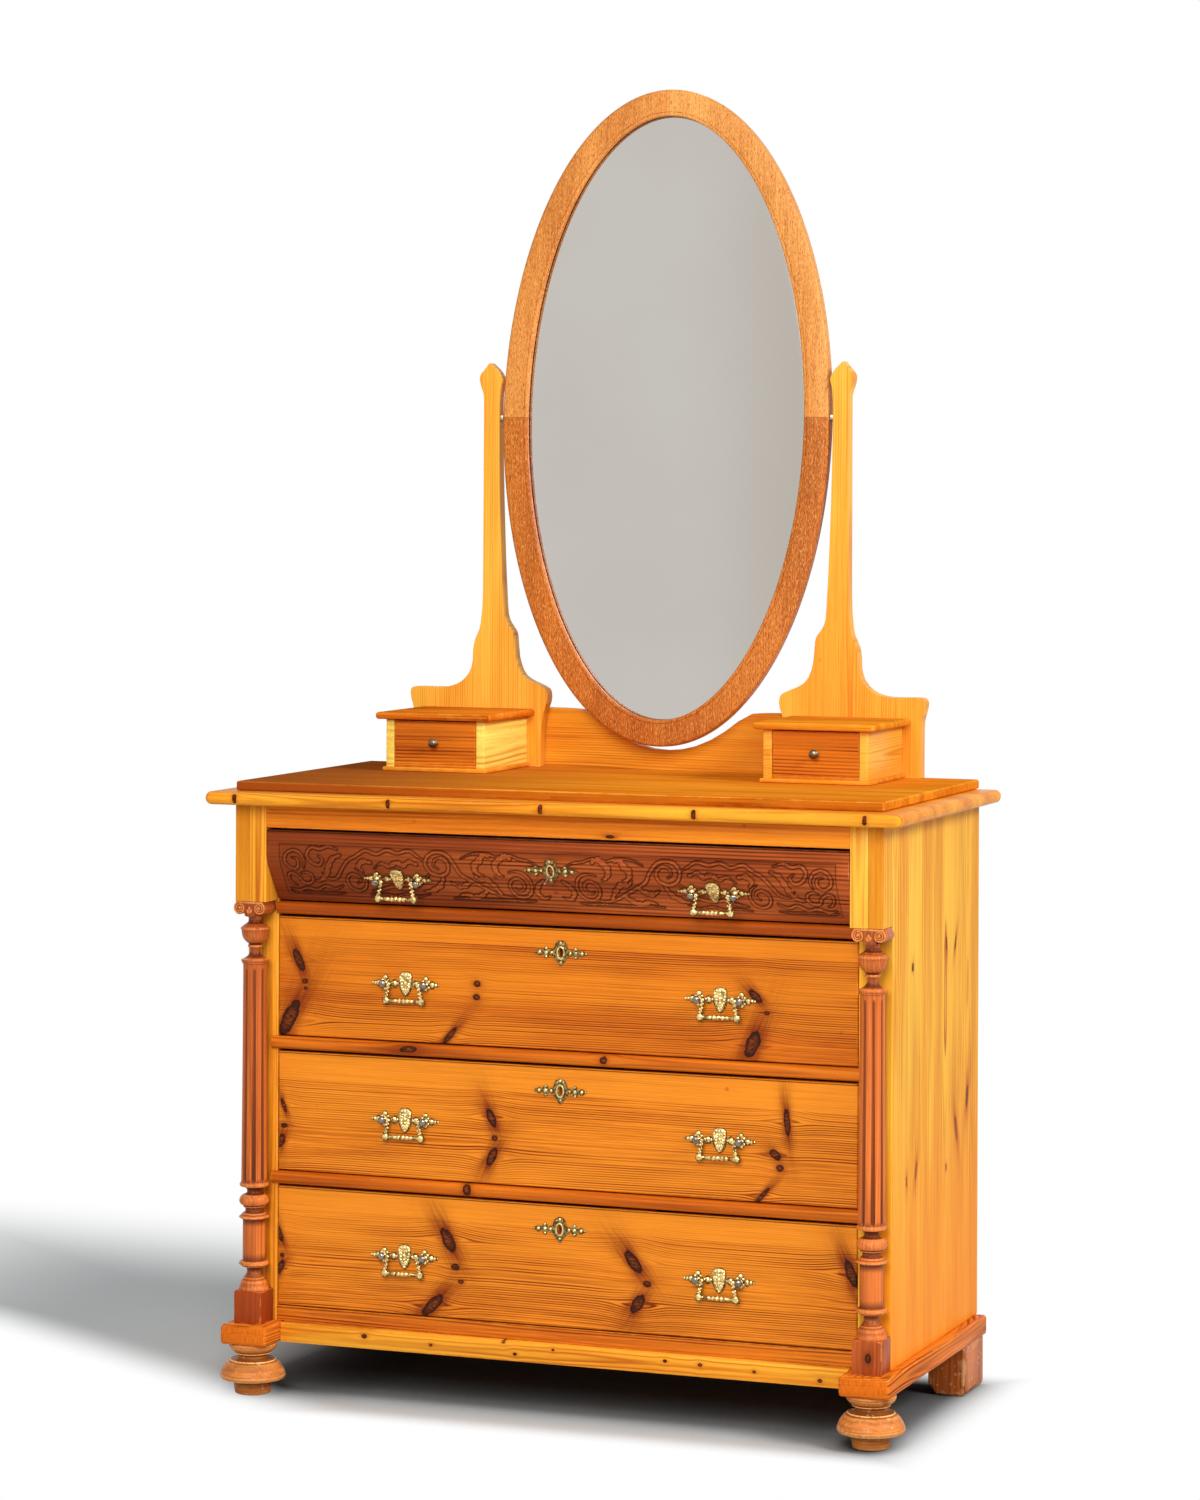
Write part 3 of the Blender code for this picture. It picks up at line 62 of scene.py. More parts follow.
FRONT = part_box("face_frame")[0].y
FACE_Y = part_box("drawer_2_front")[0].y
SMOOTH = math.radians(32)
NEARLY_FLAT = math.radians(0.5)
SIDES = ((-1, "left"), (1, "right"))
DRAWER_NUMBERS = (1, 2, 3, 4)
FORWARD = Matrix.Rotation(math.radians(90), 4, "X")
ACROSS = Matrix.Rotation(math.radians(90), 4, "Y")
KNOT_RIM: Colour = (0.028, 0.005, 0.001)
KNOT_DARK: Colour = (0.040, 0.008, 0.001)
KNOT_WARM: Colour = (0.230, 0.042, 0.005)
FILLER: Colour = (0.86, 0.76, 0.58)
SHADOW: Colour = (0.012, 0.004, 0.001)


def curved_face() -> tuple[tuple[float, float], ...]:
    """Return the top drawer front's curved section, as heights and depths going up."""
    low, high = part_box("drawer_1_front")
    shares = ((0.000, 1.000), (0.110, 0.780), (0.220, 0.575), (0.460, 0.200), (0.520, 0.118),
              (0.590, 0.047), (0.660, 0.010), (0.720, 0.000), (1.000, 0.000))
    return tuple((low.z + h * (high.z - low.z), FRONT + d * (FACE_Y - FRONT)) for h, d in shares)


def face_depth(z: float) -> float:
    """Return how far back the curved face lies at a height."""
    return float(np.interp(z, [row[0] for row in CURVED_FACE], [row[1] for row in CURVED_FACE]))


CURVED_FACE = curved_face()
HANDLE_TILT = math.atan2(CURVED_FACE[2][1] - CURVED_FACE[3][1],
                         CURVED_FACE[3][0] - CURVED_FACE[2][0])


# Workbench


def clear_selection() -> None:
    """Leave edit mode and select nothing."""
    if bpy.context.object and bpy.context.object.mode != "OBJECT":
        bpy.ops.object.mode_set(mode="OBJECT")
    bpy.ops.object.select_all(action="DESELECT")


def pick(*pieces: Piece) -> None:
    """Select pieces, the first one active.

    Args:
        pieces: the objects to select.
    """
    clear_selection()
    for piece in pieces:
        piece.select_set(True)
    bpy.context.view_layer.objects.active = pieces[0]


@contextmanager
def editing(piece: Piece, action: str = "SELECT") -> Iterator[None]:
    """Open a piece in edit mode, and close it again afterwards.

    Args:
        piece: the object to edit.
        action: what is done with the selection of its mesh at the start.

    Yields:
        Nothing, while the piece is open.
    """
    pick(piece)
    bpy.ops.object.mode_set(mode="EDIT")
    bpy.ops.mesh.select_all(action=action)
    yield
    bpy.ops.object.mode_set(mode="OBJECT")


def added(name: str, data: bpy.types.ID) -> Piece:
    """Return a new object of the scene that shows some data."""
    made = bpy.data.objects.new(name, data)
    bpy.context.scene.collection.objects.link(made)
    return made


def held(value: float) -> float:
    """Return a number held between 0 and 1."""
    return min(1.0, max(0.0, value))


def settle(piece: Piece) -> Piece:
    """Put a piece's place into its mesh.

    Args:
        piece: the object to settle.

    Returns:
        The same object, at the origin, unturned and unscaled.
    """
    pick(piece)
    bpy.ops.object.transform_apply(location=True, rotation=True, scale=True)
    return piece


def apply_modifier(piece: Piece, kind: str, **settings: object) -> Piece:
    """Add one modifier and apply it.

    Args:
        piece: the object to change.
        kind: Blender's name for the modifier type.
        settings: the modifier's values.

    Returns:
        The same object.
    """
    pick(piece)
    modifier = piece.modifiers.new(kind.lower(), kind)
    for key, value in settings.items():
        setattr(modifier, key, value)
    bpy.ops.object.modifier_apply(modifier=modifier.name)
    return piece


def round_edges(piece: Piece, width: float, segments: int = 3, angle: float = 30.0) -> Piece:
    """Round a piece's sharp edges.

    Args:
        piece: the object to change.
        width: radius of the rounding.
        segments: steps across the rounding.
        angle: the least angle in degrees that counts as sharp.

    Returns:
        The same object.
    """
    return apply_modifier(
        piece, "BEVEL", width=width, segments=segments, limit_method="ANGLE",
        angle_limit=math.radians(angle), use_clamp_overlap=True,
    )


def clean(piece: Piece, distance: float = 0.000002) -> Piece:
    """Merge a piece's doubles and turn its faces outwards.

    Args:
        piece: the object to change.
        distance: how close points merge.

    Returns:
        The same object.
    """
    with editing(piece):
        bpy.ops.mesh.remove_doubles(threshold=distance)
        bpy.ops.mesh.normals_make_consistent(inside=False)
    return piece


def block(name: str, low: Sequence[float], high: Sequence[float], rounding: float = 0.0,
          segments: int = 2) -> Piece:
    """Make a board between two corners.

    Args:
        name: the piece's name.
        low: its lowest corner.
        high: its highest corner.
        rounding: radius of its edges.
        segments: steps across the rounding.

    Returns:
        The new piece.
    """
    clear_selection()
    low, high = Vector(low), Vector(high)
    bpy.ops.mesh.primitive_cube_add(size=1, location=(low + high) / 2, scale=high - low)
    piece = bpy.context.object
    piece.name = name
    settle(piece)
    if rounding:
        round_edges(piece, rounding, segments)
    return piece


def drawn(name: str, loops: Iterable[Sequence[Sequence[float]]], closed: bool, flat: bool,
          **settings: object) -> Piece:
    """Draw a curve through points and make it a mesh.

    Args:
        name: the piece's name.
        loops: one list of points for each spline.
        closed: whether the splines are closed.
        flat: whether the curve is flat and filled.
        settings: further values of the curve.

    Returns:
        The new piece.
    """
    curve = bpy.data.curves.new(name, "CURVE")
    curve.dimensions = "2D" if flat else "3D"
    if flat:
        curve.fill_mode = "BOTH"
    for key, value in settings.items():
        setattr(curve, key, value)
    for loop in loops:
        spline = curve.splines.new("POLY")
        spline.points.add(len(loop) - 1)
        for point, place in zip(spline.points, loop):
            point.co = (*place[:3], *([0.0] * (3 - len(place[:3]))), 1.0)
            if len(place) == 4:
                point.radius = place[3]
        spline.use_cyclic_u = closed
    pick(added(name, curve))
    bpy.ops.object.convert(target="MESH")
    return bpy.context.object


def wire(name: str, points: Sequence[Sequence[float]], radius: float, steps: int = 1) -> Piece:
    """Draw a round wire with closed ends.

    Args:
        name: the piece's name.
        points: the points to pass; a fourth number scales the radius there.
        radius: the wire's radius.
        steps: how finely it is rounded.

    Returns:
        The new piece.
    """
    return drawn(name, [points], False, False, bevel_depth=radius, bevel_resolution=steps,
                 use_fill_caps=True)


class Facing(Enum):
    """The plane that an outline is drawn in."""

    FRONT = "front"
    SIDE = "side"


TURNS: dict[Facing, Matrix] = {
    Facing.FRONT: FORWARD,
    Facing.SIDE: Matrix(((0, 0, 1, 0), (1, 0, 0, 0), (0, 1, 0, 0), (0, 0, 0, 1))),
}
LIFTS: dict[Facing, Vector] = {Facing.FRONT: Vector((0, 1, 0)), Facing.SIDE: Vector((1, 0, 0))}


def sawn(name: str, loops: Iterable[Sequence[Point]], facing: Facing, low: float, high: float,
         rounding: float = 0.0, segments: int = 2) -> Piece:
    """Saw a board to an outline.

    Args:
        name: the piece's name.
        loops: the outline, and any holes in it.
        facing: the plane of the outline.
        low: where its thickness starts.
        high: where its thickness ends.
        rounding: radius of its edges.
        segments: steps across the rounding.

    Returns:
        The new piece.
    """
    piece = drawn(name, loops, True, True, extrude=(high - low) / 2)
    clean(piece)
    with editing(piece):
        bpy.ops.mesh.dissolve_limited(angle_limit=NEARLY_FLAT)
    piece.matrix_world = Matrix.Translation(LIFTS[facing] * (low + high) / 2) @ TURNS[facing]
    settle(piece)
    if rounding:
        round_edges(piece, rounding, segments)
    return piece


def spun(name: str, profile: Sequence[Point], steps: int, place: Matrix) -> Piece:
    """Turn a piece from its profile.

    Args:
        name: the piece's name.
        profile: radius and height pairs, from the top down.
        steps: how many facets go round.
        place: where the turned piece goes; its axis is the place's own Z.

    Returns:
        The new piece.
    """
    line = [(0.0, 0.0, profile[0][1])]
    line += [(radius, 0.0, height) for radius, height in profile if radius > 0]
    line += [(0.0, 0.0, profile[-1][1])]
    piece = drawn(name, [line], False, False)
    with editing(piece):
        bpy.ops.mesh.spin(steps=steps, angle=2 * math.pi, center=(0, 0, 0), axis=(0, 0, 1))
    piece.matrix_world = place
    settle(piece)
    return clean(piece)


def cut(piece: Piece, *tools: Piece) -> Piece:
    """Cut tools out of a piece.

    Args:
        piece: the piece to cut.
        tools: the shapes to take out, which are removed afterwards.

    Returns:
        The cut piece.
    """
    for tool in tools:
        apply_modifier(piece, "BOOLEAN", operation="DIFFERENCE", solver="EXACT", object=tool)
        bpy.data.objects.remove(tool, do_unlink=True)
    return piece


def joined(name: str, *pieces: Piece) -> Piece:
    """Join pieces into one object.

    Args:
        name: the joined piece's name.
        pieces: the pieces to join.

    Returns:
        The joined piece.
    """
    pick(*pieces)
    bpy.ops.object.join()
    piece = bpy.context.object
    piece.name = name
    return piece


def copied(piece: Piece, name: str, place: Matrix) -> Piece:
    """Copy a piece with its own mesh.

    Args:
        piece: the piece to copy.
        name: the copy's name.
        place: the move from the original to the copy.

    Returns:
        The copy.
    """
    twin = piece.copy()
    twin.data = piece.data.copy()
    twin.name = name
    bpy.context.scene.collection.objects.link(twin)
    twin.matrix_world = place
    return settle(twin)


def flowing(points: Sequence[Sequence[float]], pieces: int) -> list[tuple[float, ...]]:
    """Run a smooth curve through points.

    Args:
        points: the points to pass.
        pieces: how many steps each stretch gets.

    Returns:
        The points along the curve.
    """
    rows = [points[0], *points, points[-1]]
    result: list[tuple[float, ...]] = []
    for a, b, c, d in zip(rows, rows[1:], rows[2:], rows[3:]):
        for step in range(pieces):
            t = step / pieces
            result.append(tuple(
                ((2 * q) + (r - p) * t + (2 * p - 5 * q + 4 * r - s) * t ** 2
                 + (3 * q - p - 3 * r + s) * t ** 3) / 2
                for p, q, r, s in zip(a, b, c, d)
            ))
    return result + [tuple(points[-1])]


def mark_relief(piece: Piece, rule: Callable[[Vector], float]) -> Piece:
    """Write on each point how far it stands out, from -1 in a hollow to 1 on a rim.

    Args:
        piece: the piece.
        rule: gives the value of a point from its place.

    Returns:
        The piece.
    """
    values = [rule(vertex.co) for vertex in piece.data.vertices]
    piece.data.attributes.new("relief", "FLOAT", "POINT").data.foreach_set("value", values)
    return piece


def shift(x: float, y: float, z: float) -> Matrix:
    """Return a move."""
    return Matrix.Translation((x, y, z))


def dress(piece: Piece, finish: bpy.types.Material, body: str, slot: str,
          stands_for: Sequence[str] = ()) -> Piece:
    """Give a finished piece its material, its body and its shading.

    Args:
        piece: the finished piece.
        finish: its material.
        body: the body that carries it.
        slot: the record's material slot; not used.
        stands_for: the solids that it replaces.

    Returns:
        The same piece.
    """
    piece.data.materials.clear()
    piece.data.materials.append(finish)
    pick(piece)
    bpy.ops.object.shade_smooth_by_angle(angle=SMOOTH)
    clear_selection()
    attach(piece, body)
    if stands_for:
        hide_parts(*stands_for)
    LOG.info("%s: %d faces on %s", piece.name, len(piece.data.polygons), body)
    return piece


def soften_node(name: str, finish: bpy.types.Material, width: float = 0.0012) -> Piece:
    """Keep a solid as it is, with its material and softened edges.

    Args:
        name: the node.
        finish: its material.
        width: radius of its edges.

    Returns:
        The node's object.
    """
    node = frame["nodes"][name]
    node.data.materials.clear()
    node.data.materials.append(finish)
    weld = node.modifiers.new("weld", "WELD")
    weld.merge_threshold = 0.00002
    if width:
        bevel = node.modifiers.new("soft_edges", "BEVEL")
        bevel.width = width
        bevel.segments = 2
        bevel.limit_method = "ANGLE"
        bevel.angle_limit = math.radians(34)
        bevel.use_clamp_overlap = True
        bevel.harden_normals = True
    LOG.info("%s: finished as it is", name)
    return node


# Shader desk


@dataclass
class Desk:
    """Adds and joins nodes in one shader tree."""

    tree: bpy.types.NodeTree

    def feed(self, socket: bpy.types.NodeSocket, value: object) -> None:
        """Link a socket, or set its value.

        Args:
            socket: the input to feed.
            value: another socket, or a plain value.
        """
        if isinstance(value, bpy.types.NodeSocket):
            self.tree.links.new(value, socket)
        elif socket.type == "RGBA" and len(value) == 3:
            socket.default_value = (*value, 1.0)
        else:
            socket.default_value = value

    def node(self, kind: str, inputs: dict | None = None, **settings: object) -> bpy.types.Node:
        """Add a node.

        Args:
            kind: the node's type.
            inputs: values or sockets for its inputs, by name or number.
            settings: its own values.

        Returns:
            The new node.
        """
        made = self.tree.nodes.new(kind)
        for key, value in settings.items():
            setattr(made, key, value)
        for key, value in (inputs or {}).items():
            self.feed(made.inputs[key], value)
        return made

    def sum(self, operation: str, *values: object, clamp: bool = False) -> bpy.types.NodeSocket:
        """Return the result of a sum on numbers."""
        made = self.node("ShaderNodeMath", dict(enumerate(values)), operation=operation)
        made.use_clamp = clamp
        return made.outputs[0]

    def vector(self, operation: str, *values: object) -> bpy.types.NodeSocket:
        """Return the result of a sum on vectors."""
        made = self.node("ShaderNodeVectorMath", dict(enumerate(values)), operation=operation)
        return made.outputs["Value" if operation in ("LENGTH", "DISTANCE", "DOT_PRODUCT") else 0]

    def noise(self, place: object, scale: float, detail: float = 2.0, rough: float = 0.5,
              colour: bool = False) -> bpy.types.NodeSocket:
        """Return a noise value, or a noise colour."""
        made = self.node("ShaderNodeTexNoise", {
            "Vector": place, "Scale": scale, "Detail": detail, "Roughness": rough})
        return made.outputs["Color" if colour else 0]

    def ramp(self, value: object, stops: Sequence[tuple[float, float]]) -> bpy.types.NodeSocket:
        """Return a value that runs through the stops."""
        made = self.node("ShaderNodeValToRGB", {0: value})
        points = made.color_ramp.elements
        while len(points) < len(stops):
            points.new(0.5)
        for point, (place, level) in zip(points, stops):
            point.position = place
            point.color = (level, level, level, 1.0)
        return made.outputs[0]

    def span(self, value: object, low: float, high: float) -> bpy.types.NodeSocket:
        """Return a value that rises smoothly from 0 at low to 1 at high."""
        made = self.node("ShaderNodeMapRange", {"Value": value, "From Min": low, "From Max": high},
                         interpolation_type="SMOOTHSTEP")
        return made.outputs[0]

    def mix(self, share: object, first: object, second: object) -> bpy.types.NodeSocket:
        """Return a mix of two colours."""
        made = self.node("ShaderNodeMix", {0: share, 6: first, 7: second}, data_type="RGBA")
        return made.outputs[2]

    def times(self, *values: object, clamp: bool = False) -> bpy.types.NodeSocket:
        """Return a product of two numbers."""
        return self.sum("MULTIPLY", *values, clamp=clamp)

    def plus(self, *values: object) -> bpy.types.NodeSocket:
        """Return two numbers added."""
        return self.sum("ADD", *values)

    def minus(self, *values: object, clamp: bool = False) -> bpy.types.NodeSocket:
        """Return the first number less the second."""
        return self.sum("SUBTRACT", *values, clamp=clamp)

    def line(self, *values: object, clamp: bool = False) -> bpy.types.NodeSocket:
        """Return a number times a slope, plus a start."""
        return self.sum("MULTIPLY_ADD", *values, clamp=clamp)

    def most(self, *values: object) -> bpy.types.NodeSocket:
        """Return the larger of two numbers."""
        return self.sum("MAXIMUM", *values)

    def least(self, *values: object) -> bpy.types.NodeSocket:
        """Return the smaller of two numbers."""
        return self.sum("MINIMUM", *values)

    def stretched(self, place: object, pull: Sequence[float], detail: float,
                  colour: bool = False) -> bpy.types.NodeSocket:
        """Return a noise of its own scale along each axis."""
        return self.noise(self.vector("MULTIPLY", place, pull), 1.0, detail, colour=colour)

    def parts(self, vector: object) -> bpy.types.bpy_prop_collection:
        """Return the three parts of a vector."""
        return self.node("ShaderNodeSeparateXYZ", {0: vector}).outputs

    def combined(self, *parts: object) -> bpy.types.NodeSocket:
        """Return a vector of three parts."""
        return self.node("ShaderNodeCombineXYZ", dict(enumerate(parts))).outputs[0]

    def place(self) -> bpy.types.NodeSocket:
        """Return where a point lies in its object."""
        return self.node("ShaderNodeTexCoord").outputs["Object"]

    def relief(self) -> bpy.types.NodeSocket:
        """Return how far a point stands out, as mark_relief wrote it."""
        return self.node("ShaderNodeAttribute", attribute_name="relief").outputs["Fac"]

    def seen(self) -> bpy.types.NodeSocket:
        """Return 1 for the rays of the camera, also those seen in a mirror or through glass."""
        rays = self.node("ShaderNodeLightPath").outputs
        direct = self.most(rays["Is Camera Ray"], rays["Is Glossy Ray"])
        return self.most(direct, rays["Is Transmission Ray"])

    def group(self, tree: bpy.types.NodeTree, inputs: dict) -> bpy.types.bpy_prop_collection:
        """Add a node group, feed it and return its outputs."""
        return self.node("ShaderNodeGroup", inputs, node_tree=tree).outputs


def new_material(name: str) -> tuple[bpy.types.Material, Desk, bpy.types.Node]:
    """Return a new material, its desk and its shader."""
    made = bpy.data.materials.new(name)
    made.use_nodes = True
    return made, Desk(made.node_tree), made.node_tree.nodes["Principled BSDF"]


def new_group(name: str, takes: dict[str, str], gives: dict[str, str]) -> tuple[
        bpy.types.NodeTree, Desk, bpy.types.Node, bpy.types.Node]:
    """Start a node group.

    Args:
        name: its name.
        takes: its inputs and their kinds.
        gives: its outputs and their kinds.

    Returns:
        The group, its desk, its input node and its output node.
    """
    group = bpy.data.node_groups.new(name, "ShaderNodeTree")
    for key, kind in takes.items():
        group.interface.new_socket(key, in_out="INPUT", socket_type="NodeSocket" + kind)
    for key, kind in gives.items():
        group.interface.new_socket(key, in_out="OUTPUT", socket_type="NodeSocket" + kind)
    desk = Desk(group)
    return group, desk, desk.node("NodeGroupInput"), desk.node("NodeGroupOutput")


def grain_group() -> bpy.types.NodeTree:
    """Build the figure of a sawn softwood board.

    Returns:
        The node group.
    """
    group, desk, takes, gives = new_group(
        "pine_grain",
        {"Vector": "Vector", "Seed": "Vector", "Heart": "Float", "Sap Level": "Float",
         "Ring Width": "Float", "Depth": "Float", "Wobble": "Float", "Figure": "Float",
         "Light": "Color", "Mid": "Color", "Dark": "Color", "Knot Flow": "Float",
         "Knot Reach": "Float", "Knot Tail": "Float"},
        {"Color": "Color", "Height": "Float", "Roughness": "Float"},
    )
    give = takes.outputs
    place = give["Vector"]
    spot = desk.vector("ADD", place, give["Seed"])
    slow = desk.stretched(spot, (1.3, 3.2, 3.2), 1.0, colour=True)
    drift = desk.vector("SCALE", desk.vector("SUBTRACT", slow, (0.5, 0.5, 0.5)))
    desk.feed(drift.node.inputs["Scale"], give["Wobble"])
    ripple = desk.stretched(spot, (10.0, 42.0, 42.0), 2.0, colour=True)
    wave = desk.vector("SCALE", desk.vector("SUBTRACT", ripple, (0.5, 0.5, 0.5)))
    outside = desk.minus(1.0, give["Knot Reach"])
    halo = desk.sum("EXPONENT", desk.least(desk.times(outside, 1.5), 0.0))
    near_knot = desk.most(give["Knot Tail"], halo)
    desk.feed(wave.node.inputs["Scale"], desk.line(near_knot, 0.0045, 0.0009))
    moved = desk.vector("ADD", desk.vector("ADD", place, drift), wave)
    parts = desk.parts(moved)
    across = desk.plus(desk.minus(parts[1], give["Heart"]), give["Knot Flow"])
    cone = desk.stretched(spot, (2.6, 0.0, 0.0), 1.0)
    core = desk.times(give["Depth"], desk.line(cone, 0.9, 0.55))
    radius = desk.sum("SQRT", desk.plus(desk.times(across, across), desk.times(core, core)))
    ring = desk.sum("DIVIDE", radius, give["Ring Width"])
    late = desk.ramp(desk.sum("FRACT", ring), [
        (0.0, 0.50), (0.12, 0.0), (0.45, 0.06), (0.84, 1.0), (1.0, 0.50)])
    year = desk.node("ShaderNodeTexWhiteNoise", {"W": desk.sum("FLOOR", ring)},
                     noise_dimensions="1D").outputs["Value"]
    sap = desk.span(desk.minus(parts[1], give["Sap Level"]), -0.0014, 0.0014)
    tone = desk.stretched(spot, (1.8, 17.0, 17.0), 3.0)
    patch = desk.stretched(spot, (3.0, 20.0, 20.0), 2.0)
    fibre = desk.stretched(spot, (34.0, 1300.0, 1300.0), 2.0)
    streak = desk.stretched(spot, (6.0, 300.0, 300.0), 3.0)
    # Painted sheen: fine flecks across the grain that stand for the silky sheen of the wood.
    painted_sheen = desk.stretched(spot, (620.0, 170.0, 170.0), 2.0)
    plain = desk.line(sap, -0.80, 1.0)
    strength = desk.times(desk.line(year, 0.75, 0.35), give["Figure"])
    strength = desk.times(strength, plain)
    strength = desk.times(strength, desk.line(desk.span(patch, 0.30, 0.66), 0.80, 0.25))
    late = desk.times(late, strength, clamp=True)
    heavy = desk.times(desk.line(desk.span(tone, 0.36, 0.66), 0.72, 0.14), plain)
    base = desk.mix(heavy, give["Light"], give["Mid"])
    base = desk.mix(desk.times(desk.span(painted_sheen, 0.45, 0.75), 0.16), base, give["Mid"])
    base = desk.mix(late, base, give["Dark"])
    grainy = desk.plus(desk.times(fibre, 0.42), desk.times(streak, 0.80))
    grainy = desk.minus(grainy, 0.46, clamp=True)
    base = desk.mix(desk.times(grainy, desk.line(heavy, 1.3, 0.55), clamp=True), base, give["Dark"])
    base = desk.mix(desk.times(give["Knot Tail"], 0.94), base, give["Dark"])
    base = desk.mix(desk.times(halo, 0.62), base, give["Dark"])
    fleck = desk.stretched(spot, (160.0, 420.0, 420.0), 3.0)
    middle = desk.mix(desk.span(fleck, 0.35, 0.70), KNOT_DARK, KNOT_WARM)
    heart = desk.mix(desk.span(give["Knot Reach"], 0.25, 0.92), middle, KNOT_RIM)
    base = desk.mix(desk.span(give["Knot Reach"], 1.06, 0.93), base, heart)
    height = desk.plus(desk.times(fibre, 0.5), desk.times(late, -0.35))
    desk.feed(gives.inputs["Color"], base)
    desk.feed(gives.inputs["Height"], height)
    desk.feed(gives.inputs["Roughness"], desk.line(streak, 0.22, 0.24))
    return group


def knot_group() -> bpy.types.NodeTree:
    """Build one knot: how the grain flows round it, how near it is, and its dark tails.

    Returns:
        The node group.
    """
    group, desk, takes, gives = new_group(
        "pine_knot",
        {"Vector": "Vector", "Centre": "Vector", "Axis": "Vector", "Cross": "Vector",
         "Long": "Float", "Wide": "Float", "Flow": "Float", "Reach": "Float", "Tail": "Float"},
        {"Flow": "Float", "Reach": "Float", "Tail": "Float"},
    )
    give = takes.outputs
    away = desk.vector("SUBTRACT", give["Vector"], give["Centre"])
    parts = desk.parts(away)
    ragged = desk.line(desk.noise(give["Vector"], 110.0, 2.0), 0.60, 0.70)
    along = desk.sum("DIVIDE", desk.vector("DOT_PRODUCT", away, give["Axis"]), give["Long"])
    across = desk.sum("DIVIDE", desk.vector("DOT_PRODUCT", away, give["Cross"]), give["Wide"])
    far = desk.sum("SQRT", desk.plus(desk.times(along, along), desk.times(across, across)))
    reach = desk.times(far, ragged)
    size = desk.line(give["Long"], 0.25, desk.times(give["Wide"], 0.75))
    x = desk.sum("DIVIDE", parts[0], size)
    y = desk.sum("DIVIDE", parts[1], size)
    side = desk.sum("DIVIDE", y, desk.plus(desk.sum("ABSOLUTE", y), 0.5))
    level = desk.times(desk.times(x, x), -0.07)
    fade = desk.sum("EXPONENT", desk.minus(level, desk.times(desk.sum("ABSOLUTE", y), 0.28)))
    flow = desk.times(desk.times(side, fade), desk.times(size, -1.25))
    slender = desk.span(desk.sum("DIVIDE", give["Long"], give["Wide"]), 1.1, 2.2)
    distance = desk.sum("ABSOLUTE", along)
    spread = desk.sum("DIVIDE", across, desk.line(distance, 0.46, 1.30))
    fan = desk.times(desk.times(spread, spread), -1.0)
    beyond = desk.times(desk.most(desk.minus(distance, 0.9), 0.0), 0.62)
    tail = desk.sum("EXPONENT", desk.minus(fan, beyond))
    strand = desk.combined(desk.times(along, 0.45), desk.times(across, 2.4),
                           desk.times(give["Long"], 400.0))
    strands = desk.line(desk.span(desk.noise(strand, 1.0, 3.0), 0.30, 0.66), 0.75, 0.50)
    tail = desk.times(desk.times(tail, slender), strands, clamp=True)
    desk.feed(gives.inputs["Flow"], desk.plus(flow, give["Flow"]))
    desk.feed(gives.inputs["Reach"], desk.least(reach, give["Reach"]))
    desk.feed(gives.inputs["Tail"], desk.most(tail, give["Tail"]))
    return group


def glue_group() -> bpy.types.NodeTree:
    """Build a panel of boards glued side by side: where in its own board each point lies.

    Returns:
        The node group.
    """
    group, desk, takes, gives = new_group(
        "glued_boards",
        {"Vector": "Vector", "Low": "Float", "Board Width": "Float"},
        {"Vector": "Vector", "Seed": "Vector", "Tone": "Float", "Joint": "Float"},
    )
    give = takes.outputs
    parts = desk.parts(give["Vector"])
    share = desk.sum("DIVIDE", desk.minus(parts[1], give["Low"]), give["Board Width"])
    number = desk.sum("FLOOR", share)
    within = desk.minus(desk.minus(share, number), 0.5)
    local = desk.times(within, give["Board Width"])
    chance = desk.node("ShaderNodeTexWhiteNoise", {"W": number}, noise_dimensions="1D")
    edge = desk.times(desk.minus(0.5, desk.sum("ABSOLUTE", within)), give["Board Width"])
    desk.feed(gives.inputs["Vector"], desk.combined(parts[0], local, parts[2]))
    seed = desk.vector("MULTIPLY", chance.outputs["Color"], (9.0, 7.0, 5.0))
    desk.feed(gives.inputs["Seed"], seed)
    desk.feed(gives.inputs["Tone"], chance.outputs["Value"])
    desk.feed(gives.inputs["Joint"], desk.span(edge, 0.0007, 0.0002))
    return group


def edge_group() -> bpy.types.NodeTree:
    """Build the wear along the edges of a board with known corners.

    Returns:
        The node group.
    """
    group, desk, takes, gives = new_group(
        "edge_wear",
        {"Vector": "Vector", "Low": "Vector", "High": "Vector", "Width": "Float"},
        {"Mask": "Float"},
    )
    place = takes.outputs["Vector"]
    near = desk.vector(
        "MINIMUM", desk.vector("SUBTRACT", place, takes.outputs["Low"]),
        desk.vector("SUBTRACT", takes.outputs["High"], place))
    x, y, z = desk.parts(near)
    smaller, larger = desk.least(x, y), desk.most(x, y)
    second = desk.most(smaller, desk.least(larger, z))
    rough = desk.noise(place, 55.0, 3.0, 0.6)
    reach = desk.times(takes.outputs["Width"], desk.span(rough, 0.38, 0.72))
    mask = desk.minus(1.0, desk.sum("DIVIDE", second, desk.plus(reach, 0.0001)), clamp=True)
    desk.feed(gives.inputs["Mask"], mask)
    return group


def dents_group() -> bpy.types.NodeTree:
    """Build small dents, scratches and specks.

    Returns:
        The node group.
    """
    group, desk, takes, gives = new_group(
        "dents_and_specks", {"Vector": "Vector", "Scale": "Float", "Amount": "Float"},
        {"Mask": "Float"},
    )
    inputs = {"Vector": takes.outputs["Vector"], "Scale": takes.outputs["Scale"], "Randomness": 1.0}
    spots = desk.node("ShaderNodeTexVoronoi", inputs, feature="F1")
    chance = desk.node("ShaderNodeSeparateColor", {0: spots.outputs["Color"]}).outputs[0]
    size = desk.times(desk.span(chance, 0.55, 1.0), takes.outputs["Amount"])
    mask = desk.times(desk.minus(size, spots.outputs["Distance"], clamp=True), 12.0, clamp=True)
    desk.feed(gives.inputs["Mask"], mask)
    return group


GRAIN = grain_group()
KNOT = knot_group()
GLUE = glue_group()
EDGES = edge_group()
DENTS = dents_group()


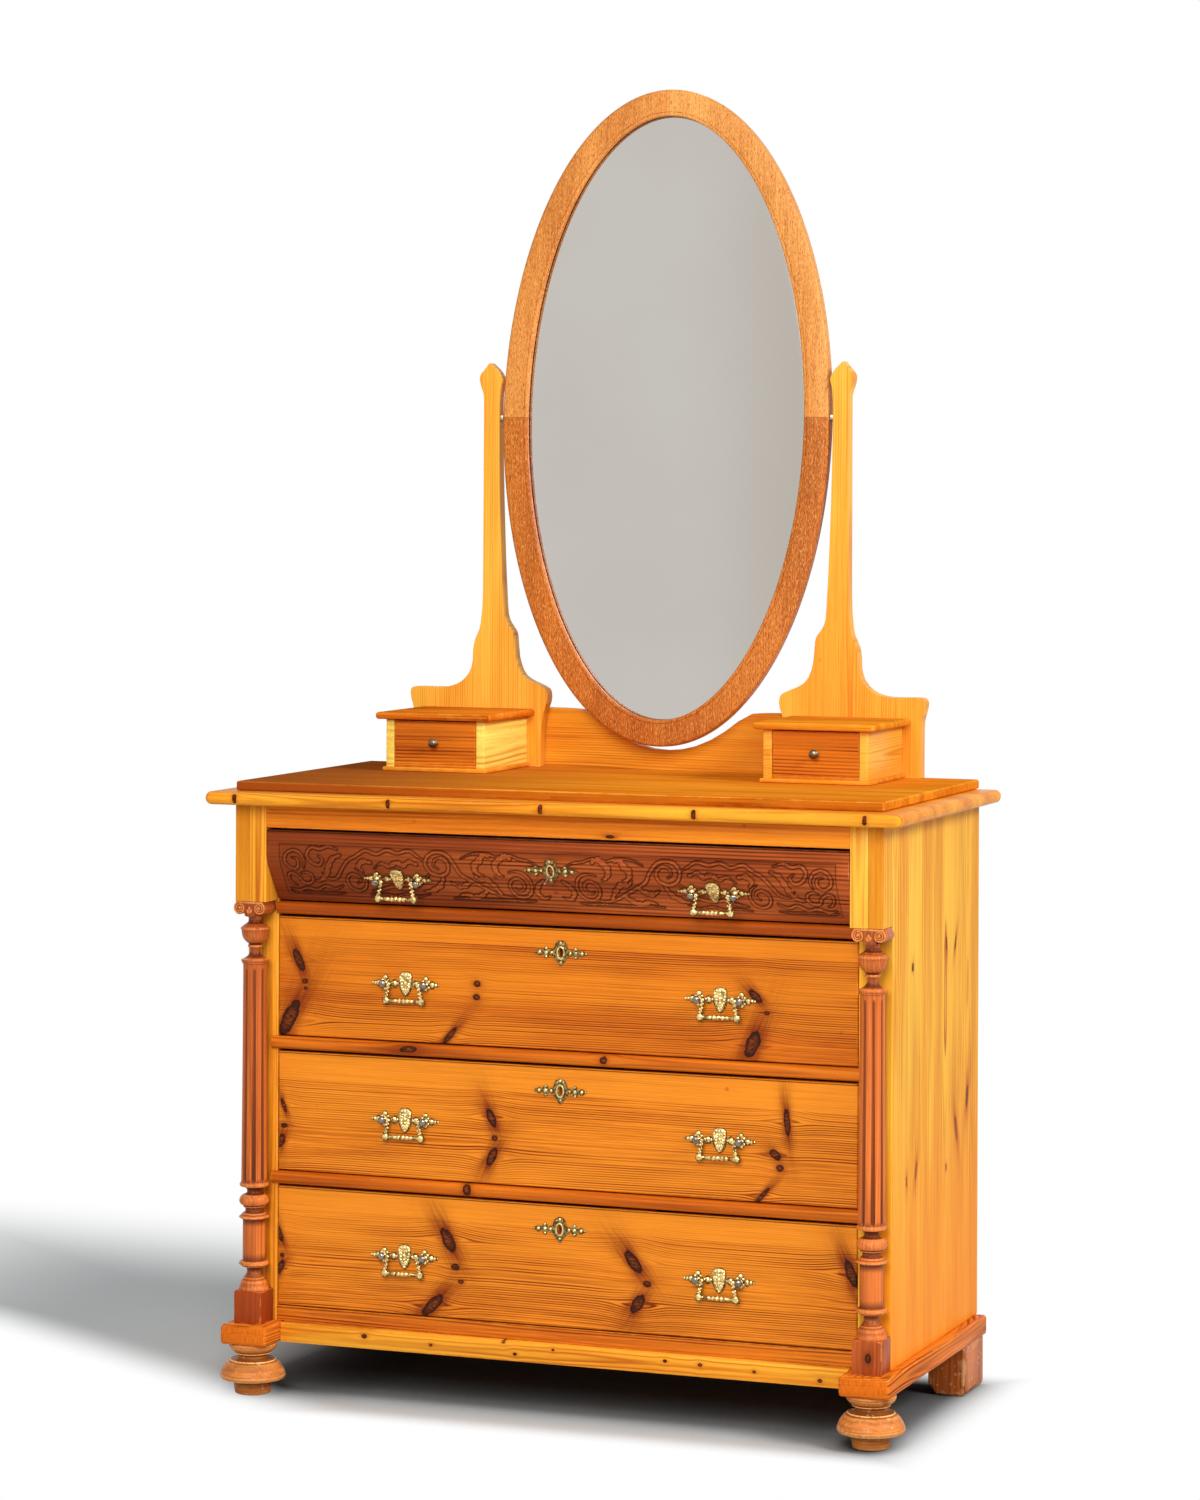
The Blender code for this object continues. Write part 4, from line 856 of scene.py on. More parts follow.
class Cut(Enum):
    """How a board is sawn: the axes along its grain, across its face and through it."""

    FRONT_ACROSS = "XZY"
    FRONT_UP = "ZXY"
    TOP_ACROSS = "XYZ"
    SIDE_UP = "ZYX"
    SIDE_BACK = "YZX"


@dataclass(frozen=True)
class Knot:
    """One knot: its place along and across the board, its half sizes and its lean in degrees."""

    along: float
    across: float
    long: float
    wide: float
    lean: float = 0.0


@dataclass(frozen=True)
class Sawing:
    """How one board was cut and aged: its pile number, heart, sapwood, knots, joints and marks.

    The fade is how much deeper its colour is at its low end, or below zero at its high end; on the
    left column and the top board this is painted shade. The gap is the height of the painted
    shadow line along its top edge.
    """

    cut_as: Cut
    pile: int
    heart: float = 0.5
    sap: float = 9.0
    boards: int = 1
    knots: tuple[Knot, ...] = ()
    dents: float = 0.10
    fade: float = 0.0
    gap: float = 0.0


@dataclass(frozen=True)
class WoodFinish:
    """The colours and the figure of one kind of board."""

    light: Colour
    mid: Colour
    dark: Colour
    slot: str
    ring: float = 0.0034
    figure: float = 0.80
    wobble: float = 0.050
    depth: float = 0.055
    shine: float = 0.22
    wear: Colour = (0.90, 0.34, 0.03)
    wear_width: float = 0.004
    wear_share: float = 0.30
    bump: float = 0.12
    # The next three set how relief marks lighten rims, partly wear and partly painted highlight,
    # and darken hollows, partly grime and partly painted shade.
    rims: float = 0.75
    grime_and_shade: float = 0.90
    hollow: float = 0.5
    flecks: float = 0.0
    patchy: float = 0.30
    specks: float = 0.0
    hatch: float = 0.0
    deep: Colour = (0.50, 0.10, 0.006)

    def material(self, name: str, sawing: Sawing, low: Sequence[float],
                 high: Sequence[float]) -> bpy.types.Material:
        """Build the material of one board.

        Args:
            name: the material's name.
            sawing: how the board was cut.
            low: the board's lowest corner.
            high: its highest corner.

        Returns:
            The material.
        """
        made, desk, shader = new_material(name)
        place = desk.place()
        axes = desk.parts(place)
        order = ["XYZ".index(letter) for letter in sawing.cut_as.value]
        board = desk.combined(*[axes[axis] for axis in order])
        start, width = low[order[1]], high[order[1]] - low[order[1]]
        glue = desk.group(GLUE, {
            "Vector": board, "Low": start, "Board Width": width / sawing.boards})
        seed = desk.vector("ADD", glue["Seed"], tuple(
            sawing.pile * step for step in (1.37, 0.91, 0.63)))
        flow, reach, tail = self.knots(desk, board, sawing)
        tone = desk.line(glue["Tone"], 0.5 if sawing.boards > 1 else 0.0, 0.0)
        grain = desk.group(GRAIN, {
            "Vector": glue["Vector"], "Seed": seed, "Ring Width": self.ring,
            "Heart": (sawing.heart - 0.5) * width / sawing.boards,
            "Sap Level": (sawing.sap - 0.5) * width, "Depth": self.depth,
            "Wobble": self.wobble, "Figure": self.figure,
            "Light": desk.mix(tone, self.light, self.mid), "Mid": self.mid, "Dark": self.dark,
            "Knot Flow": flow, "Knot Reach": reach, "Knot Tail": tail})
        edge = desk.group(EDGES, {"Vector": place, "Low": tuple(low), "High": tuple(high),
                                  "Width": self.wear_width})["Mask"]
        marks = desk.group(DENTS, {"Vector": place, "Scale": 24.0, "Amount": sawing.dents})["Mask"]
        worn = desk.mix(desk.times(edge, self.wear_share), grain["Color"], self.wear)
        # Deeper colour towards one end of the board; on the left column and the top board this is
        # painted shade.
        if sawing.fade:
            deepest, bright = low[order[0]], high[order[0]]
            if sawing.fade < 0:
                deepest, bright = bright, deepest
            far = desk.span(axes[order[0]], deepest + 0.6 * (bright - deepest), deepest)
            worn = desk.mix(desk.times(far, abs(sawing.fade)), worn, self.deep)
        # Relief marks: rims are mixed towards the wear colour, partly wear and partly painted
        # highlight, and hollows towards the dark colour, partly grime and partly painted shade.
        relief = desk.relief()
        rough = desk.span(desk.noise(place, 260.0, 3.0), self.patchy, self.patchy + 0.25)
        rim = desk.times(desk.times(relief, rough, clamp=True), self.rims)
        hollow = desk.times(desk.times(relief, -1.0, clamp=True), self.grime_and_shade)
        worn = desk.mix(rim, worn, self.wear)
        worn = desk.mix(hollow, worn, tuple(level * self.hollow for level in self.dark))
        worn = desk.mix(desk.times(marks, 0.55), worn, self.dark)
        facing = desk.parts(desk.node("ShaderNodeNewGeometry").outputs["True Normal"])
        if self.hatch:
            end = desk.span(desk.sum("ABSOLUTE", facing[order[0]]), 0.70, 0.95)
            pores = desk.stretched(board, (0.0, 90.0, 950.0), 3.0)
            sawn_end = desk.mix(desk.span(pores, 0.35, 0.68), self.mid, tuple(
                (a + b) / 2 for a, b in zip(self.mid, self.dark)))
            worn = desk.mix(desk.times(end, self.hatch), worn, sawn_end)
        if self.specks:
            filler = desk.group(DENTS, {"Vector": place, "Scale": 150.0, "Amount": 0.42})["Mask"]
            worn = desk.mix(desk.times(filler, self.specks), worn, FILLER)
        # Painted shadow: a dark line along the top of the front face, for the shade in the gap
        # above the drawer.
        if sawing.gap:
            gap_shadow = desk.span(axes[2], high[2] - sawing.gap, high[2] - 0.5 * sawing.gap)
            upright = desk.span(facing[2], 0.75, 0.45)
            gap_shadow = desk.times(gap_shadow, upright)
            worn = desk.mix(desk.times(gap_shadow, 0.93), worn, SHADOW)
        if self.flecks:
            pores = desk.stretched(board, (190.0, 900.0, 900.0), 2.0)
            worn = desk.mix(desk.times(desk.span(pores, 0.54, 0.66), self.flecks), worn, self.dark)
            worn = desk.mix(desk.times(desk.span(pores, 0.44, 0.33), 0.5), worn, self.wear)
        if sawing.boards > 1:
            worn = desk.mix(desk.times(glue["Joint"], 0.55), worn, self.dark)
        bump = desk.node("ShaderNodeBump", {
            "Strength": self.bump, "Distance": 0.001,
            "Height": desk.minus(grain["Height"], marks)})
        desk.feed(shader.inputs["Base Color"], worn)
        desk.feed(shader.inputs["Roughness"], desk.line(edge, 0.15, grain["Roughness"]))
        desk.feed(shader.inputs["Normal"], bump.outputs[0])
        shader.inputs["Specular IOR Level"].default_value = self.shine
        return made

    def knots(self, desk: Desk, board: bpy.types.NodeSocket, sawing: Sawing) -> tuple:
        """Chain the knots of a board.

        Args:
            desk: the desk of the board's material.
            board: the board's own coordinates.
            sawing: how the board was cut.

        Returns:
            The flow, reach and tails of all its knots.
        """
        found: tuple = (0.0, 99.0, 0.0)
        for knot in sawing.knots:
            lean = math.radians(knot.lean)
            step = desk.group(KNOT, {
                "Vector": board, "Centre": (knot.along, knot.across, 0.0),
                "Axis": (math.cos(lean), math.sin(lean), 0.0),
                "Cross": (-math.sin(lean), math.cos(lean), 0.0),
                "Long": knot.long, "Wide": knot.wide,
                "Flow": found[0], "Reach": found[1], "Tail": found[2]})
            found = tuple(step[key] for key in ("Flow", "Reach", "Tail"))
        return found

    def for_node(self, node: str, cut_as: Cut, pile: int, **details: object) -> bpy.types.Material:
        """Build the material of a board that has the corners of a solid."""
        return self.material(node + "_wood", Sawing(cut_as, pile, **details), *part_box(node))


HONEY = WoodFinish((0.80, 0.232, 0.011), (0.71, 0.166, 0.008), (0.20, 0.024, 0.001),
                   "honey_pine", ring=0.0032, figure=1.35, wobble=0.014, depth=0.006, shine=0.12)
LOW_HONEY = replace(HONEY, light=(0.84, 0.265, 0.016), mid=(0.90, 0.258, 0.014))
# The rails are darker than the fronts' honey pine: painted shade under the overhangs above them.
RAILS = WoodFinish((0.76, 0.195, 0.010), (0.55, 0.112, 0.006), (0.24, 0.033, 0.002),
                   "honey_pine", ring=0.0030, wobble=0.014, depth=0.008, shine=0.10)
# Divider 1 takes a darker copy still, for the shadow of the carved front above it: painted shade.
SHADED_RAIL = replace(RAILS, light=(0.48, 0.098, 0.005), mid=(0.34, 0.059, 0.003))
TOP_RAIL = replace(RAILS, light=(0.97, 0.330, 0.018), mid=(0.88, 0.235, 0.012),
                   dark=(0.36, 0.058, 0.003), ring=0.0052)
STRIPED = WoodFinish((0.86, 0.250, 0.014), (0.66, 0.150, 0.008), (0.20, 0.024, 0.001),
                     "honey_pine", ring=0.0052, figure=1.25, wobble=0.018, depth=0.006,
                     shine=0.10)
DARK_STRIPED = replace(STRIPED, light=(0.74, 0.205, 0.011), mid=(0.568, 0.123, 0.006))
BRIGHT = WoodFinish((0.97, 0.455, 0.034), (0.89, 0.315, 0.018), (0.42, 0.080, 0.004),
                    "golden_pine", ring=0.0036, figure=0.80, wobble=0.016, depth=0.010,
                    shine=0.10, wear=(0.95, 0.50, 0.10))
PALE = WoodFinish((0.99, 0.610, 0.066), (0.96, 0.445, 0.032), (0.46, 0.090, 0.004),
                  "golden_pine", ring=0.0050, figure=1.10, wobble=0.030, depth=0.022,
                  shine=0.02, wear=(0.95, 0.55, 0.12), deep=(0.97, 0.230, 0.009))
GOLD = WoodFinish((0.96, 0.520, 0.062), (0.90, 0.390, 0.036), (0.60, 0.160, 0.010),
                  "golden_pine", ring=0.0036, figure=0.75, wobble=0.014, depth=0.010,
                  shine=0.10, wear=(0.95, 0.58, 0.14))
SUNNY = WoodFinish((0.99, 0.850, 0.170), (0.97, 0.720, 0.115), (0.62, 0.190, 0.016),
                   "golden_pine", ring=0.0060, figure=0.85, wobble=0.030, depth=0.026,
                   shine=0.02, wear=(0.97, 0.66, 0.20))
AMBER = WoodFinish((0.97, 0.375, 0.026), (0.84, 0.245, 0.013), (0.28, 0.040, 0.001),
                   "honey_pine", ring=0.0045, wobble=0.020, depth=0.010, shine=0.0,
                   wear=(0.92, 0.44, 0.08), wear_width=0.007, deep=(0.26, 0.062, 0.016))
RED_AMBER = replace(AMBER, light=(0.902, 0.285, 0.021), mid=(0.781, 0.186, 0.01))
EDGING = WoodFinish((0.97, 0.430, 0.030), (0.86, 0.270, 0.014), (0.34, 0.056, 0.003),
                    "honey_pine", ring=0.0038, figure=1.0, wobble=0.110, depth=0.012,
                    shine=0.06, wear=(0.95, 0.50, 0.12), wear_width=0.006)
FLAME = WoodFinish((0.92, 0.265, 0.022), (0.76, 0.165, 0.012), (0.24, 0.034, 0.002),
                   "honey_pine", ring=0.0028, figure=1.3, wobble=0.160, depth=0.016,
                   shine=0.02, wear=(0.92, 0.36, 0.06), wear_width=0.005, wear_share=0.5,
                   hatch=0.85)
TURNED = WoodFinish((0.80, 0.200, 0.036), (0.56, 0.118, 0.018), (0.15, 0.017, 0.003),
                    "turned_wood", ring=0.0022, figure=0.55, wobble=0.012, depth=0.012,
                    shine=0.18, wear=(0.88, 0.36, 0.09), rims=0.50, grime_and_shade=0.85, hollow=0.45)
# A lighter copy of the turned finish for the left column: painted light in place of the light it
# misses; its deep colour gives the painted shade towards its top.
LIT_TURNED_LEFT = replace(TURNED, light=(0.86, 0.238, 0.042), mid=(0.64, 0.148, 0.023),
                      wear=(0.95, 0.40, 0.10), deep=(0.34, 0.062, 0.013))
PLINTH_LEFT = WoodFinish((0.40, 0.064, 0.011), (0.31, 0.045, 0.007), (0.10, 0.012, 0.002),
                         "turned_wood", ring=0.0030, figure=0.5, wobble=0.02, depth=0.02,
                         shine=0.10, wear=(0.74, 0.26, 0.07), wear_share=0.6)
PLINTHS = replace(PLINTH_LEFT, light=(0.53, 0.112, 0.022), mid=(0.44, 0.082, 0.015),
                  dark=(0.14, 0.019, 0.003), wear=(0.80, 0.30, 0.08))
# The back feet's colours are set lighter to make up for the shade they stand in: painted light.
BACK_FEET = WoodFinish((0.80, 0.225, 0.046), (0.56, 0.132, 0.024), (0.12, 0.020, 0.004),
                       "turned_wood", ring=0.0046, figure=0.8, wobble=0.06, depth=0.02,
                       shine=0.08, wear=(0.84, 0.46, 0.18), wear_width=0.020, wear_share=0.55,
                       specks=0.22)
FEET = WoodFinish((0.84, 0.290, 0.060), (0.62, 0.170, 0.030), (0.14, 0.025, 0.005),
                  "turned_wood", ring=0.0040, figure=0.9, wobble=0.02, depth=0.012,
                  shine=0.10, wear=(0.95, 0.58, 0.20), wear_share=0.5, grime_and_shade=0.70,
                  specks=0.22)
STAINED = WoodFinish((0.66, 0.150, 0.032), (0.36, 0.064, 0.015), (0.060, 0.008, 0.001),
                     "stained_pine", ring=0.0056, figure=1.10, wobble=0.02, depth=0.006,
                     shine=0.05, wear=(0.72, 0.30, 0.12), wear_width=0.004, rims=0.60,
                     hollow=0.25, patchy=0.50, deep=(0.13, 0.018, 0.004))
UPPER_VENEER = WoodFinish((0.80, 0.320, 0.070), (0.62, 0.205, 0.036), (0.30, 0.070, 0.010),
                          "veneered_frame", ring=0.0026, figure=0.45, wobble=0.02, depth=0.02,
                          shine=0.14, wear=(0.90, 0.46, 0.14), wear_width=0.003, flecks=0.75)
LOWER_VENEER = WoodFinish((0.70, 0.230, 0.037), (0.51, 0.136, 0.018), (0.20, 0.036, 0.004),
                          "veneered_frame", ring=0.0026, figure=0.60, wobble=0.04, depth=0.02,
                          shine=0.12, wear=(0.90, 0.46, 0.14), wear_width=0.003, flecks=0.75)
PALE_VENEER = replace(UPPER_VENEER, light=(0.86, 0.400, 0.096), mid=(0.70, 0.265, 0.050))
RED_VENEER = replace(LOWER_VENEER, light=(0.66, 0.196, 0.027), mid=(0.49, 0.118, 0.014))
RAW = WoodFinish((0.74, 0.48, 0.24), (0.62, 0.37, 0.17), (0.38, 0.19, 0.075), "raw_pine",
                 figure=0.7, wobble=0.03, depth=0.03, wear=(0.80, 0.56, 0.32), bump=0.25,
                 shine=0.3)


@dataclass(frozen=True)
class MetalFinish:
    """The colours and the tarnish of one metal."""

    bright: Colour
    dull: Colour
    smooth: float = 0.24
    rough: float = 0.55
    scale: float = 240.0
    bump: float = 0.35

    def material(self, name: str) -> bpy.types.Material:
        """Build the metal's material.

        Args:
            name: the material's name.

        Returns:
            The material.
        """
        made, desk, shader = new_material(name)
        place = desk.place()
        tarnish = desk.span(desk.noise(place, self.scale, 3.0, 0.6), 0.42, 0.66)
        grit = desk.noise(place, self.scale * 4.0, 2.0)
        relief = desk.relief()
        hollow = desk.times(relief, -1.0, clamp=True)
        tarnish = desk.line(hollow, 0.9, desk.times(tarnish, 0.7), clamp=True)
        desk.feed(shader.inputs["Base Color"], desk.mix(tarnish, self.bright, self.dull))
        rough = desk.line(tarnish, self.rough - self.smooth, self.smooth)
        desk.feed(shader.inputs["Roughness"], rough)
        bump = desk.node("ShaderNodeBump", {"Strength": self.bump, "Distance": 0.0003,
                                            "Height": desk.plus(grit, tarnish)})
        desk.feed(shader.inputs["Normal"], bump.outputs[0])
        shader.inputs["Metallic"].default_value = 1.0
        return made


BRASS = MetalFinish((0.84, 0.62, 0.26), (0.10, 0.052, 0.012)).material("cast_brass")
STEEL = MetalFinish((0.62, 0.60, 0.57), (0.36, 0.34, 0.32)).material("steel")
DARK_STEEL = MetalFinish((0.27, 0.235, 0.19), (0.08, 0.066, 0.05),
                         smooth=0.12, rough=0.35).material("dark_steel")
BRONZE = MetalFinish((0.20, 0.14, 0.085), (0.06, 0.04, 0.022)).material("bronze")


def silvering() -> bpy.types.Material:
    """Build the silvered glass of the mirror, with a faint bloom of age; its greys are a painted
    reflection.

    Returns:
        The material.
    """
    # The greys stand for the grey room the mirror shows: painted reflection.
    clear, bloomed = (0.565, 0.535, 0.50), (0.535, 0.505, 0.465)
    darker_right, spotted = (0.480, 0.440, 0.385), (0.30, 0.27, 0.24)
    made, desk, shader = new_material("silvered_glass")
    place = desk.place()
    bloom = desk.span(desk.noise(place, 3.0, 3.0), 0.35, 0.75)
    specks = desk.span(desk.noise(place, 420.0, 1.0), 0.74, 0.80)
    colour = desk.mix(bloom, clear, bloomed)
    across = desk.parts(place)[0]
    # The grey goes darker towards the right edge.
    colour = desk.mix(desk.span(across, 0.02, 0.26), colour, darker_right)
    desk.feed(shader.inputs["Base Color"], desk.mix(desk.times(specks, 0.12), colour, spotted))
    desk.feed(shader.inputs["Roughness"], desk.line(bloom, 0.03, 0.02))
    shader.inputs["Metallic"].default_value = 1.0
    return made


# Knots, by their places in the frame

FRONT_KNOTS: dict[int, tuple[Knot, ...]] = {
    2: (
        Knot(-0.409, 0.6270, 0.0180, 0.0065, 115), Knot(-0.399, 0.5973, 0.0050, 0.0040),
        Knot(-0.398, 0.5873, 0.0032, 0.0026), Knot(-0.424, 0.5420, 0.0290, 0.0105, 62),
        Knot(-0.129, 0.6057, 0.0056, 0.0044), Knot(-0.130, 0.5870, 0.0056, 0.0044),
        Knot(-0.171, 0.5300, 0.0160, 0.0040, 50), Knot(0.291, 0.6081, 0.0120, 0.0060, 135),
        Knot(0.308, 0.5858, 0.0040, 0.0032), Knot(0.287, 0.5410, 0.0210, 0.0095, 68),
    ),
    3: (
        Knot(-0.106, 0.4160, 0.0140, 0.0065, 115), Knot(-0.101, 0.3874, 0.0046, 0.0040),
        Knot(-0.105, 0.3610, 0.0150, 0.0065, 62), Knot(-0.431, 0.3858, 0.0050, 0.0035),
        Knot(-0.436, 0.3645, 0.0110, 0.0055, 70), Knot(0.338, 0.4350, 0.0190, 0.0045, 95),
        Knot(0.321, 0.3890, 0.0095, 0.0058, 145), Knot(0.328, 0.3714, 0.0056, 0.0044),
        Knot(0.302, 0.3310, 0.0160, 0.0030, 48), Knot(-0.432, 0.4150, 0.0100, 0.0030, 110),
    ),
    4: (
        Knot(-0.172, 0.2370, 0.0190, 0.0085, 118), Knot(-0.161, 0.1992, 0.0062, 0.0050),
        Knot(-0.152, 0.1790, 0.0040, 0.0034), Knot(-0.196, 0.1420, 0.0220, 0.0080, 45),
        Knot(-0.439, 0.2300, 0.0150, 0.0045, 112), Knot(-0.434, 0.1975, 0.0036, 0.0028),
        Knot(-0.437, 0.1797, 0.0110, 0.0050, 60), Knot(0.111, 0.2255, 0.0180, 0.0080, 130),
        Knot(0.132, 0.1960, 0.0060, 0.0045), Knot(0.118, 0.1668, 0.0150, 0.0080, 55),
        Knot(0.432, 0.2321, 0.0210, 0.0070, 112),
    ),
}
RAIL_KNOTS: dict[int, tuple[Knot, ...]] = {
    2: (Knot(-0.232, 0.508, 0.0150, 0.0045, 4), Knot(0.068, 0.508, 0.0060, 0.0055)),
    3: (Knot(-0.140, 0.312, 0.0085, 0.0060, 100),),
}
BASE_KNOTS: tuple[Knot, ...] = tuple(Knot(x, z, size, size * 0.8) for x, z, size in (
    (-0.298, 0.0920, 0.0042), (-0.194, 0.0871, 0.0026), (-0.082, 0.1000, 0.0026),
    (-0.064, 0.0843, 0.0030), (-0.006, 0.0945, 0.0022), (0.163, 0.0922, 0.0030),
    (0.215, 0.0907, 0.0034), (0.295, 0.0872, 0.0024), (0.391, 0.0825, 0.0032)))
SIDE_KNOTS: tuple[Knot, ...] = (
    Knot(0.6611, 0.124, 0.0110, 0.0030, 20), Knot(0.6643, 0.078, 0.0100, 0.0030, -10),
    Knot(0.6477, -0.089, 0.0060, 0.0045), Knot(0.4302, 0.187, 0.0170, 0.0060, 12),
    Knot(0.3916, 0.130, 0.0200, 0.0055, -18), Knot(0.3597, -0.070, 0.0130, 0.0045, 15),
    Knot(0.3513, -0.115, 0.0070, 0.0035), Knot(0.3428, 0.080, 0.0050, 0.0035),
)
EDGE_KNOTS: tuple[Knot, ...] = tuple(
    Knot(x, FRONT - 0.035, 0.0030, 0.0024) for x in (-0.476, -0.235, -0.002, 0.226, 0.473))


# Carcass


@dataclass
class Carcass:
    """The boards of the case that keep their solids' shapes."""

    side_boards: int = 4
    back_boards: int = 7
    top_boards: int = 4

    def build(self) -> None:
        """Finish the sides, back, bottom and top boards."""
        for name, pile, knots in (("side_left", 1, ()), ("side_right", 2, SIDE_KNOTS)):
            finish = PALE.for_node(name, Cut.SIDE_UP, pile, boards=self.side_boards, knots=knots,
                                   fade=0.62)
            soften_node(name, finish, 0.0010)
        soften_node("back_panel", RAW.for_node(
            "back_panel", Cut.FRONT_UP, 3, boards=self.back_boards), 0.0006)
        soften_node("bottom_board", HONEY.for_node("bottom_board", Cut.FRONT_ACROSS, 4), 0.0008)
        # The top board's colour deepens towards its left end: painted shade.
        soften_node("top_board", AMBER.for_node(
            "top_board", Cut.TOP_ACROSS, 5, boards=self.top_boards, fade=0.80), 0.0010)
        for side, pile in (("left", 6), ("right", 7)):
            node = "foot_back_" + side
            soften_node(node, BACK_FEET.for_node(node, Cut.FRONT_UP, pile, dents=0.3), 0.0090)


@dataclass
class FaceFrame:
    """The two stiles and the top rail round the drawers."""

    node: str = "face_frame"
    rail_depth: float = 0.022
    rail_gap: float = 0.0034
    play: float = 0.0003
    seam: float = 0.0001

    def build(self) -> None:
        """Saw the stiles and the rail."""
        low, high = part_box(self.node)
        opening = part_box("divider_1")[1].x + self.play
        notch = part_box("column_left")[1].z + self.play
        rail_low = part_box("drawer_1_front")[1].z + self.rail_gap
        stands_for: Sequence[str] = (self.node,)
        # The left stile takes the darker BRIGHT finish for the shade of the column in front of it,
        # painted shade; the left post is BRIGHT too, the right post GOLD and the right stile PALE.
        for side, word, post_wood, stile_wood in ((-1, "left", BRIGHT, BRIGHT),
                                                  (1, "right", GOLD, PALE)):
            ends = sorted((side * opening, side * high.x))
            for label, near, far, foot, wood in (
                    ("post", low.y, FACE_Y, notch, post_wood),
                    ("stile", FACE_Y + self.seam, high.y, low.z, stile_wood)):
                corners = ((ends[0], near, foot), (ends[1], far, high.z))
                name = "%s_%s" % (label, word)
                finish = wood.material(name + "_wood", Sawing(Cut.FRONT_UP, 8 + side), *corners)
                dress(block(name, *corners, rounding=0.0012), finish, "carcass", wood.slot,
                      stands_for)
                stands_for = ()
        behind = low.y + self.rail_depth
        rail = block("top_rail", (-opening + self.seam, low.y, rail_low),
                     (opening - self.seam, behind, high.z), 0.0009)
        knots = (Knot(0.090, 0.827, 0.006, 0.0025),)
        finish = TOP_RAIL.material(
            "top_rail_wood", Sawing(Cut.FRONT_ACROSS, 10, 0.3, knots=knots),
            (-opening, low.y, rail_low), (opening, behind, high.z))
        dress(rail, finish, "carcass", "honey_pine")


@dataclass
class DividerRails:
    """The three rails between the drawers, with their full-round noses."""

    steps: int = 20
    flat: float = 0.0010
    play: float = 0.0003
    overlap: float = 0.0001
    board_depth: float = 0.0216
    inset: float = 0.018

    def build(self) -> None:
        """Shape each rail from the section of its nose."""
        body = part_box("divider_1")[1].x
        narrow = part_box("drawer_2_box")[1].x - self.inset
        start = FACE_Y - self.play
        for number in (1, 2, 3):
            node = "divider_%d" % number
            low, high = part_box(node)
            radius = (high.z - low.z) / 2
            reach = start - self.flat - low.y
            nose = [(start, high.z)] + [
                (start - self.flat - reach * math.sin(math.pi * i / self.steps),
                 low.z + radius + radius * math.cos(math.pi * i / self.steps))
                for i in range(self.steps + 1)
            ] + [(start, low.z)]
            lip = sawn("lip", [nose], Facing.SIDE, low.x, high.x)
            board = block("board", (-body, FACE_Y - self.play - self.overlap, low.z + 0.00001),
                          (body, FACE_Y + self.board_depth, high.z - 0.00001))
            behind = block("behind", (-narrow, FACE_Y + self.board_depth + self.overlap, low.z),
                           (narrow, high.y, high.z))
            piece = joined("rail_%d" % number, lip, board, behind)
            wood = SHADED_RAIL if number == 1 else RAILS
            finish = wood.for_node(node, Cut.FRONT_ACROSS, 10 + number,
                                   knots=RAIL_KNOTS.get(number, ()))
            dress(piece, finish, "carcass", "honey_pine", (node,))


@dataclass
class Top:
    """The lower top board with its rounded nose."""

    node: str = "top_moulding"
    nose: float = 0.0092

    def build(self) -> None:
        """Round the front and side edges of the board."""
        low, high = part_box(self.node)
        piece = block("moulded_top", low, high)
        for vertex in piece.data.vertices:
            vertex.select = False
        pick(piece)
        bpy.ops.object.mode_set(mode="EDIT")
        bpy.ops.mesh.select_mode(type="EDGE")
        bpy.ops.object.mode_set(mode="OBJECT")
        for edge in piece.data.edges:
            ends = [piece.data.vertices[i].co for i in edge.vertices]
            level = abs(ends[0].z - ends[1].z) < 0.001
            back = min(end.y for end in ends) > high.y - 0.001
            edge.select = level and not back
        bpy.ops.object.mode_set(mode="EDIT")
        bpy.ops.mesh.bevel(offset=self.nose, offset_type="OFFSET", segments=10, affect="EDGES")
        bpy.ops.object.mode_set(mode="OBJECT")
        finish = EDGING.for_node(self.node, Cut.TOP_ACROSS, 14, heart=-0.02, knots=EDGE_KNOTS)
        dress(piece, finish, "carcass", "honey_pine", (self.node,))


@dataclass
class Base:
    """The base frame: two planks with rails between them."""

    node: str = "base_frame"
    plank: float = 0.073
    rail: float = 0.070
    setback: float = 0.0485
    seam: float = 0.0002

    def build(self) -> None:
        """Make the planks and rails."""
        low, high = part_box(self.node)
        inner = high.x - self.plank
        stands_for: Sequence[str] = (self.node,)
        for side, word in SIDES:
            ends = sorted((side * inner, side * high.x))
            corners = ((ends[0], low.y, low.z), (ends[1], high.y, high.z))
            piece = block("base_plank_" + word, *corners, rounding=0.0050, segments=4)
            finish = FLAME.material("base_plank_%s_wood" % word, Sawing(
                Cut.SIDE_BACK, 16 + side, 0.4), *corners)
            dress(piece, finish, "carcass", "honey_pine", stands_for)
            stands_for = ()
        for word, y in (("front", low.y + self.setback), ("back", high.y - self.rail)):
            corners = ((-inner + self.seam, y, low.z),
                       (inner - self.seam, y + self.rail, high.z - 0.0004))
            piece = block("base_rail_" + word, *corners, rounding=0.0018)
            finish = BRIGHT.material("base_rail_%s_wood" % word, Sawing(
                Cut.FRONT_ACROSS, 18, 0.5, knots=BASE_KNOTS), *corners)
            dress(piece, finish, "carcass", "honey_pine")


# Turned pieces


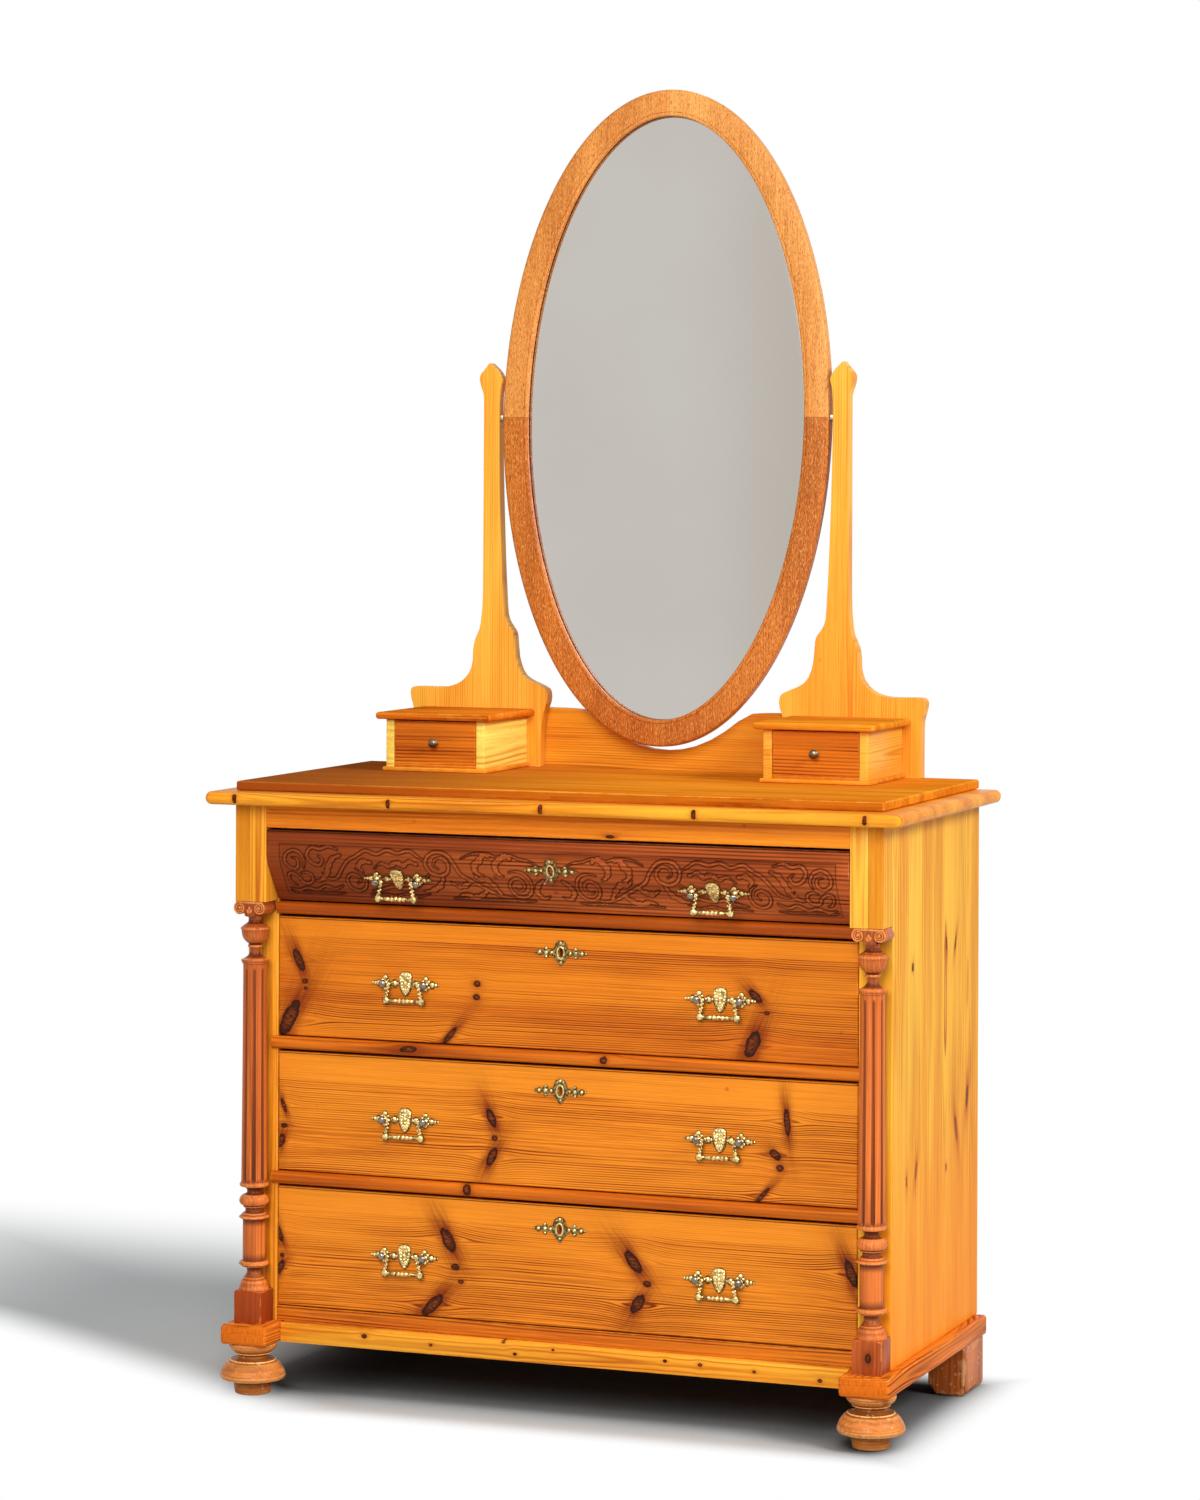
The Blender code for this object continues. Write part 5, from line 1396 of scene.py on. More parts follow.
def turned_relief(profile: Sequence[Point], axis: Point, base: float,
                  window: float = 0.0070) -> Callable[[Vector], float]:
    """Tell the hollows of a turned piece from its rims.

    Args:
        profile: its radii and heights, from the top down.
        axis: its axis in the frame.
        base: the height of the profile's foot.
        window: how far above and below a hollow its crests are looked for.

    Returns:
        The rule for one point.
    """
    heights = np.array([base + h for r, h in reversed(profile)])
    radii = np.array([r for r, h in reversed(profile)])
    levels = np.linspace(heights[0], heights[-1], 1200)
    turned = np.interp(levels, heights, radii)
    step = levels[1] - levels[0]
    wide, close = int(window / step), int(0.0022 / step)
    crest = np.array([turned[max(0, i - wide):i + wide + 1].max() for i in range(len(levels))])
    even = np.array([turned[max(0, i - close):i + close + 1].mean() for i in range(len(levels))])

    def rule(point: Vector) -> float:
        """Return a point's relief."""
        own = math.hypot(point.x - axis[0], point.y - axis[1])
        here = float(np.interp(point.z, levels, turned))
        cove = held((float(np.interp(point.z, levels, crest)) - here - 0.0008) / 0.0048)
        flute = held((here - own - 0.0003) / 0.0014)
        rim = held((here - float(np.interp(point.z, levels, even))) / 0.0007)
        return rim if rim > 0.05 and flute < 0.1 else -max(cove, flute)

    return rule


@dataclass
class BunFoot:
    """A turned bun foot."""

    steps: int = 72
    rows: Sequence[Point] = (
        (33.5, 73.5), (34.8, 72.3), (34.9, 69.5), (33.6, 66.2), (31.2, 63.6), (28.6, 61.6),
        (27.2, 60.4), (26.6, 59.4), (26.9, 58.6), (26.0, 57.8), (23.2, 57.2), (21.8, 56.2),
        (21.4, 55.0), (21.8, 53.4), (24.2, 51.2), (28.0, 49.6), (31.0, 48.9), (31.9, 49.3),
        (33.0, 49.0), (33.6, 48.2), (34.0, 47.2), (36.6, 45.6), (40.2, 42.2), (43.6, 37.2),
        (45.8, 32.6), (46.9, 29.6), (46.5, 28.9), (46.9, 28.3), (47.5, 27.2), (47.2, 24.6),
        (46.0, 22.6), (44.0, 21.3), (40.0, 20.5), (33.0, 20.2), (29.2, 19.8), (28.0, 18.6),
        (27.6, 14.0), (26.9, 7.0), (26.0, 2.2), (25.2, 0.7), (23.6, 0.0),
    )

    def build(self) -> None:
        """Turn both front feet."""
        profile = flowing([(r / 1000, h / 1000) for r, h in self.rows], 3)
        for word in ("left", "right"):
            node = "foot_front_" + word
            low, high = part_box(node)
            middle = (low + high) / 2
            piece = spun("bun_" + word, profile, self.steps, shift(middle.x, middle.y, 0))
            mark_relief(piece, turned_relief(profile, (middle.x, middle.y), 0.0, 0.0032))
            finish = FEET.for_node(node, Cut.FRONT_ACROSS, 20, dents=0.2)
            dress(piece, finish, "carcass", "turned_wood", (node,))


@dataclass
class Column:
    """A turned and fluted column with a plinth and a scrolled capital."""

    block_width: float = 0.043
    plinth: float = 0.0477
    capital: float = 0.0215
    radius: float = 0.018
    steps: int = 64
    flutes: int = 8
    flute_radius: float = 0.0034
    flute_sink: float = 0.0022
    flute_top: float = 0.852
    flute_low: float = 0.298
    flute_end: float = 1.8
    overhang: float = 0.003
    ground: float = 0.0012
    volute_turns: float = 2.1
    volute_steps: int = 45
    shares: Sequence[Point] = (
        (1.0000, 0.600), (0.9930, 0.545), (0.9860, 0.545), (0.9820, 0.600), (0.9765, 0.830),
        (0.9720, 1.010), (0.9700, 1.080), (0.9690, 1.100), (0.9685, 1.150), (0.9655, 1.175),
        (0.9625, 1.150), (0.9618, 1.110), (0.9600, 1.100), (0.9530, 1.085), (0.9420, 1.000),
        (0.9330, 0.820), (0.9270, 0.600), (0.9240, 0.520), (0.9225, 0.500), (0.9215, 0.560),
        (0.9185, 0.590), (0.9155, 0.560), (0.9145, 0.450), (0.9060, 0.420), (0.9000, 0.450),
        (0.8930, 0.580), (0.8860, 0.880), (0.8840, 1.000), (0.8832, 1.090), (0.8800, 1.130),
        (0.8768, 1.090), (0.8758, 1.040), (0.8740, 1.050), (0.8722, 1.020), (0.8712, 0.965),
        (0.8640, 0.960), (0.6000, 0.990), (0.4500, 1.020), (0.3000, 1.050), (0.2880, 1.050),
        (0.2860, 1.100), (0.2835, 1.165), (0.2790, 1.165), (0.2760, 1.090), (0.2745, 0.900),
        (0.2700, 0.640), (0.2650, 0.570), (0.2600, 0.580), (0.2560, 0.700), (0.2535, 0.900),
        (0.2480, 1.100), (0.2400, 1.190), (0.2340, 1.180), (0.2280, 1.060), (0.2255, 0.900),
        (0.2245, 0.860), (0.2225, 0.880), (0.2205, 0.840), (0.2180, 0.720), (0.2130, 0.700),
        (0.2080, 0.740), (0.2050, 0.880), (0.2040, 0.960), (0.2010, 0.990), (0.1995, 1.060),
        (0.1960, 1.190), (0.1925, 1.190), (0.1905, 1.060), (0.1895, 0.960), (0.1875, 0.950),
        (0.1865, 0.905), (0.1700, 0.900), (0.1200, 0.905), (0.0850, 0.900), (0.0790, 0.910),
        (0.0775, 0.980), (0.0765, 1.080), (0.0720, 1.190), (0.0675, 1.190), (0.0655, 1.060),
        (0.0640, 0.980), (0.0620, 0.960), (0.0600, 0.700), (0.0540, 0.560), (0.0460, 0.560),
        (0.0400, 0.640), (0.0350, 0.760), (0.0335, 0.800), (0.0320, 0.860), (0.0295, 0.870),
        (0.0275, 0.880), (0.0240, 1.000), (0.0215, 1.030), (0.0195, 1.060), (0.0150, 1.080),
        (0.0100, 1.130), (0.0050, 1.190), (0.0000, 1.190),
    )

    def build(self) -> None:
        """Turn, flute and dress both columns."""
        for side, word in SIDES:
            node = "column_" + word
            low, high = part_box(node)
            x = (low.x + high.x) / 2
            y = (low.y + high.y) / 2
            base, top = low.z + self.plinth, high.z - self.capital
            length = top - base
            profile = flowing([(self.radius * r, length * h) for h, r in self.shares], 2)
            level = [(r, base + h) for r, h in profile]
            shaft = spun("shaft", level, self.steps, shift(x, y, 0))
            cut(shaft, *self.gouges(x, y, base, length))
            mark_relief(shaft, turned_relief(profile, (x, y), base, 0.0060))
            half = self.block_width / 2
            corners = ((x - half, y - half, low.z), (x + half, y + half, base))
            foot = block("plinth_" + word, *corners, 0.0012)
            piece = joined("turned_column_" + word, shaft, *self.scrolls(x, y, top, high.z))
            # The left column takes a lighter copy of the turned finish, painted light for the shade
            # it stands in, and its colour deepens towards its top: painted shade.
            wood, dark = (LIT_TURNED_LEFT, PLINTH_LEFT) if side < 0 else (TURNED, PLINTHS)
            shaded_top = -0.50 if side < 0 else 0.0
            dress(piece, wood.for_node(node, Cut.FRONT_UP, 22 + side, dents=0.25, fade=shaded_top),
                  "carcass", "turned_wood", (node,))
            stain = (Knot(low.z + 0.024, x + 0.002, 0.0065, 0.0045, 8),) if side > 0 else ()
            sawing = Sawing(Cut.FRONT_UP, 25 + side, dents=0.2, knots=stain)
            finish = dark.material("plinth_%s_wood" % word, sawing, *corners)
            dress(foot, finish, "carcass", "turned_wood")

    def gouges(self, x: float, y: float, base: float, length: float) -> list[Piece]:
        """Make the round-ended tools that cut the flutes.

        Args:
            x: the column's axis across.
            y: the column's axis in depth.
            base: the height of the turned part's foot.
            length: the turned part's length.

        Returns:
            The tools.
        """
        low, high = base + length * self.flute_low, base + length * self.flute_top
        ends = 5
        rows = [(self.flute_radius * math.sin(math.pi / 2 * i / ends),
                 self.flute_radius * self.flute_end * math.cos(math.pi / 2 * i / ends))
                for i in range(ends + 1)]
        profile = [(r, high + h) for r, h in rows] + [(r, low - h) for r, h in reversed(rows)]
        across = self.radius + self.flute_radius - self.flute_sink
        tools = []
        for number in range(self.flutes):
            turn = 2 * math.pi * (number + 0.5) / self.flutes
            place = shift(x + across * math.cos(turn), y + across * math.sin(turn), 0)
            tools.append(spun("gouge", profile, 20, place))
        return tools

    def scrolls(self, x: float, y: float, low: float, high: float) -> list[Piece]:
        """Make the capital: its block, its two volutes and their eyes.

        Args:
            x: the column's axis across.
            y: the column's axis in depth.
            low: the capital's foot.
            high: its top.

        Returns:
            The pieces.
        """
        half = self.block_width / 2
        drop = high - low
        reach = half + self.overhang
        loop = flowing([
            (x - half, high), (x - half, high - drop * 0.18), (x - reach, high - drop * 0.42),
            (x - reach + drop * 0.06, high - drop * 0.68),
            (x - reach + drop * 0.24, high - drop * 0.85),
            (x - reach + drop * 0.48, high - drop * 0.86), (x - half * 0.40, high - drop * 0.80),
            (x - half * 0.28, low), (x + half * 0.28, low), (x + half * 0.40, high - drop * 0.80),
            (x + reach - drop * 0.48, high - drop * 0.86),
            (x + reach - drop * 0.24, high - drop * 0.85),
            (x + reach - drop * 0.06, high - drop * 0.68), (x + reach, high - drop * 0.42),
            (x + half, high - drop * 0.18), (x + half, high),
        ], 4)
        front = y - half + self.ground
        # The relief mark darkens the capital's sunk ground: painted shade.
        pieces = [mark_relief(
            sawn("capital", [loop], Facing.FRONT, front, y + half, 0.0006),
            lambda point: -0.55 if point.y < front + 0.0003 and point.z < high - 0.003 else 0.0)]
        for side in (-1, 1):
            middle = x + side * (reach - drop * 0.42)
            level = high - drop * 0.45
            points = []
            for step in range(self.volute_steps + 1):
                share = step / self.volute_steps
                angle = share * self.volute_turns * 2 * math.pi
                radius = drop * (0.40 - 0.30 * share)
                points.append((middle + side * radius * math.sin(angle + 0.4), front,
                               level + radius * math.cos(angle + 0.4), 1.0 - 0.45 * share))
            pieces.append(wire("volute", points, 0.0015, 2))
            eye = [(0.0008, 0.0018), (0.0018, 0.0014), (0.0023, 0.0)]
            pieces.append(spun("eye", eye, 16, shift(middle, front, level) @ FORWARD))
            out = side * drop
            for lean, tall in ((0.0, 0.50), (0.45, 0.34)):
                leaf = flowing([
                    (x, front, low + drop * 0.16),
                    (x + out * (0.06 + 0.16 * lean), front, low + drop * (0.16 + 0.5 * tall)),
                    (x + out * 0.26 * lean, front, low + drop * (0.16 + tall)),
                ], 5)
                points = [(*spot, 0.5 + math.sin(math.pi * n / len(leaf)))
                          for n, spot in enumerate(leaf)]
                pieces.append(wire("leaf", points, 0.0010, 2))
        band = block("band", (x - half, front - 0.0010, high - 0.0030),
                     (x + half, front + 0.001, high), 0.0004)
        # The raised volutes, eyes, leaves and band are marked to lighten, partly wear and partly
        # painted highlight, and their backs to darken, painted shade.
        for piece in (*pieces[1:], band):
            mark_relief(piece, lambda point: 0.75 if point.y < front - 0.0006 else -0.2)
        return [*pieces, band]


# Brass fittings


def cast_relief(point: Vector) -> float:
    """Return how hollow a point of a cast plate is, from its height above the back."""
    return -held((0.0026 + point.y) / 0.0012)


@dataclass
class Brasses:
    """The cast handle plates, bails and keyhole plates."""

    half_width: float = 0.052
    rise: float = 0.0175
    post_spacing: float = 0.0636
    post_radius: float = 0.0033
    post_reach: float = 0.0118
    dome_radius: float = 0.0058
    pivot_reach: float = 0.0085
    back: float = -0.0003
    sheet: float = 0.0013
    lobe_place: float = 0.606
    curl_place: float = 0.0143
    curl_radius: float = 0.0030
    curl_turn: float = 1.55
    curl_steps: int = 15
    arm_top: float = 0.0235
    arm_low: float = 0.0275
    drop: float = 0.024
    bar_radius: float = 0.0028
    bead_half: float = 0.0023
    upper: Sequence[Point] = (
        (0.000, 1.000), (0.100, 0.970), (0.168, 0.820), (0.196, 0.560), (0.192, 0.300),
        (0.200, 0.160), (0.220, 0.120), (0.265, 0.290), (0.330, 0.360), (0.390, 0.260),
        (0.430, 0.120), (0.500, 0.140), (0.520, 0.420), (0.560, 0.620), (0.606, 0.700),
        (0.655, 0.620), (0.690, 0.420), (0.715, 0.220), (0.780, 0.330), (0.845, 0.260),
        (0.890, 0.100), (0.940, 0.150), (0.975, 0.110), (1.000, 0.000),
    )
    lower: Sequence[Point] = (
        (0.975, -0.110), (0.940, -0.150), (0.890, -0.100), (0.845, -0.260), (0.780, -0.330),
        (0.715, -0.220), (0.690, -0.380), (0.655, -0.540), (0.606, -0.600), (0.560, -0.540),
        (0.520, -0.380), (0.500, -0.140), (0.430, -0.120), (0.390, -0.260), (0.330, -0.360),
        (0.265, -0.290), (0.220, -0.120), (0.196, -0.200), (0.165, -0.480), (0.125, -0.720),
        (0.080, -0.890), (0.030, -1.010), (0.000, -1.040),
    )
    lobe_bosses: Sequence[tuple[float, float, float]] = (
        (0.0, 0.0076, 0.0040), (0.0, -0.0064, 0.0038), (0.0100, 0.0, 0.0040),
        (0.0156, 0.0, 0.0026), (0.0198, 0.0, 0.0018), (-0.0098, 0.0, 0.0022),
        (-0.0145, 0.0, 0.0043), (-0.0192, 0.0, 0.0022), (0.0044, 0.0040, 0.0024),
        (-0.0044, 0.0040, 0.0024), (0.0044, -0.0040, 0.0022),
    )
    bar_beads: Sequence[Point] = (
        (0.0126, 0.0034), (0.0063, 0.0040), (0.0, 0.0042), (-0.0063, 0.0040), (-0.0126, 0.0034),
    )
    arm_leaves: Sequence[tuple[float, float, float]] = (
        (0.0, -0.0010, 0.0021), (0.0006, -0.0062, 0.0018), (0.0018, -0.0122, 0.0020),
        (0.0030, -0.0170, 0.0017),
    )
    boss_rings: Sequence[tuple[int, float, float, float]] = (
        (9, 0.0052, 0.0015, 0.0), (7, 0.0030, 0.0013, -0.0022),
    )
    boss_height: float = 0.64
    shield_edge: Sequence[Point] = (
        (0.0, 16.6), (4.8, 16.0), (8.4, 13.4), (9.9, 9.2), (9.4, 5.0), (8.6, 1.0), (8.2, -3.0),
        (6.8, -7.0), (5.2, -11.0), (3.2, -14.8), (0.0, -17.8),
    )
    shield_bosses: Sequence[tuple[float, float, float]] = (
        (0.0, 1.2, 3.6), (0.0, 12.6, 3.2), (0.0, 7.2, 2.2), (4.6, 12.4, 2.8), (7.4, 8.6, 2.6),
        (3.8, 7.6, 2.0), (7.2, 4.0, 2.2), (5.2, -0.4, 2.6), (5.4, -4.6, 2.2), (0.0, -4.2, 2.2),
        (3.4, -8.4, 2.0), (0.0, -8.6, 1.8), (2.0, -12.4, 1.6), (0.0, -15.2, 1.8),
    )
    shield_veins: Sequence[Sequence[Point]] = (
        ((0.4, 15.2), (5.6, 14.6), (8.8, 10.6)), ((2.6, 4.4), (6.4, 6.4), (8.4, 6.2)),
        ((1.8, -2.0), (4.8, -2.6), (7.0, -5.2)), ((1.2, -6.4), (3.6, -6.6), (5.2, -9.6)),
        ((0.8, -10.6), (2.6, -10.4), (3.4, -13.2)),
    )

    def build(self) -> None:
        """Cast one plate and one bail, and set copies on the drawers."""
        plate = self.plate()
        caps = self.caps()
        bail = self.bail()
        for number in DRAWER_NUMBERS:
            for _, word in SIDES:
                self.mount(plate, caps, bail, number, word)
        for model in (plate, caps, bail):
            bpy.data.objects.remove(model, do_unlink=True)

    def mount(self, plate: Piece, caps: Piece, bail: Piece, number: int, word: str) -> None:
        """Set one handle on its drawer.

        Args:
            plate: the model plate.
            caps: the model post caps.
            bail: the model bail.
            number: the drawer's number.
            word: left or right.
        """
        mark = "%d_%s" % (number, word)
        joint = next(j for j in frame["joints"] if j["name"] == "bail_%s_swing" % mark)
        x, y, z = joint["pos_m"]
        tilt = HANDLE_TILT if number == 1 else 0.0
        behind, above = self.pivot_reach * math.cos(tilt), self.pivot_reach * math.sin(tilt)
        place = shift(x, y + behind, z + above) @ Matrix.Rotation(tilt, 4, "X")
        body = "drawer_%d" % number
        dress(copied(plate, "handle_plate_" + mark, place), BRASS, body, "cast_brass",
              ("plate_" + mark,))
        dress(copied(caps, "post_caps_" + mark, place), DARK_STEEL, body, "bright_steel")
        dress(copied(bail, "bail_ring_" + mark, shift(x, y, z)), BRASS, "handle_" + mark,
              "cast_brass", ("bail_" + mark,))

    def outline(self, half_width: float, rise: float, upper: Sequence[Point],
                lower: Sequence[Point], steps: int = 3) -> list[Point]:
        """Return a symmetric outline from its right half's edges."""
        right = [(a * half_width, b * rise) for a, b in (*upper, *lower)]
        right = [(max(0.0, a), b) for a, b in flowing(right, steps)]
        left = [(-a, b) for a, b in reversed(right[1:-1])]
        return right + left

    def plate(self) -> Piece:
        """Cast the plate: pierced outline, raised shield, lobes, beads and posts.

        Returns:
            The plate, with its back on the XZ plane at the origin.
        """
        loop = self.outline(self.half_width, self.rise, self.upper, self.lower)
        back = self.back
        radius, reach = self.post_radius, self.post_reach
        pieces = [sawn("plate", [loop], Facing.FRONT, back - self.sheet, back, 0.0004),
                  self.shield(back - 0.0012)]
        for side in (-1, 1):
            lobe_x = side * self.lobe_place * self.half_width
            for dx, dz, size in self.lobe_bosses:
                pieces.append(self.boss(size, lobe_x + side * dx, back - 0.0011, dz))
            post = [(radius * 0.9, reach), (radius, reach - 0.001), (radius * 0.82, reach - 0.0025),
                    (radius * 0.82, 0.005), (radius * 1.25, 0.0035), (radius * 1.45, 0.0012)]
            pieces.append(spun("post", post, 20,
                               shift(side * self.post_spacing / 2, back, 0) @ FORWARD))
            for curl in (1, -1):
                points = []
                for step in range(self.curl_steps + 1):
                    share = step / self.curl_steps
                    angle = share * self.curl_turn * math.pi
                    wide = self.curl_radius * (1 - 0.55 * share)
                    points.append((lobe_x - side * self.curl_place + side * wide * math.cos(angle),
                                   back - 0.0022, curl * (0.0008 + wide * math.sin(angle)),
                                   1 - 0.5 * share))
                pieces.append(wire("curl", points, 0.0005))
        return mark_relief(joined("plate_model", *pieces), cast_relief)

    def boss(self, size: float, x: float, y: float, z: float) -> Piece:
        """Raise one round boss.

        Args:
            size: its radius.
            x: its place across.
            y: how far forward its foot lies.
            z: its height.

        Returns:
            The boss.
        """
        dome = [(size * math.sin(a), size * self.boss_height * math.cos(a))
                for a in (math.radians(degrees) for degrees in (12, 35, 60, 90))]
        return spun("boss", dome, 14, shift(x, y, z) @ FORWARD)

    def shield(self, back: float) -> Piece:
        """Raise the leafy shield in the middle of the plate.

        Args:
            back: where its back lies.

        Returns:
            The shield.
        """
        right = flowing([(a / 1000, b / 1000) for a, b in self.shield_edge], 3)
        loop = right + [(-a, b) for a, b in reversed(right[1:-1])]
        pieces = [sawn("shield", [loop], Facing.FRONT, back - 0.0014, back, 0.0006, 3)]
        for x, z, size in self.shield_bosses:
            for side in (-1, 1) if x else (1,):
                pieces.append(self.boss(size / 1000, side * x / 1000, back - 0.0012, z / 1000))
        for side in (-1, 1):
            for line in self.shield_veins:
                path = flowing([(side * a / 1000, back - 0.0017, b / 1000) for a, b in line], 5)
                points = [(*spot, 1.0 - 0.4 * n / len(path)) for n, spot in enumerate(path)]
                pieces.append(wire("vein", points, 0.0008))
        return joined("shield", *pieces)

    def caps(self) -> Piece:
        """Turn the dark domed heads of the two posts.

        Returns:
            The two caps.
        """
        top = self.post_reach + 0.0042
        radius = self.dome_radius
        profile = [(radius * share, top - fall) for share, fall in (
            (0.22, 0.0), (0.50, 0.0004), (0.78, 0.0012), (0.96, 0.0024), (1.0, 0.0036),
            (0.94, 0.0044), (0.66, 0.0048))]
        return joined("caps_model", *[
            spun("cap", profile, 28, shift(side * self.post_spacing / 2, 0, 0) @ FORWARD)
            for side in (-1, 1)])

    def bead(self, size: float) -> list[Point]:
        """Return the profile of a small bead that is flat behind."""
        slant = size * 0.7
        return [(0.0004, size), (slant, slant), (size, 0.0), (slant, -slant)]

    def bail(self) -> Piece:
        """Model the bail: swelling arms, corner bosses and a beaded bar.

        Returns:
            The bail, hanging from the origin.
        """
        top, low, drop, thin = self.arm_top, self.arm_low, self.drop, self.bar_radius
        rows = [(low - 0.003, thin)]
        for centre, size in self.bar_beads:
            for angle in (math.radians(degrees) for degrees in range(10, 180, 20)):
                rows.append((centre + self.bead_half * math.cos(angle),
                             thin + (size - thin) * math.sin(angle)))
        rows.append((-low + 0.003, thin))
        collars = [(0.0176, thin), (0.0184, 0.0026), (0.0194, 0.0026), (0.0202, thin)]
        rows += collars + [(-h, r) for h, r in collars]
        profile = [(r, h) for h, r in sorted(rows, reverse=True)]
        pieces = [spun("bar", profile, 16, shift(0, 0, -drop) @ ACROSS)]
        for side in (-1, 1):
            line = flowing([(side * top, 0, 0.0016, 1.00), (side * (top + 0.0004), 0, -0.004, 1.15),
                            (side * (top + 0.0014), 0, -0.010, 0.85),
                            (side * (top + 0.0026), 0, -0.016, 1.10),
                            (side * low, 0, -drop, 0.95)], 5)
            pieces.append(wire("arm", line, 0.0022, 3))
            for drift, height, size in self.arm_leaves:
                for edge in (-1, 1):
                    spot = shift(side * (top + drift) + edge * 0.0016, -0.0012,
                                 height + edge * 0.0008)
                    pieces.append(spun("leaf", self.bead(size), 10, spot @ FORWARD))
            eye = [(0.0010, 0.0024), (0.0030, 0.0020), (0.0034, 0.0), (0.0030, -0.0020),
                   (0.0010, -0.0024)]
            pieces.append(spun("eye", eye, 20, shift(side * top, 0, 0) @ ACROSS))
            pin = [(0.00125, 0.0053), (0.00125, -0.0053)]
            pieces.append(spun("pin", pin, 12, shift(side * (top + 0.0048), 0, 0) @ ACROSS))
            boss = [(0.0012, 0.0036), (0.0030, 0.0034), (0.0044, 0.0024), (0.0052, 0.0),
                    (0.0044, -0.0020), (0.0026, -0.0031), (0.0012, -0.0034)]
            pieces.append(spun("boss", boss, 24, shift(side * low, 0, -drop) @ FORWARD))
            for count, reach, size, depth in self.boss_rings:
                for turn in (2 * math.pi * n / count for n in range(count)):
                    spot = shift(side * low + reach * math.cos(turn), depth,
                                 -drop + reach * math.sin(turn))
                    bead = [*self.bead(size), (0.0004, -size)]
                    pieces.append(spun("ring", bead, 10, spot @ FORWARD))
        model = joined("bail_model", *pieces)

        def hollow(point: Vector) -> float:
            """Return how hollow a point of the bail is, from its distance to the core line."""
            if point.z < -drop + 0.0045 and abs(point.x) < low - 0.006:
                return -held((0.0033 - math.hypot(point.y, point.z + drop)) / 0.0012)
            return -held((point.y + 0.0024) / 0.0014)

        return mark_relief(model, hollow)


@dataclass
class Keyholes:
    """The keyhole plates, and the thin rod in the top one."""

    half_width: float = 0.040
    rise: float = 0.0178
    beads: Sequence[tuple[float, float, float]] = (
        (0.0, 0.0142, 0.0024), (0.0044, 0.0126, 0.0016), (0.0, -0.0134, 0.0020),
        (0.0224, 0.0, 0.0030), (0.0224, 0.0060, 0.0020), (0.0224, -0.0060, 0.0020),
        (0.0326, 0.0, 0.0026), (0.0384, 0.0, 0.0014), (0.0142, 0.0, 0.0022),
    )

    def build(self) -> None:
        """Cast one keyhole plate and set copies on the drawers."""
        model = self.model()
        for number in DRAWER_NUMBERS:
            low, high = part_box("escutcheon_%d" % number)
            z = low.z + (high.z - low.z) * 1.04 / 2.04
            y, tilt = (FACE_Y, 0.0)
            if number == 1:
                y = face_depth(z)
                tilt = math.atan2(face_depth(z - 0.009) - face_depth(z + 0.009), 0.018)
            place = shift(0, y, z) @ Matrix.Rotation(tilt, 4, "X")
            dress(copied(model, "keyhole_plate_%d" % number, place), BRASS, "drawer_%d" % number,
                  "cast_brass", ("escutcheon_%d" % number,))
        bpy.data.objects.remove(model, do_unlink=True)
        low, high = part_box("key_rod")
        rod = wire("key_rod_wire", [(0, high.y - 0.001, high.z - 0.0012),
                                    (0, low.y + 0.023, high.z - 0.0016),
                                    (0, low.y + 0.001, low.z + 0.0012)], 0.0011, 4)
        dress(rod, STEEL, "drawer_1", "bright_steel", ("key_rod",))

    def model(self) -> Piece:
        """Cast the keyhole plate with its raised ornament.

        Returns:
            The plate, with its back on the XZ plane at the origin.
        """
        upper = [(0.000, 1.000), (0.060, 0.985), (0.120, 0.930), (0.200, 0.760), (0.255, 0.420),
                 (0.300, 0.220), (0.360, 0.270), (0.420, 0.120), (0.480, 0.330), (0.560, 0.480),
                 (0.640, 0.330), (0.700, 0.130), (0.760, 0.230), (0.820, 0.250), (0.880, 0.190),
                 (0.920, 0.100), (0.960, 0.130), (1.000, 0.000)]
        lower = [(a, -b) for a, b in reversed(upper[4:-1])]
        lower += [(0.235, -0.420), (0.150, -0.700), (0.085, -0.840), (0.050, -1.000), (0.0, -1.040)]
        brasses = Brasses(boss_height=0.6)
        loop = brasses.outline(self.half_width, self.rise, upper, lower)
        half, top = 0.0029, 0.0060
        hole = [(half * math.cos(a), top - half + half * math.sin(a))
                for a in (math.pi * i / 12 for i in range(13))]
        hole += [(-half * 0.6, -top), (half * 0.6, -top)]
        back = brasses.back
        pieces = [sawn("plate", [loop, hole], Facing.FRONT, back - brasses.sheet, back, 0.0003)]
        ring = [(0.0062 * math.cos(a), 0.0098 * math.sin(a)) for a in (
            2 * math.pi * i / 40 for i in range(40))]
        inner = [(a * 0.66, b * 0.76) for a, b in ring]
        pieces.append(sawn("ring", [ring, inner], Facing.FRONT, back - 0.0024, back - 0.0012,
                           0.0004))
        for x, z, size in self.beads:
            for side in (1, -1) if x else (1,):
                pieces.append(brasses.boss(size, side * x, back - 0.0011, z))
        return mark_relief(joined("keyhole_model", *pieces), cast_relief)


# Drawers


# The carved scrolls of one half of the dark front, in millimetres from the middle and up from
# the lower edge, each with its half width

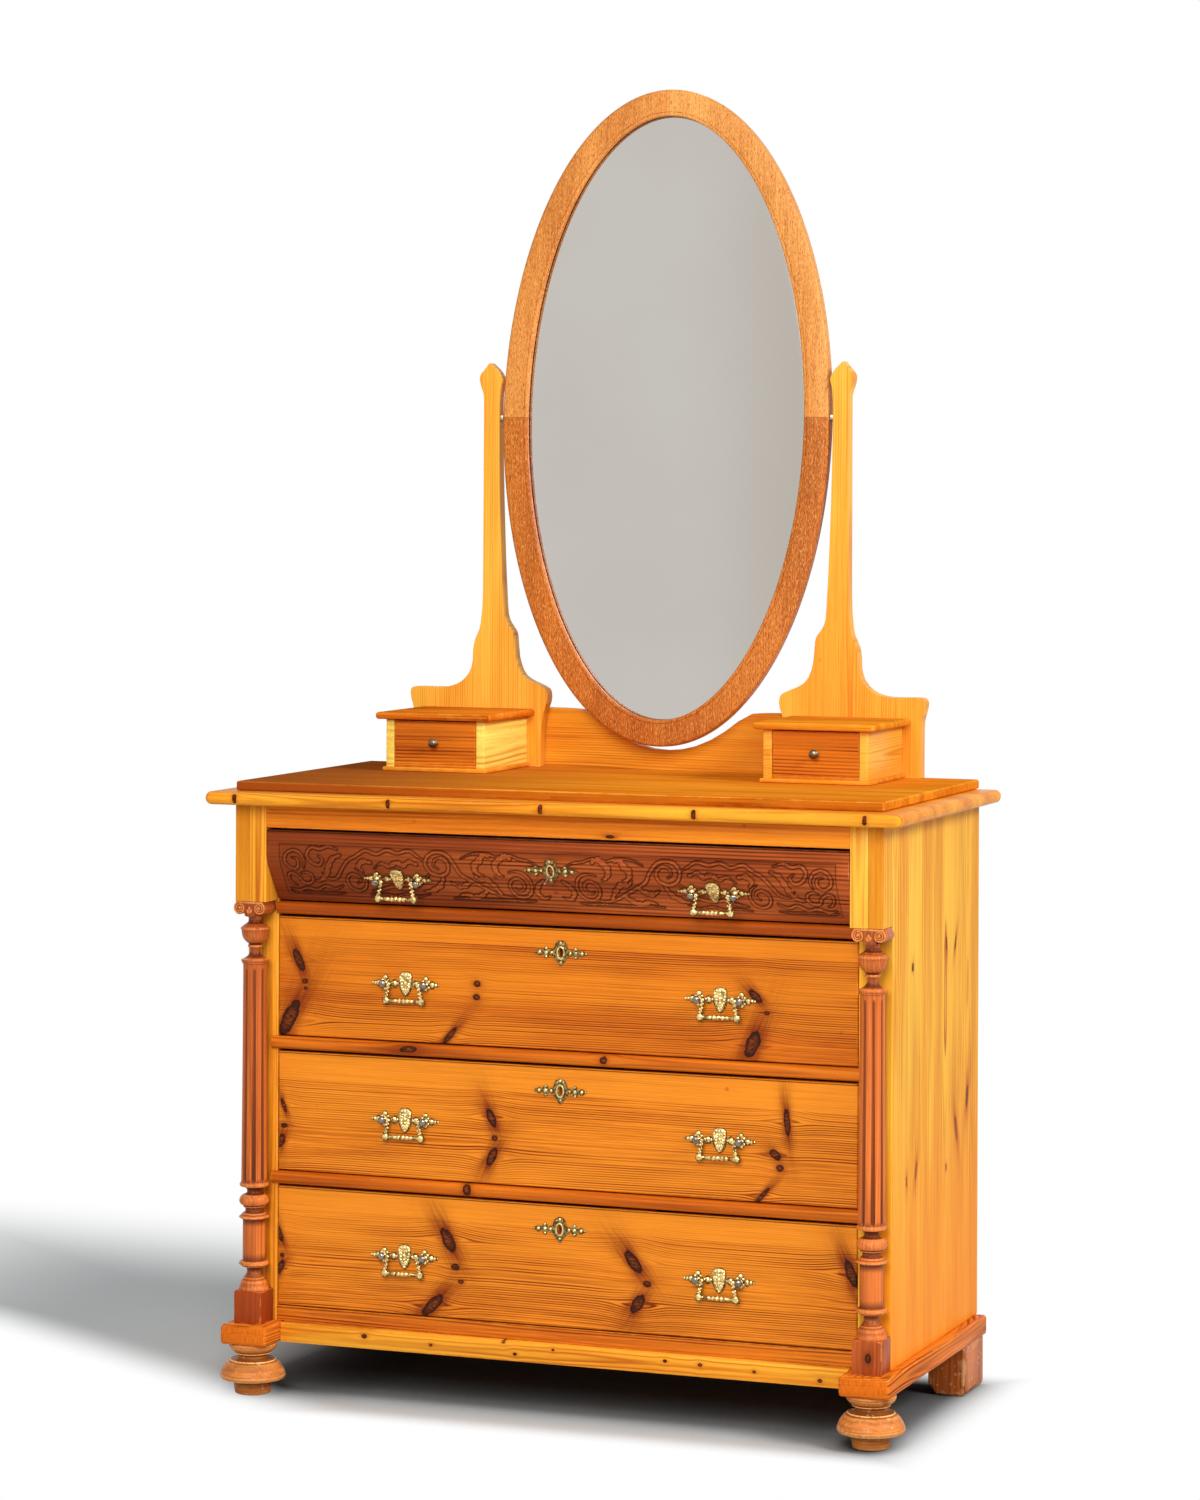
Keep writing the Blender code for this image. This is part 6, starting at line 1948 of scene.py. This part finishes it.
SCROLLS: tuple[tuple[tuple[Point, ...], float], ...] = (
    (((60, 32), (54, 29), (47, 33), (46, 41), (53, 47), (62, 45), (68, 37), (66, 27), (57, 20),
      (44, 21), (36, 30), (35, 43), (42, 54), (54, 58), (66, 56)), 1.7),
    (((57, 20), (72, 18), (88, 21), (104, 29), (124, 40), (140, 50), (148, 64), (158, 77),
      (173, 82), (187, 77), (193, 65), (187, 52), (173, 47), (160, 53), (158, 65), (166, 73),
      (177, 71), (180, 62), (174, 57)), 1.9),
    (((62, 76), (70, 80), (80, 74), (86, 64), (82, 54), (75, 50)), 3.2),
    (((95, 79), (104, 80), (111, 70), (118, 63), (114, 53), (106, 50)), 3.2),
    (((20, 66), (32, 73), (48, 76), (64, 81), (84, 78), (98, 82), (120, 81), (138, 74)), 1.1),
    (((84, 22), (92, 34), (102, 44), (113, 44), (120, 52)), 2.6),
    (((104, 28), (114, 20), (126, 16), (140, 20), (150, 17)), 2.6),
    (((126, 41), (136, 34), (148, 32), (158, 38)), 2.4),
    (((14, 46), (24, 38), (28, 27), (20, 19), (10, 22)), 2.4),
    (((34, 14), (52, 13), (70, 14), (92, 13), (116, 13), (138, 14), (160, 13)), 0.9),
    (((190, 66), (204, 74), (218, 82), (236, 78), (252, 82), (268, 76), (286, 80), (300, 72),
      (314, 64), (326, 50), (336, 38), (350, 36), (358, 44)), 1.8),
    (((188, 50), (200, 38), (214, 29), (232, 25), (252, 27), (270, 22), (286, 19)), 1.8),
    (((168, 44), (176, 32), (190, 24), (204, 22)), 2.6),
    (((196, 18), (214, 14), (232, 17), (250, 13), (268, 15), (290, 13)), 1.0),
    (((206, 62), (218, 66), (228, 60), (238, 64), (250, 58), (262, 62), (274, 54)), 2.3),
    (((278, 62), (290, 64), (298, 56), (292, 48)), 2.6),
    (((306, 30), (300, 34), (302, 41), (310, 44), (318, 40), (321, 31), (316, 22), (305, 19),
      (295, 24), (291, 34), (295, 45), (304, 52)), 1.6),
    (((326, 72), (338, 66), (346, 54), (352, 42), (364, 32), (376, 32)), 2.8),
    (((330, 80), (344, 84), (358, 80), (370, 82), (378, 72), (372, 60), (360, 56), (354, 64),
      (360, 70)), 1.9),
    (((386, 50), (383, 60), (388, 72), (399, 77), (410, 72), (414, 61), (409, 52), (399, 49),
      (393, 55), (394, 64), (402, 66)), 1.8),
    (((392, 42), (384, 44), (376, 40), (376, 32), (384, 27), (393, 29), (396, 36), (406, 42),
      (413, 38), (411, 28), (403, 24)), 1.7),
    (((330, 26), (344, 20), (358, 24), (372, 18), (388, 20), (402, 16), (414, 18)), 1.5),
    (((330, 14), (352, 13), (376, 14), (400, 13), (416, 14)), 0.9),
)


@dataclass
class CarvedFront:
    """The dark drawer front with its hollow curve and carved scrolls."""

    node: str = "drawer_1_front"
    box: str = "drawer_1_box"
    past_end: float = 0.0004
    columns: int = 760
    rows: int = 104
    stride: float = 0.01
    edge_sunk: float = 0.0008
    sunk: float = 0.0014
    frame_half: float = 421.0
    frame_low: float = 10.0
    frame_high: float = 86.0

    def build(self) -> None:
        """Carve the front out of a fine grid."""
        low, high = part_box(self.node)
        clear_selection()
        bpy.ops.mesh.primitive_grid_add(x_subdivisions=self.columns, y_subdivisions=self.rows,
                                        size=1.0)
        piece = bpy.context.object
        piece.name = "carved_front"
        curve = flowing(CURVED_FACE, 6)
        lengths = [0.0]
        for (z, y), (above, near) in zip(curve, curve[1:]):
            lengths.append(lengths[-1] + math.hypot(above - z, near - y))
        shares = [length / lengths[-1] for length in lengths]
        tree, widths = self.strokes()
        heights, depths = zip(*curve)

        def spot(share: float) -> Point:
            """Return the height and the depth of the face at a share of the way up it."""
            return float(np.interp(share, shares, heights)), float(np.interp(share, shares, depths))

        relief = []
        border = 0.4 / self.columns
        for vertex in piece.data.vertices:
            across, up = vertex.co.x + 0.5, vertex.co.y + 0.5
            x = low.x + (high.x - low.x) * across
            z, y = spot(up)
            under, over = spot(up - self.stride), spot(up + self.stride)
            normal = Vector((0.0, -(over[0] - under[0]), over[1] - under[1])).normalized()
            depth, mark = self.carving(tree, widths, x * 1000, (z - low.z) * 1000)
            relief.append(mark)
            edge = min(across, 1 - across) < border or min(up, 1 - up) < border
            vertex.co = Vector((x, y, z)) - normal * (depth + (self.edge_sunk if edge else 0.0))
        layer = piece.data.attributes.new("relief", "FLOAT", "POINT")
        layer.data.foreach_set("value", relief)
        with editing(piece, "DESELECT"):
            bpy.ops.mesh.select_mode(type="EDGE")
            bpy.ops.mesh.select_non_manifold()
            bpy.ops.mesh.extrude_edges_move(TRANSFORM_OT_translate={"value": (0, 0.01, 0)})
        for vertex in piece.data.vertices:
            if vertex.select:
                vertex.co.y = high.y
        bpy.ops.object.mode_set(mode="EDIT")
        bpy.ops.mesh.edge_face_add()
        bpy.ops.mesh.select_all(action="SELECT")
        bpy.ops.mesh.normals_make_consistent(inside=False)
        bpy.ops.object.mode_set(mode="OBJECT")
        bpy.ops.object.shade_smooth_by_angle(angle=SMOOTH)
        cut(piece, self.tails())
        # The front deepens towards its left end, and gets a painted shadow line along its top edge.
        finish = STAINED.for_node(self.node, Cut.FRONT_ACROSS, 28, dents=0.16, fade=0.75,
                                  gap=0.0034)
        dress(piece, finish, "drawer_1", "stained_pine", (self.node,))

    def tails(self) -> Piece:
        """Return a copy of the drawer's box, widened so that its tails cut through the ends."""
        box = frame["nodes"][self.box]
        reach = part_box(self.node)[1].x + self.past_end
        widened = Matrix.Diagonal((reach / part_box(self.box)[1].x, 1, 1, 1))
        mesh = box.data.copy()
        mesh.transform(widened @ box.matrix_world)
        return added("sockets", mesh)

    def strokes(self) -> tuple[KDTree, list[float]]:
        """Lay the scrolls and leaves out on both halves of the face.

        Returns:
            A tree of the points along the strokes, and the half width at each.
        """
        points: list[tuple[float, float, float]] = []
        for line, wide in SCROLLS:
            path = flowing(line, 14)
            for n, (u, v) in enumerate(path):
                share = n / (len(path) - 1)
                own = wide * min(1.0, 0.25 + 4.0 * share, 0.15 + 5.0 * (1 - share))
                if wide > 2.2:
                    own = wide * (0.15 + 0.85 * math.sin(math.pi * min(1.0, 0.08 + share)) ** 0.8)
                    own *= 1.25 + 0.32 * math.sin(0.55 * n)
                points += [(u, v, own), (-u, v, own)]
        tree = KDTree(len(points))
        for n, (u, v, own) in enumerate(points):
            tree.insert((u, v, 0.0), n)
        tree.balance()
        return tree, [own for u, v, own in points]

    def carving(self, tree: KDTree, widths: Sequence[float], u: float, v: float) -> Point:
        """Return the carved depth in metres and the relief mark of one point.

        Args:
            tree: the strokes' points.
            widths: their half widths.
            u: the point's distance from the middle, in millimetres.
            v: its height above the lower edge, in millimetres.

        Returns:
            The depth and the mark.
        """
        # The mark darkens the frame's groove, the lips round the strokes and the sunk ground,
        # painted shade, and lightens the strokes' crowns, partly painted highlight.
        inside = min(self.frame_half - abs(u), v - self.frame_low, self.frame_high - v)
        groove = math.exp(-((inside / 0.7) ** 2))
        depth, mark = 0.0007 * groove, -0.9 * groove
        if inside > 0.0:
            gap = min(far - widths[n] for _, n, far in tree.find_n((u, v, 0.0), 4))
            ground = held(gap / 0.9) * min(1.0, inside / 1.5)
            lip = math.exp(-(((gap - 0.85) / 1.15) ** 2))
            depth = max(depth, self.sunk * ground + 0.0005 * lip)
            crown = 0.85 * math.exp(-(((gap + 0.65) / 0.45) ** 2))
            mark = min(mark, -1.0 * lip, -0.12 * ground) if lip > 0.20 or gap > 0 else crown
        return depth, mark


@dataclass
class Drawers:
    """The wide drawers' fronts and boxes."""

    def build(self) -> None:
        """Finish the fronts and the boxes."""
        for number, heart, sap in ((2, 0.50, 0.835), (3, 0.32, 0.755), (4, 0.38, 0.805)):
            name = "drawer_%d_front" % number
            wood = HONEY if number == 2 else LOW_HONEY
            # Each front gets a painted shadow line along its top edge.
            soften_node(name, wood.for_node(
                name, Cut.FRONT_ACROSS, 29 + number, heart=heart, sap=sap,
                knots=FRONT_KNOTS[number], gap=0.0034), 0.0012)
        for number in DRAWER_NUMBERS:
            name = "drawer_%d_box" % number
            soften_node(name, RAW.for_node(name, Cut.SIDE_BACK, 33 + number), 0.0006)


# Mirror stand


@dataclass
class MirrorStand:
    """The uprights, the backboard and the pivots."""

    def build(self) -> None:
        """Finish the stand's solids."""
        for word, pile in (("left", 38), ("right", 39)):
            name = "upright_" + word
            soften_node(name, GOLD.for_node(name, Cut.FRONT_UP, pile), 0.0022)
            soften_node("pivot_" + word, STEEL, 0.0004)
        soften_node("stand_backboard", BRIGHT.for_node(
            "stand_backboard", Cut.FRONT_ACROSS, 40, heart=0.2, fade=-0.75), 0.0016)


@dataclass
class OvalMirror:
    """The veneered oval frame and its bevelled glass."""

    half_width: float = 0.2619
    half_height: float = 0.4964
    thick: float = 0.018
    face: float = 0.040
    ledge: float = 0.008
    lip: float = 0.008
    tilt: float = 0.0412
    steps: int = 200
    seam: float = 0.00012
    rounding: float = 0.0045
    bead: float = 0.0024
    bevel_width: float = 0.026
    bevel_fall: float = 0.0025
    play: float = 0.0003

    def oval(self, inset: float) -> list[Point]:
        """Return the mirror's oval, moved in from its rim."""
        points = []
        for i in range(self.steps):
            turn = 2 * math.pi * i / self.steps
            across, along = math.sin(turn), math.cos(turn)
            normal = Vector((across / self.half_width, along / self.half_height)).normalized()
            points.append((self.half_width * across - inset * normal.x,
                           self.half_height * along - inset * normal.y))
        return points

    def build(self) -> None:
        """Sweep the frame round the glass and bevel the glass."""
        joint = next(j for j in frame["joints"] if j["name"] == "mirror_tilt")
        place = Matrix.Translation(joint["pos_m"]) @ Matrix.Rotation(-self.tilt, 4, "X")
        half = self.thick / 2
        inner, ledge = self.face, self.face - self.ledge
        section = [(0.0, -half), (0.0, half - self.rounding)]
        section += [(self.rounding * (1 - math.cos(a)), half - self.rounding * (1 - math.sin(a)))
                    for a in (math.radians(d) for d in (15, 30, 45, 60, 75, 90))]
        section += [(inner - 0.0062, half), (inner - 0.0055, half - 0.0010), (inner - 0.0048, half)]
        section += [(inner - self.bead + self.bead * math.sin(a),
                     half - self.bead * (1 - math.cos(a)))
                    for a in (math.radians(d) for d in (0, 20, 40, 60, 80, 90))]
        section += [(inner, half - self.lip), (ledge, half - self.lip), (ledge, -half)]
        guide = bpy.data.curves.new("frame_section", "CURVE")
        guide.dimensions = "2D"
        guide.fill_mode = "NONE"
        spline = guide.splines.new("POLY")
        spline.points.add(len(section) - 1)
        for point, (a, b) in zip(spline.points, section):
            point.co = (a, b, 0, 1)
        spline.use_cyclic_u = True
        rail = added("frame_section", guide)
        ring = drawn("oval_frame", [self.oval(0.0)], True, True, fill_mode="NONE",
                     bevel_mode="OBJECT", bevel_object=rail)
        bpy.data.objects.remove(rail, do_unlink=True)
        clean(ring)
        low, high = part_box("mirror_frame")
        stands_for: Sequence[str] = ("mirror_frame",)
        for n, (x, y, veneer) in enumerate(((-1, 1, UPPER_VENEER), (1, 1, PALE_VENEER),
                                            (-1, -1, RED_VENEER), (1, -1, LOWER_VENEER))):
            name = "oval_quarter_%d" % (n + 1)
            quarter = copied(ring, name, Matrix.Identity(4))
            self.halve(quarter, (x, 0, 0))
            self.halve(quarter, (0, y, 0))
            quarter.matrix_world = place @ TURNS[Facing.FRONT]
            clean(settle(quarter))
            finish = veneer.material(name + "_veneer", Sawing(Cut.FRONT_UP, 41 + 3 * n), low, high)
            dress(quarter, finish, "mirror", "veneered_frame", stands_for)
            stands_for = ()
        bpy.data.objects.remove(ring, do_unlink=True)
        self.glass(place, half, ledge)
        backing = RAW.for_node("mirror_backing", Cut.FRONT_UP, 42)
        soften_node("mirror_backing", backing, 0.0004)

    def halve(self, piece: Piece, side: Sequence[float]) -> None:
        """Keep the half of a piece on one side of its middle.

        Args:
            piece: the piece.
            side: points from the middle to the half that stays.
        """
        with editing(piece):
            bpy.ops.mesh.bisect(plane_co=Vector(side) * self.seam, plane_no=side, use_fill=True,
                                clear_inner=True, threshold=0.000001)

    def glass(self, place: Matrix, half: float, ledge: float) -> None:
        """Cut the glass and grind its bevel.

        Args:
            place: where the mirror hangs.
            half: half the frame's thickness.
            ledge: how far in from the rim the rebate starts.
        """
        front = -half + self.lip + self.play
        pane = sawn("pane", [self.oval(ledge + self.play)], Facing.FRONT, front, front + 0.005)
        flat = min(pane.data.polygons, key=lambda face: face.center.y).index
        with editing(pane, "DESELECT"):
            bpy.ops.mesh.select_mode(type="FACE")
        pane.data.polygons[flat].select = True
        bpy.ops.object.mode_set(mode="EDIT")
        bpy.ops.mesh.inset(thickness=self.bevel_width, depth=0.0, use_even_offset=True)
        bpy.ops.object.mode_set(mode="OBJECT")
        inside = {i for face in pane.data.polygons if face.select for i in face.vertices}
        for vertex in pane.data.vertices:
            if vertex.index not in inside and vertex.co.y < front + 0.0005:
                vertex.co.y += self.bevel_fall
        pane.matrix_world = place
        settle(pane)
        pane.name = "bevelled_glass"
        dress(pane, silvering(), "mirror", "silvered_glass", ("mirror_glass",))


# Jewel cases


@dataclass
class JewelCase:
    """One small case of boards, its drawer front and its knob."""

    word: str
    wall: float = 0.013
    top_thick: float = 0.0105
    back_thick: float = 0.008
    lip_high: float = 0.006
    lip_in: float = 0.0085
    play: float = 0.0008
    seam: float = 0.0001

    def build(self) -> None:
        """Make the boards of the case and finish its drawer."""
        node = "jewel_case_" + self.word
        low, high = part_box(node)
        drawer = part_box("jewel_drawer_" + self.word)
        side = -1 if self.word == "left" else 1
        near, far = drawer[0].x - self.play, drawer[1].x + self.play
        roof = high.z - self.top_thick
        front = drawer[0].y
        floor = drawer[0].z - 0.0003
        outer = (near - self.wall, far + self.wall)
        left, right = near + self.seam, far - self.seam
        foot, under = low.z + self.lip_high, roof - self.seam
        wall, lid, face = ((SUNNY, RED_AMBER, STRIPED) if side < 0 else (GOLD, AMBER, DARK_STRIPED))
        stands_for: Sequence[str] = (node,)
        boards = (
            ("side_a", (outer[0], front, foot), (near, high.y, under), wall, Cut.SIDE_BACK, 0.0008),
            ("side_b", (far, front, foot), (outer[1], high.y, under), wall, Cut.SIDE_BACK, 0.0008),
            ("floor", (left, front, foot), (right, high.y, floor), HONEY, Cut.FRONT_ACROSS, 0.0004),
            ("back", (left, high.y - self.back_thick, floor), (right, high.y, under),
             RAW, Cut.FRONT_ACROSS, 0.0004),
            ("top", (low.x, low.y, roof), (high.x, high.y, high.z), lid, Cut.TOP_ACROSS, 0.0042),
            ("lip", (low.x + self.lip_in, low.y + self.lip_in, low.z),
             (high.x - self.lip_in, high.y, low.z + self.lip_high),
             AMBER, Cut.TOP_ACROSS, 0.0018),
        )
        for n, (label, a, b, finish, cut_as, rounding) in enumerate(boards):
            piece = block("case_%s_%s" % (self.word, label), a, b, rounding, 3)
            wood = finish.material("case_%s_%s_wood" % (self.word, label), Sawing(
                cut_as, 50 + side * 4 + n, dents=0.16), a, b)
            dress(piece, wood, "carcass", finish.slot, stands_for)
            stands_for = ()
        name = "jewel_drawer_" + self.word
        soften_node(name, face.for_node(name, Cut.FRONT_ACROSS, 60 + side, heart=0.9), 0.0008)
        self.knob()

    def knob(self) -> None:
        """Turn the small dark knob."""
        node = "jewel_knob_" + self.word
        low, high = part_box(node)
        middle = (low + high) / 2
        radius, reach = (high.x - low.x) / 2, high.y - low.y
        shares = ((1.000, 0.300), (0.970, 0.560), (0.900, 0.840), (0.800, 1.000), (0.700, 1.000),
                  (0.600, 0.860), (0.520, 0.600), (0.420, 0.480), (0.200, 0.480), (0.120, 0.620),
                  (0.070, 0.760), (0.000, 0.760))
        profile = [(radius * r, reach * h) for h, r in shares]
        place = shift(middle.x, high.y, middle.z) @ FORWARD
        piece = spun("knob_" + self.word, profile, 40, place)
        dress(piece, BRONZE, "jewel_" + self.word, "bronze", (node,))


# Studio


@dataclass
class Studio:
    """The floor, the light and the camera."""

    yaw: float = 0.36551
    roll: float = 0.0043
    place: tuple[float, float, float] = (2.2106, -5.8167, 1.3383)

    def build(self) -> None:
        """Set up the floor, world, lamps and camera."""
        self.floor()
        self.world()
        self.lamps()
        self.camera()

    def floor(self) -> None:
        """Lay a pale floor that fades to white, with a painted contact shadow and painted light
        over parts of its cast shadow.
        """
        clear_selection()
        bpy.ops.mesh.primitive_plane_add(size=60, location=(0, 0, -0.0002))
        floor = bpy.context.object
        floor.name = "studio_floor"
        made, desk, shader = new_material("pale_floor")
        # Ambient occlusion darkens the floor's colour near the chest: a painted contact shadow.
        near = desk.node("ShaderNodeAmbientOcclusion", {"Color": (1.0, 1.0, 1.0),
                                                        "Distance": 0.16}, samples=8)
        dark = desk.sum("POWER", near.outputs["AO"], 1.6)
        desk.feed(shader.inputs["Base Color"], desk.mix(dark, (0.0, 0.0, 0.0), (0.68, 0.72, 0.73)))
        shader.inputs["Roughness"].default_value = 0.9
        shader.inputs["Specular IOR Level"].default_value = 0.0
        # Where the mask is set, seen rays meet plain white glow in place of the lit floor; its
        # lines, one slanting, cut the cast shadow to a drawn shape: painted light.
        place = desk.place()
        x, y, _ = desk.parts(place)
        slant = desk.line(x, 0.604, desk.plus(y, 0.572))
        corner = desk.times(desk.span(x, 0.0, 0.25), desk.span(y, 0.20, 0.32))
        away = desk.span(x, 0.47, 0.57)
        others = (desk.span(x, -0.95, -1.95), desk.span(y, -0.25, -0.33), desk.span(y, 0.45, 1.15),
                  desk.span(slant, 0.16, -0.02), corner)
        for edge in others:
            away = desk.most(away, edge)
        seen = desk.seen()
        glow = desk.node("ShaderNodeEmission", {"Color": (1, 1, 1, 1), "Strength": 1.0})
        blend = desk.node("ShaderNodeMixShader", {0: desk.times(away, seen)})
        out = made.node_tree.nodes["Material Output"]
        desk.feed(blend.inputs[1], shader.outputs[0])
        desk.feed(blend.inputs[2], glow.outputs[0])
        desk.feed(out.inputs["Surface"], blend.outputs[0])
        floor.data.materials.append(made)

    def world(self) -> None:
        """Light the world evenly, and show it white."""
        world = bpy.data.worlds.new("studio")
        bpy.context.scene.world = world
        world.use_nodes = True
        desk = Desk(world.node_tree)
        back = world.node_tree.nodes["Background"]
        seen = desk.seen()
        desk.feed(back.inputs["Color"], (1.0, 1.0, 1.0))
        desk.feed(back.inputs["Strength"], desk.line(seen, 0.78, 0.22))

    def lamps(self) -> None:
        """Hang the soft lamps."""
        for name, spot, aim, size, power in (
                ("side_light", (4.4, -1.2, 3.4), (0.2, 0.0, 0.5), 1.6, 200.0),
                ("front_light", (0.6, -4.2, 2.9), (0.0, -0.2, 0.5), 2.6, 192.0)):
            lamp = bpy.data.lights.new(name, "AREA")
            lamp.size = size
            lamp.energy = power
            holder = added(name, lamp)
            holder.location = spot
            way = Vector(aim) - Vector(spot)
            holder.rotation_euler = way.to_track_quat("-Z", "Y").to_euler()

    def camera(self) -> None:
        """Set the camera at the photograph's viewing angle."""
        data = bpy.data.cameras.new("view")
        data.lens = 102.42
        data.sensor_width = 36.0
        data.shift_y = -0.1856
        data.clip_end = 100.0
        holder = added("view", data)
        right = Vector((math.cos(self.yaw), math.sin(self.yaw), 0.0))
        ahead = Vector((-math.sin(self.yaw), math.cos(self.yaw), 0.0))
        up = Vector((0.0, 0.0, 1.0))
        tilted = right * math.cos(self.roll) + up * math.sin(self.roll)
        raised = up * math.cos(self.roll) - right * math.sin(self.roll)
        turn = Matrix((tilted, raised, -ahead)).transposed().to_4x4()
        holder.matrix_world = Matrix.Translation(self.place) @ turn
        bpy.context.scene.camera = holder
        bpy.context.scene.view_settings.view_transform = "Standard"


def main() -> None:
    """Build and dress every sub-assembly in order."""
    logging.basicConfig(level=logging.INFO, format="%(name)s %(message)s")
    for part in (
            Carcass(), FaceFrame(), DividerRails(), Top(), Base(), BunFoot(), Column(),
            CarvedFront(), Drawers(), Brasses(), Keyholes(), MirrorStand(), OvalMirror(),
            JewelCase("left"), JewelCase("right"), Studio()):
        part.build()


if __name__ == "__main__":
    main()
